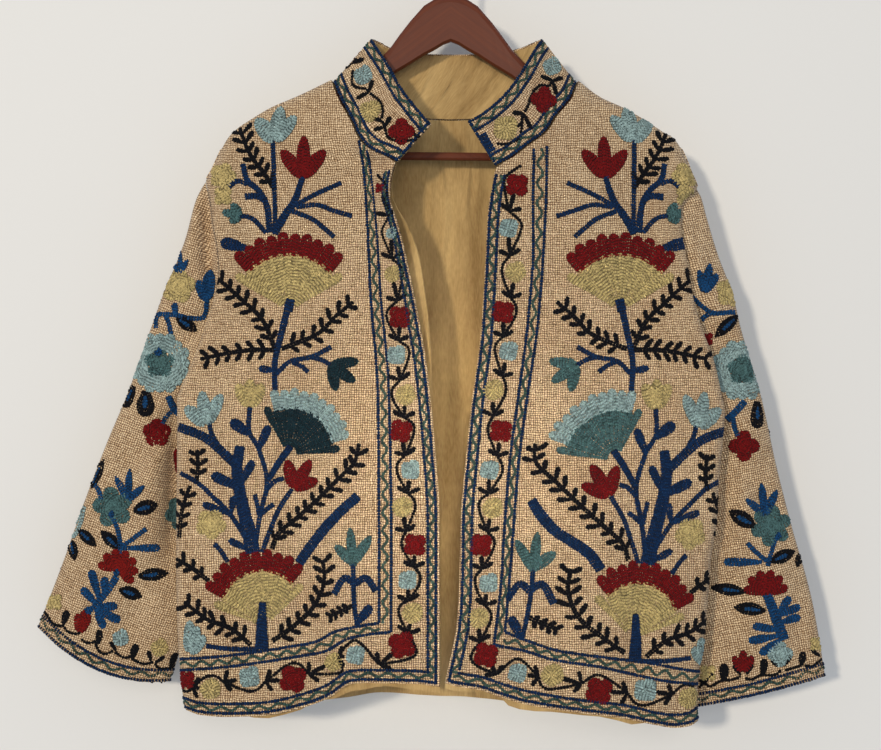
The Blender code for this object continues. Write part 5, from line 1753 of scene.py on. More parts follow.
class Thread(Enum):
    """The wools of the needlework."""

    NAVY = Wool("#0D284A", 0.18)
    INDIGO = Wool("#12406A", 0.18)
    BLACK = Wool("#0B0B10", 0.12)
    RED = Wool("#6C0E0F", 0.14)
    SCARLET = Wool("#76140F", 0.14)
    PALE = Wool("#8DA3A0", 0.2)
    TEAL = Wool("#476564", 0.20)
    DEEP_TEAL = Wool("#142A31", 0.18)
    GREEN = Wool("#3F554B", 0.18)
    OLIVE = Wool("#BBA66E", 0.18)


NAVY, INDIGO, BLACK, RED, SCARLET, PALE, TEAL, DEEP_TEAL, GREEN, OLIVE = Thread


class Outline(Enum):
    """Outline of a filled petal, from its base to its tip."""

    ROUND = "rounded at both ends"
    POINTED = "pointed at both ends"
    WEDGE = "widening to a rounded top"
    SCALLOP = "even, with a rounded top"
    FLAME = "rounded at its base and drawn to a point"

    def half(self, s: Array, length: float, width: float) -> Array:
        """Half width at each part of the length.

        Args:
            s: Parts of the length.
            length: The petal's length, in mm.
            width: Its greatest width, in mm.

        Returns:
            Half widths, in mm.
        """
        half = width / 2
        cap = min(half / length, 0.5)
        tip = np.sqrt(np.clip(1 - np.clip((s - 1 + cap) / cap, 0, 1) ** 2, 0, 1))
        if self is Outline.POINTED:
            return half * np.sin(pi * np.clip(s, 0, 1)) ** 0.75
        if self is Outline.WEDGE:
            return half * tip * np.clip(s, 0, 1)
        if self is Outline.SCALLOP:
            return half * tip
        if self is Outline.FLAME:
            foot = np.sqrt(np.clip(1 - (1 - np.clip(s / 0.3, 0, 1)) ** 2, 0, 1))
            return half * foot * (1 - np.clip((s - 0.5) / 0.5, 0, 1) ** 2) ** 0.6
        return half * tip * np.clip(0.45 + 1.1 * s, 0, 1)


def smooth(points: Sequence[Flat]) -> Array:
    """Curve through points in the measuring frame, sampled finely."""
    knots = np.array(points, float)
    if len(knots) == 2:
        steps = max(2, int(np.linalg.norm(knots[1] - knots[0]) / SAMPLE_STEP) + 1)
        return knots[0] + (knots[1] - knots[0]) * np.linspace(0, 1, steps)[:, None]
    around = np.concatenate([2 * knots[:1] - knots[1:2], knots, 2 * knots[-1:] - knots[-2:-1]])
    parts = []
    for i in range(len(around) - 3):
        a, b, c, d = around[i : i + 4]
        steps = max(2, int(np.linalg.norm(c - b) / SAMPLE_STEP) + 1)
        t = np.linspace(0, 1, steps, endpoint=False)[:, None]
        bend = 2 * b + (c - a) * t + (2 * a - 5 * b + 4 * c - d) * t**2 + (3 * b - a - 3 * c + d) * t**3
        parts.append(bend / 2)
    return np.concatenate([*parts, knots[-1:]])


def beside(path: Array, distance: Array | float) -> Array:
    """Path moved sideways, to the right of its run, by a distance that may vary."""
    run = np.gradient(path, axis=0)
    run = run / np.maximum(np.linalg.norm(run, axis=1, keepdims=True), 1e-9)
    return path + np.stack([-run[:, 1], run[:, 0]], axis=1) * np.reshape(distance, (-1, 1))


def sampled(at: Array, length: Array, values: Array) -> Array:
    """Rows of a table of numbers that is known at some lengths, at others."""
    return np.stack([np.interp(at, length, column) for column in values.T], axis=-1)


def turn(angle: float) -> Array:
    """Direction at an angle in degrees, clockwise from straight up."""
    return np.array([sin(radians(angle)), -cos(radians(angle))])


def even(first: Sequence[Flat], second: Sequence[Flat], count: int = 560) -> tuple[Array, Array, Array]:
    """Two smooth lines, evenly sampled, and the place on the second nearest each one on the first."""
    lines = []
    for points in (first, second):
        path = smooth(points)
        length = run_length(path, 0)
        lines.append(sampled(np.linspace(0, length[-1], count), length, path))
    apart = np.linalg.norm(lines[0][:, None] - lines[1][None], axis=-1)
    return lines[0], lines[1], lines[1][np.argmin(apart, axis=1)]


@dataclass
class ClothFace:
    """The outside of a cloth piece, where stitches meet it."""

    grid: Array
    outward: Array
    around: bool

    def __post_init__(self) -> None:
        """Prepares the search for where a line meets the cloth."""
        rows, columns = self.grid.shape[:2]
        index = wrapped(np.arange(rows * columns).reshape(rows, columns), self.around)
        quads = np.stack([index[:-1, :-1], index[1:, :-1], index[1:, 1:], index[:-1, 1:]], axis=-1)
        self.tree = BVHTree.FromPolygons(self.grid.reshape(-1, 3).tolist(), quads.reshape(-1, 4).tolist())

    def meet(self, flat: Array, view: View) -> tuple[Array, Array, Array]:
        """Places where drawn points reach the cloth.

        Args:
            flat: Across and down of the points, in mm.
            view: How the points reach the cloth.

        Returns:
            Places in metres, outward directions, and which points reach it.
        """
        places, outward = np.zeros((len(flat), 3)), np.zeros((len(flat), 3))
        met = np.zeros(len(flat), bool)
        depth = FRONT_DEPTH if view is View.FRONT else REAR_DEPTH
        marks = place(flat[:, 0], flat[:, 1], np.full(len(flat), depth))
        eye = place(np.array(VIEW_ACROSS), np.array(VIEW_DOWN), np.array(FRONT_DEPTH))
        eye = eye - np.array([0, VIEW_DISTANCE / 1000, 0])
        for i, mark in enumerate(marks):
            if view is View.FRONT:
                start, along = eye, unit(mark - eye)
            else:
                start, along = mark + np.array([0, 0.5, 0]), np.array([0.0, -1.0, 0.0])
            hit, normal, _, _ = self.tree.ray_cast(start.tolist(), along.tolist())
            if hit is None:
                continue
            places[i], outward[i], met[i] = hit, normal, True
            if np.dot(outward[i], along) > 0:
                outward[i] = -outward[i]
        return places, outward, met

    def beside_edge(self, edge: str, distance: Array, u: Array) -> tuple[Array, Array]:
        """Places at a distance along the cloth from its lower or upper edge.

        Args:
            edge: "low" for the last row of the grid, "high" for the first.
            distance: Distances from the edge, in mm.
            u: Parts of the way along the edge.

        Returns:
            Places in metres, and outward directions.
        """
        grid, outward = (wrapped(values, self.around) for values in (self.grid, self.outward))
        if edge == "low":
            grid, outward = grid[::-1], outward[::-1]
        column = u * (grid.shape[1] - 1)
        low = np.clip(column.astype(int), 0, grid.shape[1] - 2)
        part = (column - low)[None, :, None]
        lines = grid[:, low] * (1 - part) + grid[:, low + 1] * part
        normals = outward[:, low] * (1 - part) + outward[:, low + 1] * part
        lengths = run_length(lines, 0) * 1000
        places, facing = np.zeros((len(u), 3)), np.zeros((len(u), 3))
        rows = np.arange(len(lengths))
        for i in range(len(u)):
            row = np.interp(distance[i], lengths[:, i], rows)
            places[i], facing[i] = sampled(row, rows, lines[:, i]), sampled(row, rows, normals[:, i])
        return places, unit(facing)


@dataclass
class Needlework:
    """Chain-stitch rows on one piece of cloth, drawn in the measuring frame."""

    face: ClothFace
    draw: Callable[[Array], Array] = lambda path: path
    view: View = View.FRONT
    seed: int = 1
    stitches: list = field(default_factory=list)

    def __post_init__(self) -> None:
        """Starts the draws that make each stitch a little different."""
        self.random = np.random.default_rng(self.seed)

    def lay(
        self, places: Array, outward: Array, thread: Thread, lift: float = 0.0, full: float = LINE_FULL
    ) -> None:
        """Lays one row of stitches along places on the cloth.

        Args:
            places: Places in metres.
            outward: Outward directions there.
            thread: The wool.
            lift: Height above the cloth, in mm, where the row lies on other rows.
            full: How full its loops are: more than 1 where rows close up to fill an area.
        """
        if len(places) < 2:
            return
        length = run_length(places, 0) * 1000
        if length[-1] < LEAST_ROW:
            return
        count = max(1, round(length[-1] / STITCH_LENGTH))
        at = np.linspace(0, length[-1], count + 1)
        at[1:-1] += self.random.uniform(-UNEVEN_STEP, UNEVEN_STEP) * length[-1] / count
        ends = sampled(at, length, places)
        normal = unit(sampled((at[1:] + at[:-1]) / 2, length, outward))
        along = ends[1:] - ends[:-1]
        centre = (ends[1:] + ends[:-1]) / 2 + normal * lift / 1000
        centre = centre + self.random.normal(0, UNEVEN_PLACE / 1000, centre.shape)
        size = np.linalg.norm(along, axis=1) * STITCH_OVERLAP
        shade = 1 + self.random.normal(0, thread.value.mottle, (count, 1))
        colour = np.clip(np.array(linear(thread.value.colour)[:3]) * np.clip(shade, *SHADE_LIMITS), 0, 1)
        plump = full * self.random.uniform(1 - UNEVEN_WIDTH, 1 + UNEVEN_WIDTH, count)
        self.stitches.append((centre, unit(along), normal, size, plump, colour))

    def row(self, path: Array, thread: Thread, lift: float = 0.0, full: float = LINE_FULL) -> None:
        """Lays one row along a drawn path, in the stretches that reach the cloth."""
        places, outward, met = self.face.meet(self.draw(path), self.view)
        jump = np.linalg.norm(np.diff(places, axis=0), axis=1) * 1000 > SURFACE_JUMP
        broken = ~met[1:] | ~met[:-1] | jump
        start = 0
        for i in range(1, len(path) + 1):
            if i == len(path) or broken[i - 1]:
                if met[start]:
                    self.lay(places[start:i], outward[start:i], thread, lift, full)
                start = i

    def line(
        self,
        points: Sequence[Flat],
        thread: Thread,
        width: float = STITCH_WIDTH,
        end_width: float | None = None,
        lift: float = 0.0,
    ) -> None:
        """Lays a stem or line of rows side by side.

        Args:
            points: Places that it runs through.
            thread: The wool.
            width: Its width at the start, in mm.
            end_width: Its width at the end, or None for the same.
            lift: Height above the cloth, in mm.
        """
        path = smooth(points)
        end_width = width if end_width is None else end_width
        count = max(1, ceil(max(width, end_width) / ROW_GAP - SPARE_ROW))
        widths = np.linspace(width, end_width, len(path))
        for n in range(count):
            offset = (n - (count - 1) / 2) * widths / count
            self.row(beside(path, offset), thread, lift, FULL if count > 1 else LINE_FULL)

    def stems(self, thread: Thread, *paths: Sequence[Flat]) -> None:
        """Lays stems of the usual width."""
        for points in paths:
            self.line(points, thread, STEM_WIDTH)

    def petals(self, thread: Thread, *shapes: tuple[Flat, Flat, float]) -> None:
        """Fills plain petals or leaves, each given by its base, its tip and its width in mm."""
        for base, tip, width in shapes:
            self.petal(base, tip, width, thread)

    def leaf(self, base: Flat, tip: Flat, width: float) -> None:
        """Fills a pointed black leaf with an indigo heart."""
        self.petal(base, tip, width, BLACK, Outline.POINTED, INDIGO)

    def petal(
        self,
        base: Flat,
        tip: Flat,
        width: float,
        thread: Thread,
        outline: Outline = Outline.ROUND,
        heart: Thread | None = None,
        lift: float = 0.0,
    ) -> None:
        """Fills a petal or leaf with rows nested inside its outline.

        Args:
            base: Where it starts.
            tip: Where it ends.
            width: Its greatest width, in mm.
            thread: The wool.
            outline: Its outline.
            heart: Wool of a narrower petal laid on its middle, or None for none.
            lift: Height above the cloth, in mm.
        """
        base, tip = np.array(base, float), np.array(tip, float)
        length = float(np.linalg.norm(tip - base))
        axis = (tip - base) / length
        across = np.array([-axis[1], axis[0]])
        s = np.linspace(0, 1, max(8, int(length / SAMPLE_STEP) * 2))
        half = outline.half(s, length, width)
        loops = 0
        while True:
            inner = half - (loops + 0.5) * ROW_GAP
            kept = inner > LEAST_INSET
            if kept.sum() < 3:
                break
            left = base + axis * (length * s[kept])[:, None] - across * inner[kept][:, None]
            right = base + axis * (length * s[kept])[:, None] + across * inner[kept][:, None]
            self.row(np.concatenate([left, right[::-1]]), thread, lift, FULL)
            loops += 1
        nested = np.clip(np.floor((half - LEAST_INSET) / ROW_GAP + 0.5), 0, loops)
        bare = np.where(nested > 0, half - (nested - 0.5) * ROW_GAP > LEAST_BARE, half > 0.5)
        middle = base + axis * (length * s)[:, None]
        edges = np.flatnonzero(np.diff(np.concatenate([[0], bare.astype(int), [0]])))
        for start, stop in zip(edges[::2], edges[1::2]):
            self.row(middle[max(0, start - 1) : stop + 1], thread, lift, FULL)
        if heart is not None:
            low, high = base + axis * length * HEART_START, base + axis * length * HEART_END
            self.petal(low, high, width * HEART_WIDTH, heart, lift=HEART_LIFT)

    def flower(
        self,
        centre: Flat,
        radius: float,
        thread: Thread,
        lobes: int = 4,
        angle: float = 45.0,
        width: float = 1.0,
        lift: float = 0.0,
    ) -> None:
        """Works a flower of rounded petals round a centre.

        Args:
            centre: Its middle.
            radius: Its radius, in mm.
            thread: The wool.
            lobes: Number of petals.
            angle: Direction of the first petal, in degrees from straight up.
            width: Each petal's width, as a part of the radius.
            lift: Height above the cloth, in mm.
        """
        centre = np.array(centre, float)
        for n in range(lobes):
            way = turn(angle + 360 * n / lobes)
            foot = centre + way * PETAL_START
            self.petal(foot, centre + way * radius, radius * width, thread, lift=lift)
        if lobes > 3:
            self.disc(centre, radius * FLOWER_MIDDLE, thread, lift=lift)

    def disc(
        self,
        centre: Flat,
        radius: float,
        thread: Thread,
        lobes: int = 0,
        angle: float = 0.0,
        depth: float = 0.14,
        lift: float = 0.0,
    ) -> None:
        """Works a round flower as one row that winds in to its middle.

        Args:
            centre: Its middle.
            radius: Its radius, in mm.
            thread: The wool.
            lobes: Number of soft lobes of its outline.
            angle: Direction of the first lobe, in degrees from straight up.
            depth: How far the outline falls in between two lobes, as a part of the radius.
            lift: Height above the cloth, in mm.
        """
        turns = max(1.0, (radius - ROW_GAP / 2) / ROW_GAP)
        angles = np.linspace(0, 360 * turns, max(24, int(2 * pi * turns * radius / 2 / SAMPLE_STEP)))
        reach = np.maximum(radius - ROW_GAP / 2 - ROW_GAP * angles / 360, 0.2)
        if lobes:
            reach = reach * (1 - depth / 2 + depth / 2 * np.cos(np.radians(angles - angle) * lobes))
        ways = np.radians(angles)
        wound = np.stack([np.sin(ways), -np.cos(ways)], axis=1) * reach[:, None]
        self.row(np.array(centre) + wound, thread, lift, FULL)

    def tulip(
        self, base: Flat, tips: Sequence[tuple[float, float, float]], thread: Thread, body: float = 0.0
    ) -> None:
        """Works a flower of a few petals that rise from one base.

        Args:
            base: Where the petals meet.
            tips: Across, down and petal width of each tip.
            thread: The wool.
            body: Width of the part where they have grown together, in mm.
        """
        if body:
            middle = np.mean([tip[:2] for tip in tips], axis=0)
            self.petal(base, np.array(base) + (middle - np.array(base)) * TULIP_BODY, body, thread)
        for n, (across, down, width) in enumerate(tips):
            self.petal(base, (across, down), width, thread, Outline.FLAME, lift=TULIP_LIFT * n)

    def ferns(self, *paths: Sequence[Flat]) -> None:
        """Works ferns of the usual leaf."""
        for points in paths:
            self.fern(points)

    def fern(self, points: Sequence[Flat], leaf: float = 14.5, gap: float = 11.0) -> None:
        """Works a fern: a stem with pairs of short leaves that point to its tip.

        Args:
            points: Places along the stem, from its foot.
            leaf: Length of a leaf, in mm.
            gap: Distance between two pairs, in mm.
        """
        path = smooth(points)
        self.line(points, BLACK, FERN_STEM, FERN_STEM_END)
        length = run_length(path, 0)
        at = gap * FERN_START
        while at < length[-1] - 2:
            foot, ahead = sampled(np.array([at, at + 3]), length, path)
            way = degrees(atan2(ahead[0] - foot[0], foot[1] - ahead[1]))
            for hand in (-1, 1):
                size = leaf * (1 - FERN_UNEVEN_LEAF + FERN_UNEVEN_LEAF * self.random.uniform(-1, 1))
                angle = FERN_LEAF_ANGLE + FERN_UNEVEN_ANGLE * self.random.uniform(-1, 1)
                direction = turn(way + hand * angle)
                self.petal(foot + direction, foot + direction * size, FERN_LEAF_WIDTH, BLACK)
            at += gap * (1 + FERN_UNEVEN_GAP * self.random.uniform(-1, 1))

    def fan(
        self,
        pivot: Flat,
        angle: float,
        spread: float,
        inner: float,
        outer: float,
        count: int,
        body: Thread,
        brim: Thread,
        drop: float = 0.0,
    ) -> None:
        """Works a fan flower: columns that rise from a pivot, under a brim of scallops.

        Args:
            pivot: Where the columns meet.
            angle: Direction of its middle, in degrees from straight up.
            spread: Angle from its middle to the end of the brim, in degrees.
            inner: Radius where the brim starts, in mm.
            outer: Radius of the brim's outside, in mm.
            count: Number of scallops.
            body: Wool of the columns.
            brim: Wool of the brim.
            drop: How far below the pivot the columns start, in mm.
        """
        pivot = np.array(pivot, float)
        step = 2 * spread / count
        for n in range(count):
            way = turn(angle - spread + (n + 0.5) * step)
            wide = radians(step) * (inner + outer) / 2
            tip = pivot + way * (outer + BRIM_UNEVEN * (-1) ** n)
            self.petal(pivot + way * (inner - BRIM_DEPTH), tip, wide * BRIM_FULL, brim, Outline.SCALLOP)
        limit = spread * WING_SPREAD
        columns = round(2 * limit / step)
        for n in range(columns):
            way = (n - (columns - 1) / 2) * 2 * limit / columns
            past = np.clip((abs(way) - spread) / (limit - spread), 0, 1)
            wing = inner + (outer - inner) * WING_RISE * (1 - past**2)
            reach = inner + BRIM_DEPTH if abs(way) < spread else wing
            ray = turn(angle + way)
            wide = radians(2 * limit / columns) * reach
            foot = pivot + ray * FAN_FOOT - turn(angle) * drop
            self.petal(foot, pivot + ray * reach, wide, body, Outline.WEDGE)

    def strip(
        self, first: Sequence[Flat], second: Sequence[Flat], wave: float = 17.0, sway: float = WAVE_SWAY
    ) -> None:
        """Works a border: two navy lines with a green wave between them.

        Args:
            first: Places along one line.
            second: Places along the other.
            wave: Length of one wave, in mm.
            sway: How far it swings to each side, as a part of the lines' distance.
        """
        one, two, nearest = even(first, second)
        self.row(one, NAVY)
        self.row(two, NAVY)
        part = 0.5 + sway * np.sin(2 * pi * run_length(one, 0) / wave)
        self.row(one + (nearest - one) * part[:, None], GREEN, full=WAVE_FULL)

    def strip_round(
        self,
        edge: str,
        low: float,
        high: float,
        start: float = 0.0,
        inset: float = 0.0,
        centre: float = 0.5,
        sway: float = WAVE_SWAY,
    ) -> None:
        """Works a border along an edge of the cloth, also where it turns out of sight.

        Args:
            edge: "low" or "high", as in ClothFace.beside_edge.
            low: Distance of the line nearer the edge, in mm.
            high: Distance of the other line, in mm.
            start: Part of the edge where the nearer line starts.
            inset: How much further along the other line starts, as a part of the edge.
            centre: Where the wave runs between the lines, as a part of their distance.
            sway: How far it swings to each side, as a part of that distance.
        """
        for distance, first in ((low, start), (high, start + inset)):
            u = np.linspace(first, 1, EDGE_SAMPLES)
            self.lay(*self.face.beside_edge(edge, np.full(len(u), distance), u), NAVY)
        u = np.linspace(start + inset * WAVE_INSET, 1, WAVE_SAMPLES)
        level = low + (high - low) * centre
        middle, _ = self.face.beside_edge(edge, np.full(len(u), level), u)
        swing = level + sway * (high - low) * np.sin(2 * pi * run_length(middle, 0) * 1000 / EDGE_WAVE)
        self.lay(*self.face.beside_edge(edge, swing, u), GREEN, full=WAVE_FULL)

    def vine(self, flowers: Sequence[tuple[float, float, float, Thread]], hand: int = 1) -> None:
        """Works a vine that winds round its flowers, with a sprig under each that holds it.

        Args:
            flowers: Across, down, radius and wool of each flower, in order.
            hand: Side on which the stem passes the first flower.
        """
        spots = np.array([flower[:2] for flower in flowers], float)
        node = None
        for n, (_, _, radius, thread) in enumerate(flowers):
            here, after = spots[n], spots[min(n + 1, len(spots) - 1)]
            run = after - spots[max(n - 1, 0)]
            way = run / np.linalg.norm(run)
            side = np.array([-way[1], way[0]]) * hand * (-1) ** n
            turned = self.random.uniform(*BLOOM_ANGLES)
            if thread in (RED, SCARLET):
                self.flower(here, radius * BLOOM_FULL, thread, 4, turned, BLOOM_PETAL)
            else:
                lobes, depth = (4, 0.24) if thread is PALE else (5, 0.1)
                self.disc(here, radius * BLOOM_FULL, thread, lobes, turned, depth)
            start = here - way * (radius + VINE_START) if node is None else node
            clear = here + side * (radius + VINE_CLEAR)
            before, past = VINE_BENDS
            bend = [clear - way * radius * before, clear + way * radius * past]
            if n + 1 == len(flowers):
                self.line([start, *bend], BLACK)
                break
            reach = max(VINE_NODE * float(np.linalg.norm(after - here)), radius + VINE_NODE_CLEAR)
            node = here + way * reach + side * VINE_NODE_ASIDE
            self.line([start, *bend, node], BLACK)
            heading = degrees(atan2(here[0] - node[0], node[1] - here[1]))
            sprig = ((-SEPAL_ANGLE, SEPAL_LENGTH), (0, reach - radius + 1), (SEPAL_ANGLE, SEPAL_LENGTH))
            for angle, size in sprig:
                size = size * (1 + SEPAL_UNEVEN * self.random.uniform(-1, 1))
                self.petal(node, node + turn(heading + angle) * size, STEM_WIDTH, BLACK)

    def sew(self, name: str) -> bpy.types.Object:
        """The piece that holds every stitch laid so far."""
        columns = zip(*self.stitches)
        centre, along, normal, size, plump, colour = (np.concatenate(column) for column in columns)
        mesh = bpy.data.meshes.new(name + "_marks")
        mesh.from_pydata(centre.tolist(), [], [])
        for label, kind, values in (
            ("along", "FLOAT_VECTOR", along),
            ("outward", "FLOAT_VECTOR", normal),
            ("size", "FLOAT", size),
            ("plump", "FLOAT", plump),
            ("thread", "FLOAT_COLOR", np.concatenate([colour, np.ones((len(colour), 1))], axis=1)),
        ):
            layer = mesh.attributes.new(label, kind, "POINT")
            key = {"FLOAT_VECTOR": "vector", "FLOAT": "value", "FLOAT_COLOR": "color"}[kind]
            layer.data.foreach_set(key, np.asarray(values, np.float32).ravel())
        piece = ChainStitch().sew(linked(mesh.name, mesh), name)
        LOG.info("%s: %d stitches", name, len(centre))
        return piece


# What each stitch's mark says, beside its place and its wool's colour
MARKS = (("along", "FLOAT_VECTOR"), ("outward", "FLOAT_VECTOR"), ("size", "FLOAT"), ("plump", "FLOAT"))


class ChainStitch:
    """One loop of the chain, and the Geometry Nodes tree that repeats it."""

    def loop(self) -> bpy.types.Object:
        """The loop, of unit size: two plump strands that part and close again."""
        ring = [(-0.5, 0.0), (-0.2, -0.45), (0.3, -0.5), (0.52, 0.0), (0.3, 0.5), (-0.2, 0.45)]
        points = [(x, y, -0.12) for x, y in ring] + [(0.1, -0.27, 0.9), (0.1, 0.27, 0.9), (0.02, 0, 0.62)]
        right, left, dip = 6, 7, 8
        faces = [(0, 1, right), (1, 2, right), (2, 3, right), (3, dip, right), (dip, 0, right)]
        faces += [(0, dip, left), (dip, 3, left), (3, 4, left), (4, 5, left), (5, 0, left)]
        faces += [(0, 5, 1), (1, 5, 4), (1, 4, 2), (2, 4, 3)]
        mesh = bpy.data.meshes.new("wool_loop")
        mesh.from_pydata(points, [], faces)
        mesh.shade_smooth()
        # Height up the loop, by which the wool's finish paints shade at its foot and light on its top.
        rise = mesh.attributes.new("rise", "FLOAT", "POINT")
        rise.data.foreach_set("value", [0.0] * len(ring) + [1.0, 1.0, 0.35])
        return linked("wool_loop", mesh)

    def tree(self) -> bpy.types.NodeTree:
        """The tree: one loop on each mark, turned along its row and outwards."""
        group = bpy.data.node_groups.new("chain_stitch", "GeometryNodeTree")
        face = group.interface
        kinds = {"Marks": "Geometry", "Loop": "Object", "Wool": "Material"}
        for label, kind in (kinds | {"Width": "Float", "Height": "Float"}).items():
            face.new_socket(label, in_out="INPUT", socket_type="NodeSocket" + kind)
        face.new_socket("Stitches", in_out="OUTPUT", socket_type="NodeSocketGeometry")
        add = Recipe(group, "").add
        given = group.nodes.new("NodeGroupInput").outputs
        named = {}
        for label, kind in MARKS:
            named[label] = add("GeometryNodeInputNamedAttribute", {"Name": label}, data_type=kind)
        facing = add(
            "FunctionNodeAxesToRotation",
            {"Primary Axis": named["outward"], "Secondary Axis": named["along"]},
            primary_axis="Z",
            secondary_axis="X",
        )
        wide, high = (
            add("ShaderNodeMath", {0: given[length], 1: named["plump"]}, operation="MULTIPLY")
            for length in ("Width", "Height")
        )
        scale = add("ShaderNodeCombineXYZ", {"X": named["size"], "Y": wide, "Z": high})
        shape = add("GeometryNodeObjectInfo", {"Object": given["Loop"]}, output="Geometry")
        points = add("GeometryNodeMeshToPoints", {"Mesh": given["Marks"]})
        laid = add(
            "GeometryNodeInstanceOnPoints",
            {"Points": points, "Instance": shape, "Rotation": facing, "Scale": scale},
        )
        real = add("GeometryNodeRealizeInstances", {"Geometry": laid})
        dressed = add("GeometryNodeSetMaterial", {"Geometry": real, "Material": given["Wool"]})
        out = group.nodes.new("NodeGroupOutput")
        group.links.new(dressed, out.inputs["Stitches"])
        return group

    def sew(self, marks: bpy.types.Object, name: str) -> bpy.types.Object:
        """Turns marks, an object whose points say where each stitch lies, into one plain mesh of loops."""
        shape = self.loop()
        group = self.tree()
        modifier = marks.modifiers.new("chain_stitch", "NODES")
        modifier.node_group = group
        given = {"Loop": shape, "Wool": WOOL.material()}
        given |= {"Width": STITCH_WIDTH / 1000, "Height": STITCH_HEIGHT / 1000}
        for item in group.interface.items_tree:
            if item.name in given:
                modifier[item.identifier] = given[item.name]
        bpy.context.view_layer.update()
        graph = bpy.context.evaluated_depsgraph_get()
        mesh = bpy.data.meshes.new_from_object(
            marks.evaluated_get(graph), preserve_all_data_layers=True, depsgraph=graph
        )
        mesh.name = name
        for label, _ in MARKS:
            if label in mesh.attributes:
                mesh.attributes.remove(mesh.attributes[label])
        mesh.shade_smooth()
        piece = linked(name, mesh)
        marks.modifiers.clear()
        for spare in (marks, shape):
            bpy.data.objects.remove(spare)
        bpy.data.node_groups.remove(group)
        return piece


# How the viewer's right front differs from a mirror image of the left one, each by place down, in mm:
# the sum of both places across, how much lower it lies, and near the opening's foot how far aside and
# how much higher.
MIRROR_SUM = ((120, 300, 640), (907, 910, 897))
MIRROR_LOWER = ((380, 560), (0, 12))
MIRROR_ASIDE = ((580, 625), (14, 19))
MIRROR_HIGHER = ((580, 625), (6, -3))


def mirrored(path: Array) -> Array:
    """Carries a line drawn for the viewer's left front over to the right one."""
    line = np.interp(path[:, 1], *MIRROR_SUM)
    lower = np.interp(path[:, 1], *MIRROR_LOWER)
    across = line - path[:, 0]
    near = np.clip((600 - across) / 50, 0, 1) * np.clip((path[:, 1] - 400) / 60, 0, 1)
    aside = np.interp(path[:, 1], *MIRROR_ASIDE) * near
    higher = np.interp(path[:, 1], *MIRROR_HIGHER) * near
    return np.stack([across - aside, path[:, 1] + lower - higher], axis=1)


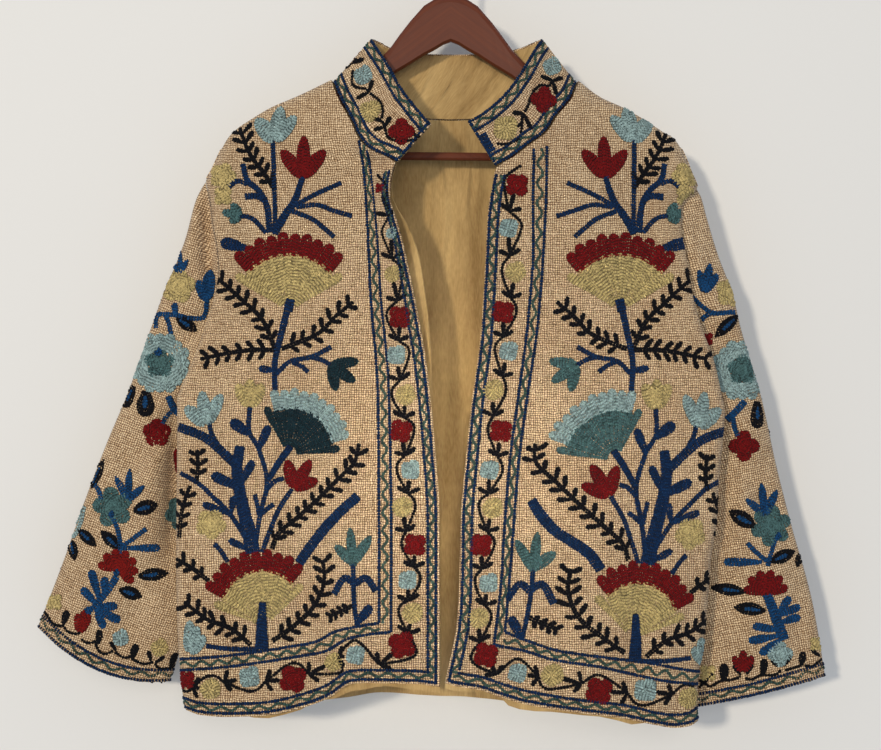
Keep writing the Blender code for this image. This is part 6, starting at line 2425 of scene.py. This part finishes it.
@dataclass
class Garden:
    """The flowering trees of one front, drawn for the viewer's left side."""

    needle: Needlework
    teal: Thread = TEAL
    bough: Sequence[Flat] = ((358, 496), (340, 512), (320, 534), (299, 563))

    def upper(self) -> None:
        """The flowers above the first fan, and the fan."""
        n = self.needle
        n.tulip((275, 141), ((256, 119, 17), (296, 116, 14), (281, 107, 15)), PALE, 22)
        n.stems(NAVY, [(273, 139), (274, 175), (275, 215), (275, 234)])
        n.fern([(275, 190), (263, 172), (251, 156), (243, 138), (240, 128)], 15.5, 9.5)
        n.tulip((303, 177), ((281, 150, 14), (325, 150, 14), (304, 136, 13)), RED, 23)
        n.line([(303, 176), (295, 200), (287, 212), (274, 233)], NAVY, 4.4, 8.6)
        n.stems(
            NAVY, [(294, 206), (318, 193), (341, 183)],
            [(296, 207), (317, 205), (335, 211), (352, 216)],
            [(292, 211), (312, 219), (325, 229), (334, 237)],
        )
        n.line([(270, 233), (267, 207), (259, 191), (247, 180), (243, 164)], NAVY, 6.5, 4.4)
        n.stems(NAVY, [(247, 184), (237, 181), (229, 187)])
        n.line([(264, 200), (256, 196), (245, 197)], NAVY, 4.4, 6.5)
        n.stems(NAVY, [(266, 233), (253, 219), (238, 215)])
        n.tulip((240, 216), ((222, 212, 9), (232, 203, 9), (230, 222, 9)), TEAL)
        n.petal((246, 248), (221, 242), 12, NAVY)
        n.flower((223, 176), 13, OLIVE, 5, 20)
        n.flower((223, 196), 10, OLIVE, 4, 45)
        n.fan((289, 311), 0, 47, 56, 78, 10, OLIVE, RED)

    def middle(self) -> None:
        """The ferns under the first fan, and the second fan above its tree."""
        n = self.needle
        n.line([(291, 299), (288, 311)], NAVY, 8.6, lift=1.0)
        n.line([(287, 311), (281, 335), (275, 361), (275, 390)], NAVY, 6.5, 4.4)
        n.ferns(
            [(275, 349), (263, 321), (243, 301), (229, 288), (218, 279)],
            [(275, 350), (251, 350), (229, 353), (201, 359)],
            [(281, 349), (299, 342), (319, 333), (335, 317), (353, 302)],
        )
        n.stems(
            NAVY, [(276, 374), (291, 361), (311, 357), (331, 347)],
            [(311, 357), (322, 360), (330, 365)], [(292, 362), (301, 366), (308, 372)],
        )
        n.petal((274, 371), (259, 368), 7, NAVY)
        n.tulip((331, 365), ((359, 361, 11), (336, 391, 11), (355, 382, 11)), self.teal)
        n.tulip((250, 406), ((237, 384, 14), (263, 384, 14), (250, 379, 13)), OLIVE)
        n.tulip((206, 424), ((185, 407, 14), (222, 394, 13), (202, 391, 13)), PALE)
        n.stems(NAVY, [(209, 421), (211, 432), (217, 444)])
        n.line([(178, 427), (200, 435), (216, 446), (235, 464)], NAVY, 8.6)
        n.fan((290, 451), 29, 49, 43, 62, 10, self.teal, PALE, 4)
        n.line([(291, 446), (280, 461), (268, 480)], NAVY, 6.5, 4.4, lift=1.0)

    def lower(self) -> None:
        """The big tree, its ferns and flowers."""
        n = self.needle
        n.line([(240, 446), (237, 472), (242, 503), (249, 532), (253, 553)], NAVY, 8.6, 15.0)
        n.petals(NAVY, ((241, 484), (253, 461), 8), ((240, 488), (212, 475), 10))
        n.stems(NAVY, [(250, 407), (249, 431), (259, 450), (267, 482), (260, 515), (255, 548)])
        n.petals(NAVY, ((249, 434), (231, 421), 11), ((258, 450), (269, 426), 8.5))
        n.stems(NAVY, [(284, 478), (275, 481), (267, 489)])
        n.tulip((294, 488), ((287, 460, 13), (311, 460, 12), (318, 480, 12)), RED)
        n.stems(NAVY, [(292, 489), (279, 509), (271, 528), (262, 552)])
        n.line([(255, 494), (257, 504), (259, 515)], NAVY, 4.0)
        n.stems(
            NAVY, [(274, 504), (267, 509), (259, 516)],
            [(180, 473), (198, 483), (214, 498), (230, 514), (247, 540)],
        )
        n.petals(NAVY, ((229, 514), (203, 504), 7), ((231, 513), (234, 496), 7))
        n.fern([(196, 484), (198, 467), (197, 450)], 12.5, 10)
        n.fern([(179, 538), (182, 510), (190, 486)], 13, 11)
        n.flower((211, 524), 15, OLIVE, 5, 30)
        n.fern([(272, 549), (279, 533), (298, 517), (318, 499), (340, 477), (354, 463), (359, 444)])
        n.line(self.bough, NAVY, 9.5)
        n.stems(NAVY, [(214, 544), (221, 551), (228, 562)])
        n.petal((247, 549), (229, 540), 7, NAVY)
        n.fan((262, 612), -12, 57, 41, 62, 10, OLIVE, RED, 14)

    def foot(self) -> None:
        """What grows above the hem's border."""
        n = self.needle
        n.line([(263, 602), (262, 626), (262, 649)], NAVY, 5.0, 13.6, lift=1.0)
        n.stems(NAVY, [(206, 646), (232, 649), (257, 649)])
        n.tulip((189, 652), ((190, 620, 12), (205, 636, 14), (198, 626, 13)), PALE)
        n.ferns(
            [(251, 645), (230, 628), (208, 620), (184, 602)],
            [(272, 641), (294, 626), (314, 606), (324, 582), (323, 560)],
        )
        n.fern([(209, 581), (192, 568), (177, 559)], 12.5, 10)
        n.tulip((353, 563), ((335, 545, 10), (371, 536, 10), (350, 528, 9)), TEAL)
        n.petal((353, 566), (352, 548), 14, TEAL)
        n.stems(NAVY, [(353, 562), (354, 600), (357, 625)])
        n.line([(353, 583), (344, 578), (334, 594)], NAVY, 6.5)
        n.line([(355, 584), (366, 578), (376, 591)], NAVY, 6.5)
        n.petal((357, 624), (371, 606), 9, NAVY)
        n.fern([(353, 606), (341, 611), (329, 617)], 8, 6)

    def work(self) -> None:
        """Works the whole side."""
        self.upper()
        self.middle()
        self.lower()
        self.foot()


RED_BLUE_OLIVE = (RED, PALE, OLIVE)


@dataclass
class Sewn:
    """Everything stitched on one part of the jacket, and the seed of its random draws."""

    part: FrontPanel | BackPanel | Sleeve | Collar
    seed: int

    def work(self) -> list[bpy.types.Object]:
        """Works it, as one piece or more."""
        raise NotImplementedError


class FrontNeedlework(Sewn):
    """Flowers, borders and vine of one front."""

    def work(self) -> list[bpy.types.Object]:
        """Works the front's garden, borders and vine."""
        side = self.part.side
        left = side is RIGHT
        needle = Needlework(self.part.shell.cloth_face(), seed=self.seed)
        garden = Garden(needle, DEEP_TEAL)
        if not left:
            needle.draw = mirrored
            bough = ((357, 498), (348, 512), (336, 525.5), (319, 536.5), (308, 545), (299, 558))
            garden = Garden(needle, TEAL, bough)
        garden.work()
        needle.draw = lambda path: path
        borders = self.left_borders if left else self.right_borders
        borders(needle)
        needle.strip_round("low", 3.6, 13.0, 0.012, 0.03)
        return [needle.sew(f"embroidery_{side.front}")]

    def edge_line(
        self, start: float, end: float, inset: float, top_inset: float | None = None
    ) -> list[Flat]:
        """Places a distance in from the opening edge, which may differ at the top."""
        side = self.part.side
        downs = np.linspace(start, end, 24)
        top_inset = inset if top_inset is None else top_inset
        across = blend(side.opening, "across", downs)
        across = across - side.inward * np.interp(downs, (220, 330), (top_inset, inset))
        return list(zip(across.tolist(), downs.tolist()))

    def left_borders(self, n: Needlework) -> None:
        """Borders and vine of the front on the viewer's left."""
        n.strip(self.edge_line(170, 682, 4.2), self.edge_line(172, 671, 12.2, 8.2), 17.0, EDGE_SWAY)
        outer = [(359, 140), (364, 173), (368, 236), (371, 300), (376, 360), (378, 400), (379, 500)]
        inner = [(367, 150), (371, 173), (377, 236), (381, 300), (387, 360), (389, 400), (391, 500)]
        outer_corner, inner_corner = (379, 623), (391, 632)
        n.strip([*outer, outer_corner], [*inner, inner_corner], 18.0)
        outer = [(355, 627), (334, 632), (318, 641), (300, 645), (256, 652), (215, 657), (180, 659)]
        inner = [(365, 635), (345, 640), (326, 651), (300, 656), (256, 663), (215, 668), (180, 670)]
        n.strip([outer_corner, *outer], [inner_corner, *inner])
        placket = (
            (380, 188, 5), (391, 233, 7), (392, 274, 9), (400, 317, 11), (396, 355, 11), (405, 395, 11),
            (401, 431, 11), (410, 470, 11), (402, 507, 11), (415, 545, 11), (407, 580, 11), (412, 613, 11),
            (402, 645, 13),
        )
        hem = (
            (355, 655, 11), (333, 662, 10), (293, 679, 13), (249, 677, 12), (210, 689, 11), (186, 680, 9),
        )
        self.grow(n, placket, hem)

    def right_borders(self, n: Needlework) -> None:
        """Borders and vine of the front on the viewer's right."""
        n.strip(self.edge_line(174, 681, 3.6), self.edge_line(174, 670, 12.0), 18.0, EDGE_SWAY)
        inner = [(534, 148), (533, 200), (533, 260), (530, 300), (526, 340), (520, 385), (510, 460)]
        outer = [(547, 146), (546, 200), (543, 260), (540, 300), (536, 340), (529, 385), (519, 460)]
        inner_corner, outer_corner = (494, 645), (505, 632)
        inner += [(504, 535), (501, 585), inner_corner]
        n.strip(inner, [*outer, (513, 535), (509, 585), outer_corner], 20.0)
        outer = [(525, 640), (555, 650), (585, 655), (625, 660), (655, 664), (680, 669), (702, 672)]
        inner = [(525, 651), (555, 660), (600, 667), (640, 676), (665, 681), (685, 683), (702, 684)]
        n.strip([outer_corner, *outer], [inner_corner, *inner])
        placket = (
            (517, 185, 11), (508, 228, 11), (515, 272, 11), (503, 312, 11), (508, 351, 11), (493, 390, 11),
            (501, 431, 11), (489, 470, 11), (492, 508, 11), (481, 545, 11), (488, 583, 11), (478, 618, 11),
            (486, 655, 12),
        )
        hem = ((517, 673, 11), (552, 675, 12), (599, 691, 13), (645, 690, 13), (688, 698, 11))
        self.grow(n, placket, hem)

    def grow(self, n: Needlework, placket: Sequence, hem: Sequence) -> None:
        """Works the vine down the placket and along the hem.

        Args:
            n: The needlework.
            placket: Across, down and radius of each flower, from the neck down.
            hem: The same along the hem, from the corner out.
        """
        down = [(*spot, RED_BLUE_OLIVE[i % 3]) for i, spot in enumerate(placket)]
        along = [(*spot, RED_BLUE_OLIVE[(i + 1) % 3]) for i, spot in enumerate(hem)]
        n.vine(down + along, -1 if self.part.side is RIGHT else 1)


class SleeveNeedlework(Sewn):
    """Flowers and cuff border of one sleeve, front and back."""

    def work(self) -> list[bpy.types.Object]:
        """Works the sleeve's flowers and its cuff."""
        left = self.part.side is RIGHT
        needle = Needlework(self.part.shell.cloth_face(), seed=self.seed)
        flowers = self.left_flowers if left else self.right_flowers
        flowers(needle)
        if left:
            needle.flower((182, 513), 17, TEAL, 6, 20, 0.8)
            needle.petal((177, 473), (176, 449), 5, RED)
        needle.view = View.BEHIND
        shift = -1 if left else 1
        needle.draw = lambda path: path + np.array([shift * 9.0, 14.0])
        flowers(needle)
        needle.draw = lambda path: path
        needle.strip_round("low", 1.6, 13.0, centre=0.58, sway=0.2)
        return [needle.sew(f"embroidery_{self.part.side.sleeve}")]

    def rosette(self, n: Needlework, centre: Flat, radius: float) -> None:
        """A big pale flower with a teal heart.

        Args:
            n: The needlework.
            centre: Its middle.
            radius: Its radius, in mm.
        """
        middle = np.array(centre, float)
        for k in range(16):
            way = turn(360 * k / 16)
            tip = middle + way * radius * (1.0 if k % 2 else 0.94)
            n.petal(middle + way * radius * 0.4, tip, radius * 0.4, PALE, Outline.SCALLOP)
        n.flower(centre, radius * 0.5, TEAL, 5, 0, 0.85, lift=0.3)

    def daisy(
        self, n: Needlework, base: Flat, middle: Flat, angles: Sequence[float], reach: float, thread: Thread
    ) -> None:
        """The upper petals of an open flower.

        Args:
            n: The needlework.
            base: Where the petals meet.
            middle: The middle of the circle of their tips.
            angles: Direction of each petal, in degrees from straight up.
            reach: Radius of that circle, in mm.
            thread: The wool.
        """
        for angle in angles:
            n.petal(base, np.array(middle) + turn(angle) * reach, DAISY_PETAL, thread)

    def left_flowers(self, n: Needlework) -> None:
        """Flowers of the sleeve on the viewer's left."""
        n.tulip((179, 273), ((181, 250, 5), (188, 260, 6), (174, 263, 5)), INDIGO)
        n.flower((178, 286), 17, OLIVE, 5, 10)
        n.tulip((206, 300), ((198, 280, 11), (211, 270, 14)), INDIGO)
        n.stems(INDIGO, [(158, 314), (175, 315), (190, 318), (204, 317), (207, 300)])
        n.petal((176, 315), (174, 303), 7, INDIGO)
        n.stems(INDIGO, [(159, 313), (156, 320), (156, 328)], [(166, 316), (169, 324), (171, 334)])
        n.leaf((176, 317), (197, 331), 12)
        self.rosette(n, (160, 363), 31)
        n.disc((158, 352), 5.0, INDIGO, lift=1.5)
        n.petal((134, 386), (125, 407), 10, BLACK, heart=INDIGO)
        n.petal((146, 391), (145, 416), 18, BLACK, heart=INDIGO)
        n.line([(168, 396), (172, 405), (178, 413), (186, 416)], INDIGO, 6.5)
        n.stems(INDIGO, [(176, 408), (168, 415), (162, 424)])
        n.flower((157, 433), 14, RED, 5, 0)
        n.leaf((91, 489), (104, 459), 9)
        n.stems(INDIGO, [(94, 484), (99, 491), (101, 500)])
        n.tulip((128, 500), ((115, 476, 7), (144, 486, 7), (130, 469, 7)), INDIGO)
        n.flower((113, 507), 20, TEAL, 5, -10, 0.8)
        n.disc((111, 514), 4.5, INDIGO, lift=1.2)
        n.stems(INDIGO, [(112, 516), (117, 527), (120, 542), (120, 554)])
        n.leaf((133, 511), (158, 504), 15)
        n.petal((84, 506), (71, 537), 11, PALE)
        n.leaf((78, 529), (96, 546), 11)
        n.leaf((71, 539), (75, 560), 10)
        n.leaf((120, 549), (101, 531), 12)
        n.stems(INDIGO, [(121, 547), (134, 538), (146, 529)], [(121, 548), (136, 548)])
        n.petal((130, 548), (160, 548), 7.5, INDIGO)
        self.daisy(n, (118, 569), (118, 569), range(-78, 133, 35), 20, SCARLET)
        n.disc((116, 573), 4.5, INDIGO, lift=1.2)
        n.leaf((138, 576), (168, 573), 13)
        n.leaf((119, 589), (142, 597), 13)
        n.line([(117, 576), (108, 590), (93, 609)], INDIGO, 6.5)
        n.petals(
            INDIGO, ((99, 598), (91, 570), 8), ((104, 594), (105, 577), 8), ((96, 604), (82, 588), 8),
            ((92, 608), (85, 613), 8.5), ((97, 607), (117, 606), 8.5), ((97, 609), (120, 621), 8.5),
            ((96, 609), (104, 628), 8.5),
        )
        stems = (
            [(44, 603), (45, 613), (48, 616), (52, 623), (59, 626), (64, 625)],
            [(64, 627), (68, 632), (76, 634), (80, 633)],
            [(81, 639), (87, 643), (95, 642), (96, 641)],
            [(95, 643), (99, 651), (105, 654), (113, 651)],
            [(115, 652), (120, 656), (127, 658), (130, 656)],
            [(131, 658), (138, 662), (146, 664), (153, 662)],
            [(155, 663), (157, 667), (163, 669), (171, 668)],
        )
        buds = (
            ((63, 624), (67.5, 611), 8), ((98, 644), (100, 630), 7), ((132, 658), (136.5, 644.5), 8),
            ((171, 668), (177, 653.5), 9), ((116, 651), (110, 641), 4), ((151, 661), (148, 650), 4),
            ((155, 663), (165, 656), 4),
        )
        self.garland(n, stems, buds)
        n.flower((54, 602), 9, OLIVE, 4)
        n.tulip((80, 632), ((77, 613, 9), (90, 614, 9), (84, 610, 8)), SCARLET)
        n.disc((120, 638), 10, PALE, 4, 30)
        n.disc((159, 648), 10.5, OLIVE, 4, 20)

    def right_flowers(self, n: Needlework) -> None:
        """Flowers of the sleeve on the viewer's right."""
        n.tulip((704, 292), ((699, 270, 8), (718, 274, 9), (710, 264, 9)), INDIGO)
        n.flower((731, 292), 15, OLIVE, 5, 10)
        n.stems(
            INDIGO, [(692, 297), (703, 307), (714, 313), (735, 312)],
            [(701, 320), (707, 315), (714, 313)],
        )
        n.leaf((738, 315), (715, 337), 12)
        n.flower((707, 339), 7, RED, 4)
        self.rosette(n, (742, 370), 31)
        n.petal((757, 401), (757, 428), 13, BLACK, heart=INDIGO)
        n.line([(745, 401), (738, 409), (731, 416), (727, 420)], INDIGO, 6.5)
        n.stems(INDIGO, [(733, 414), (734, 426), (738, 436)])
        n.flower((744, 446), 15, RED, 4, 0)
        n.tulip((765, 515), ((746, 499, 8), (777, 490, 8), (761, 483, 8)), INDIGO)
        n.flower((771, 526), 20, TEAL, 6, 10, 0.7)
        n.disc((777, 536), 4.5, INDIGO, lift=1.2)
        n.stems(INDIGO, [(776, 537), (772, 550), (768, 566)])
        n.leaf((756, 527), (729, 511), 15)
        n.stems(INDIGO, [(747, 543), (756, 552), (767, 561)])
        n.petal((762, 562), (724, 562), 8, INDIGO)
        n.leaf((770, 562), (795, 551), 13)
        n.petal((797, 567), (801, 551), 8, BLACK, Outline.POINTED)
        self.daisy(n, (766, 593), (766, 592), range(-82, 79, 32), 22, RED)
        n.leaf((746, 592), (711, 587), 12)
        n.leaf((766, 611), (734, 607), 13)
        n.line([(767, 594), (775, 615), (784, 640)], INDIGO, 8.6, 10.8)
        n.petals(
            INDIGO, ((779, 612), (790, 597), 8), ((780, 615), (800, 606), 8), ((781, 622), (800, 617), 8),
            ((779, 630), (753, 626), 8), ((778, 636), (749, 641), 8), ((780, 640), (760, 654), 8),
        )
        stems = (
            [(699, 688), (704.5, 682.7), (709.6, 686.7), (718.8, 681.6), (724, 680)],
            [(724, 680), (731, 680), (741, 676.5)],
            [(745, 678), (751.4, 679.6), (759.6, 675.5), (762.7, 674.5)],
            [(762.7, 674.5), (767.8, 675.5), (776, 674.5), (781, 670.4)],
            [(785, 670.4), (792, 668.4), (801.4, 665.3)],
            [(804.5, 665.8), (812.7, 666.3), (818.8, 661.2), (821.8, 659.2)],
        )
        buds = (
            ((724, 680.6), (724, 664), 9.7), ((762.7, 674.5), (764.7, 659), 8),
            ((801.4, 665.3), (803, 652), 7.5),
            ((704.5, 682.7), (699, 680), 4), ((704.5, 682.7), (713.7, 671.4), 4),
            ((741, 675.5), (733, 665), 4), ((746, 674.5), (753.5, 664), 4), ((778, 667), (770.8, 659), 4),
            ((784, 666), (791, 656), 4), ((819.8, 656), (810.6, 649), 4),
        )
        self.garland(n, stems, buds)
        n.tulip((743, 671.4), ((733, 656, 9), (753, 656, 9), (743, 650, 9)), RED)
        n.flower((780, 654), 12.5, PALE, 4, 0, 1.1)
        n.flower((708, 673), 9, OLIVE, 4)
        n.flower((817, 644), 8, OLIVE, 4)

    def garland(self, n: Needlework, stems: Sequence, buds: Sequence) -> None:
        """Garland of black stems and buds above the cuff.

        Args:
            n: The needlework.
            stems: Places along each stem.
            buds: Base, tip and width of each bud or sepal.
        """
        for points in stems:
            n.line(points, BLACK)
        n.petals(BLACK, *buds)


class CollarNeedlework(Sewn):
    """Borders, ends and vine of the collar."""

    def work(self) -> list[bpy.types.Object]:
        """Works the collar's two borders, its ends and its vine."""
        n = Needlework(self.part.shell.cloth_face(), seed=self.seed)
        n.strip_round("high", 1.2, 11.0)
        n.strip_round("low", 1.4, 11.5)
        for end in (0.0022, 0.9978):
            height = run_length(self.part.shell.outside, 0)[-1, 0 if end < 0.5 else -1] * 1000
            n.lay(*n.face.beside_edge("high", np.linspace(0.06, 0.94, 60) * height, np.full(60, end)), NAVY)
        self.left_end(n)
        self.right_end(n)
        n.view = View.BEHIND
        spots = (362, 382, 404, 427, 451, 475, 498, 520, 542)
        downs = [82.0 + 0.0022 * (across - 451) ** 2 * -1 for across in spots]
        n.vine([(*spot, 10, RED_BLUE_OLIVE[i % 3]) for i, spot in enumerate(zip(spots, downs))])
        return [n.sew("embroidery_collar")]

    def left_end(self, n: Needlework) -> None:
        """The collar's vine on the viewer's left."""
        n.disc((362.5, 75.4), 11.2, PALE, 4, 20)
        n.line([(353, 70), (352, 83.6), (358.3, 87.9), (365, 88.4), (368.5, 91.5)], BLACK)
        n.line([(370, 93), (379.3, 100.8), (382.7, 108.5), (382.2, 116.1), (379.3, 120.9)], BLACK)
        n.disc((369.8, 110.8), 12.8, OLIVE, 3, 60, 0.2)
        n.line([(382, 121), (385, 127.6), (386, 134), (390, 138.5), (397, 141), (406, 141)], BLACK)
        n.flower((401.5, 131.5), 13, RED, 4, 0, 1.05)
        n.petals(
            BLACK, ((352, 63.5), (344, 68.3), 4), ((352, 63.5), (357.3, 57.7), 3),
            ((352, 63.5), (364, 58.7), 5), ((368.8, 92.2), (372.6, 79.8), 4.5),
            ((368.8, 92.2), (356.4, 98.4), 4.5), ((383, 122), (373.6, 118), 4),
            ((384.5, 127), (390.8, 116.1), 4.5), ((384.5, 127), (373.6, 129.5), 4.5),
            ((411, 133), (421, 137.5), 4), ((406, 141), (418, 139), 3),
        )
        n.line([(427, 134), (419, 143.5), (407, 153)], NAVY, 8.6)

    def right_end(self, n: Needlework) -> None:
        """The collar's vine on the viewer's right."""
        n.disc((551.4, 66.4), 10.8, PALE, 4, 20)
        stem = [(552, 81), (549, 86.5), (541.9, 84.5), (536, 88.4), (531.3, 95), (528.5, 104.6)]
        n.line([*stem, (524.5, 112)], BLACK)
        n.flower((543.3, 100), 12.8, RED, 4, 8, 1.05, lift=0.7)
        n.disc((505, 128), 14.5, OLIVE, 4, 50, 0.16)
        n.line([(523.7, 113.3), (521.8, 119), (522, 126), (520.8, 133.4)], BLACK)
        n.line([(496.9, 143.4), (507.4, 143.9), (520.8, 138.1)], BLACK)
        n.petals(
            BLACK, ((552.9, 80.7), (540.4, 75.7), 4.5), ((552.9, 80.7), (562.9, 77.4), 4.5),
            ((552.9, 80.7), (556.5, 95), 4.5), ((523.7, 113.3), (512.2, 112.8), 5),
            ((523.7, 113.3), (531.3, 129.5), 4.5), ((522, 124), (516, 126), 4),
        )
        n.line([(481, 134), (486, 143), (491, 152)], NAVY, 10.7)


class BackNeedlework(Sewn):
    """What is stitched on the back, which the photograph doesn't show."""

    def work(self) -> list[bpy.types.Object]:
        """Works two gardens side by side, a middle tree and the hem's border."""
        face = self.part.shell.cloth_face()
        upper = Needlework(face, view=View.BEHIND, seed=self.seed)
        lower = Needlework(face, view=View.BEHIND, seed=self.seed + 1)
        views = (
            lambda path: path + np.array([24.0, 6.0]),
            lambda path: np.stack([878 - path[:, 0], path[:, 1] + 6.0], axis=1),
        )
        for draw in views:
            upper.draw = lower.draw = draw
            Garden(upper).upper()
            Garden(upper).middle()
            Garden(lower).lower()
            Garden(lower).foot()
        upper.draw = lower.draw = lambda path: path
        upper.fern([(451, 235), (451, 200), (451, 165), (451, 140)], 14, 11)
        upper.line([(451, 395), (451, 320), (451, 240)], NAVY, 6.5)
        upper.flower((451, 262), 20, PALE, 6, 0, 0.8)
        upper.ferns([(445, 345), (425, 328), (408, 305)], [(457, 345), (477, 328), (494, 305)])
        lower.fan((451, 520), 0, 50, 44, 64, 11, OLIVE, RED)
        lower.line([(451, 505), (451, 560), (451, 630)], NAVY, 6.5, 12.9)
        lower.ferns([(446, 615), (428, 590), (415, 560)], [(456, 615), (474, 590), (487, 560)])
        lower.strip_round("low", 3.6, 13.0)
        lower.strip_round("low", 44.0, 54.0)
        across = np.arange(256, 650, 37.0)
        downs = blend(BACK_HEM, "down", across) - 28
        spots = zip(across.tolist(), downs.tolist())
        lower.vine([(x, y, 11, RED_BLUE_OLIVE[i % 3]) for i, (x, y) in enumerate(spots)])
        return [upper.sew("embroidery_back_upper"), lower.sew("embroidery_back_lower")]


def dress_hanger(nodes: dict[str, bpy.types.Object]) -> None:
    """Gives the hanger's own solids their finishes."""
    for name, finish in (("hanger", WOOD), ("hanger_bar", WOOD), ("hanger_hook", STEEL)):
        for slot in nodes[name].material_slots:
            slot.material = finish.material()


class Cut(NamedTuple):
    """What a cloth was cut to: lengths in metres, its flat area in square metres."""

    width: float
    length: float
    area: float


CUTS = {
    "front_right": Cut(0.30, 0.64, 0.17),
    "front_left": Cut(0.30, 0.65, 0.17),
    "lining_front_right": Cut(0.27, 0.60, 0.128),
    "lining_front_left": Cut(0.27, 0.60, 0.128),
    "back": Cut(0.53, 0.64, 0.28),
    "lining_back": Cut(0.46, 0.60, 0.245),
    "sleeve_right": Cut(0.29, 0.47, 0.116),
    "sleeve_left": Cut(0.29, 0.47, 0.116),
    "collar": Cut(0.55, 0.07, 0.031),
    "collar_lining": Cut(0.53, 0.06, 0.028),
}


def dress(shell: Shell, node: str, slot: str, finish: Finish) -> bpy.types.Object:
    """Makes the cloth that stands for one of the frame's solids.

    Args:
        shell: Its shape.
        node: The solid's name.
        slot: Its slot.
        finish: Its material.

    Returns:
        The piece.
    """
    piece = shell.build(f"cloth_{node}", finish.material())
    hang(piece, slot, node)
    return piece


def cloth_sheet(piece: bpy.types.Object, shell: Shell, node: str, *sewn: bpy.types.Object) -> None:
    """Declares a hanging sheet of cloth, with the cut of its solid and the pieces sewn on it."""
    cut = CUTS[node]
    LOG.info("%s: %.4f m2 of outside, cut %.4f", piece.name, shell.area(), cut.area)
    flat = (cut.width, cut.length)
    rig.sheet(piece, flat=flat, held="hung", rests_on=["hanger"], area=cut.area, with_pieces=list(sewn))


def add_part(work: Sewn, node: str, lining: str = "") -> None:
    """Builds one part of the jacket: its cloth, its lining and its needlework.

    Args:
        work: The part's needlework, which knows the part.
        node: The solid that its cloth stands for.
        lining: The solid that its lining stands for, or nothing where it has none.
    """
    part = work.part
    part.shape()
    cloth = dress(part.shell, node, "cloth", CLOTH_FINISH)
    inner = dress(part.lining, lining, "lining", LINING_FINISH) if lining else None
    sewn = work.work()
    for piece in sewn:
        hang(piece, "cloth")
    cloth_sheet(cloth, part.shell, node, *sewn)
    if inner:
        cloth_sheet(inner, part.lining, lining)


def main(nodes: dict[str, bpy.types.Object]) -> None:
    """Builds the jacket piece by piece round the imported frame."""
    Studio().build()
    for seed, side in ((10, RIGHT), (11, LEFT)):
        add_part(FrontNeedlework(FrontPanel(side), seed), side.front, side.lining)
    add_part(BackNeedlework(BackPanel(), 20), "back", "lining_back")
    for seed, side in ((30, RIGHT), (31, LEFT)):
        add_part(SleeveNeedlework(Sleeve(side), seed), side.sleeve)
    add_part(CollarNeedlework(Collar(), 40), "collar", "collar_lining")
    dress_hanger(nodes)
    total = sum(len(face.vertices) - 2 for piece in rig.pieces() for face in piece.data.polygons)
    LOG.info("%d pieces, %d triangles", len(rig.pieces()), total)


if __name__ == "__main__":
    logging.basicConfig(level=logging.INFO, format="%(message)s")
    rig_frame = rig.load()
    cad_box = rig.bounds()
    main(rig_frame["nodes"])
    with open("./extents.json", "w") as sizes:
        json.dump({"cad": [list(c) for c in cad_box], "visual": [list(c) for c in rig.bounds()]}, sizes)
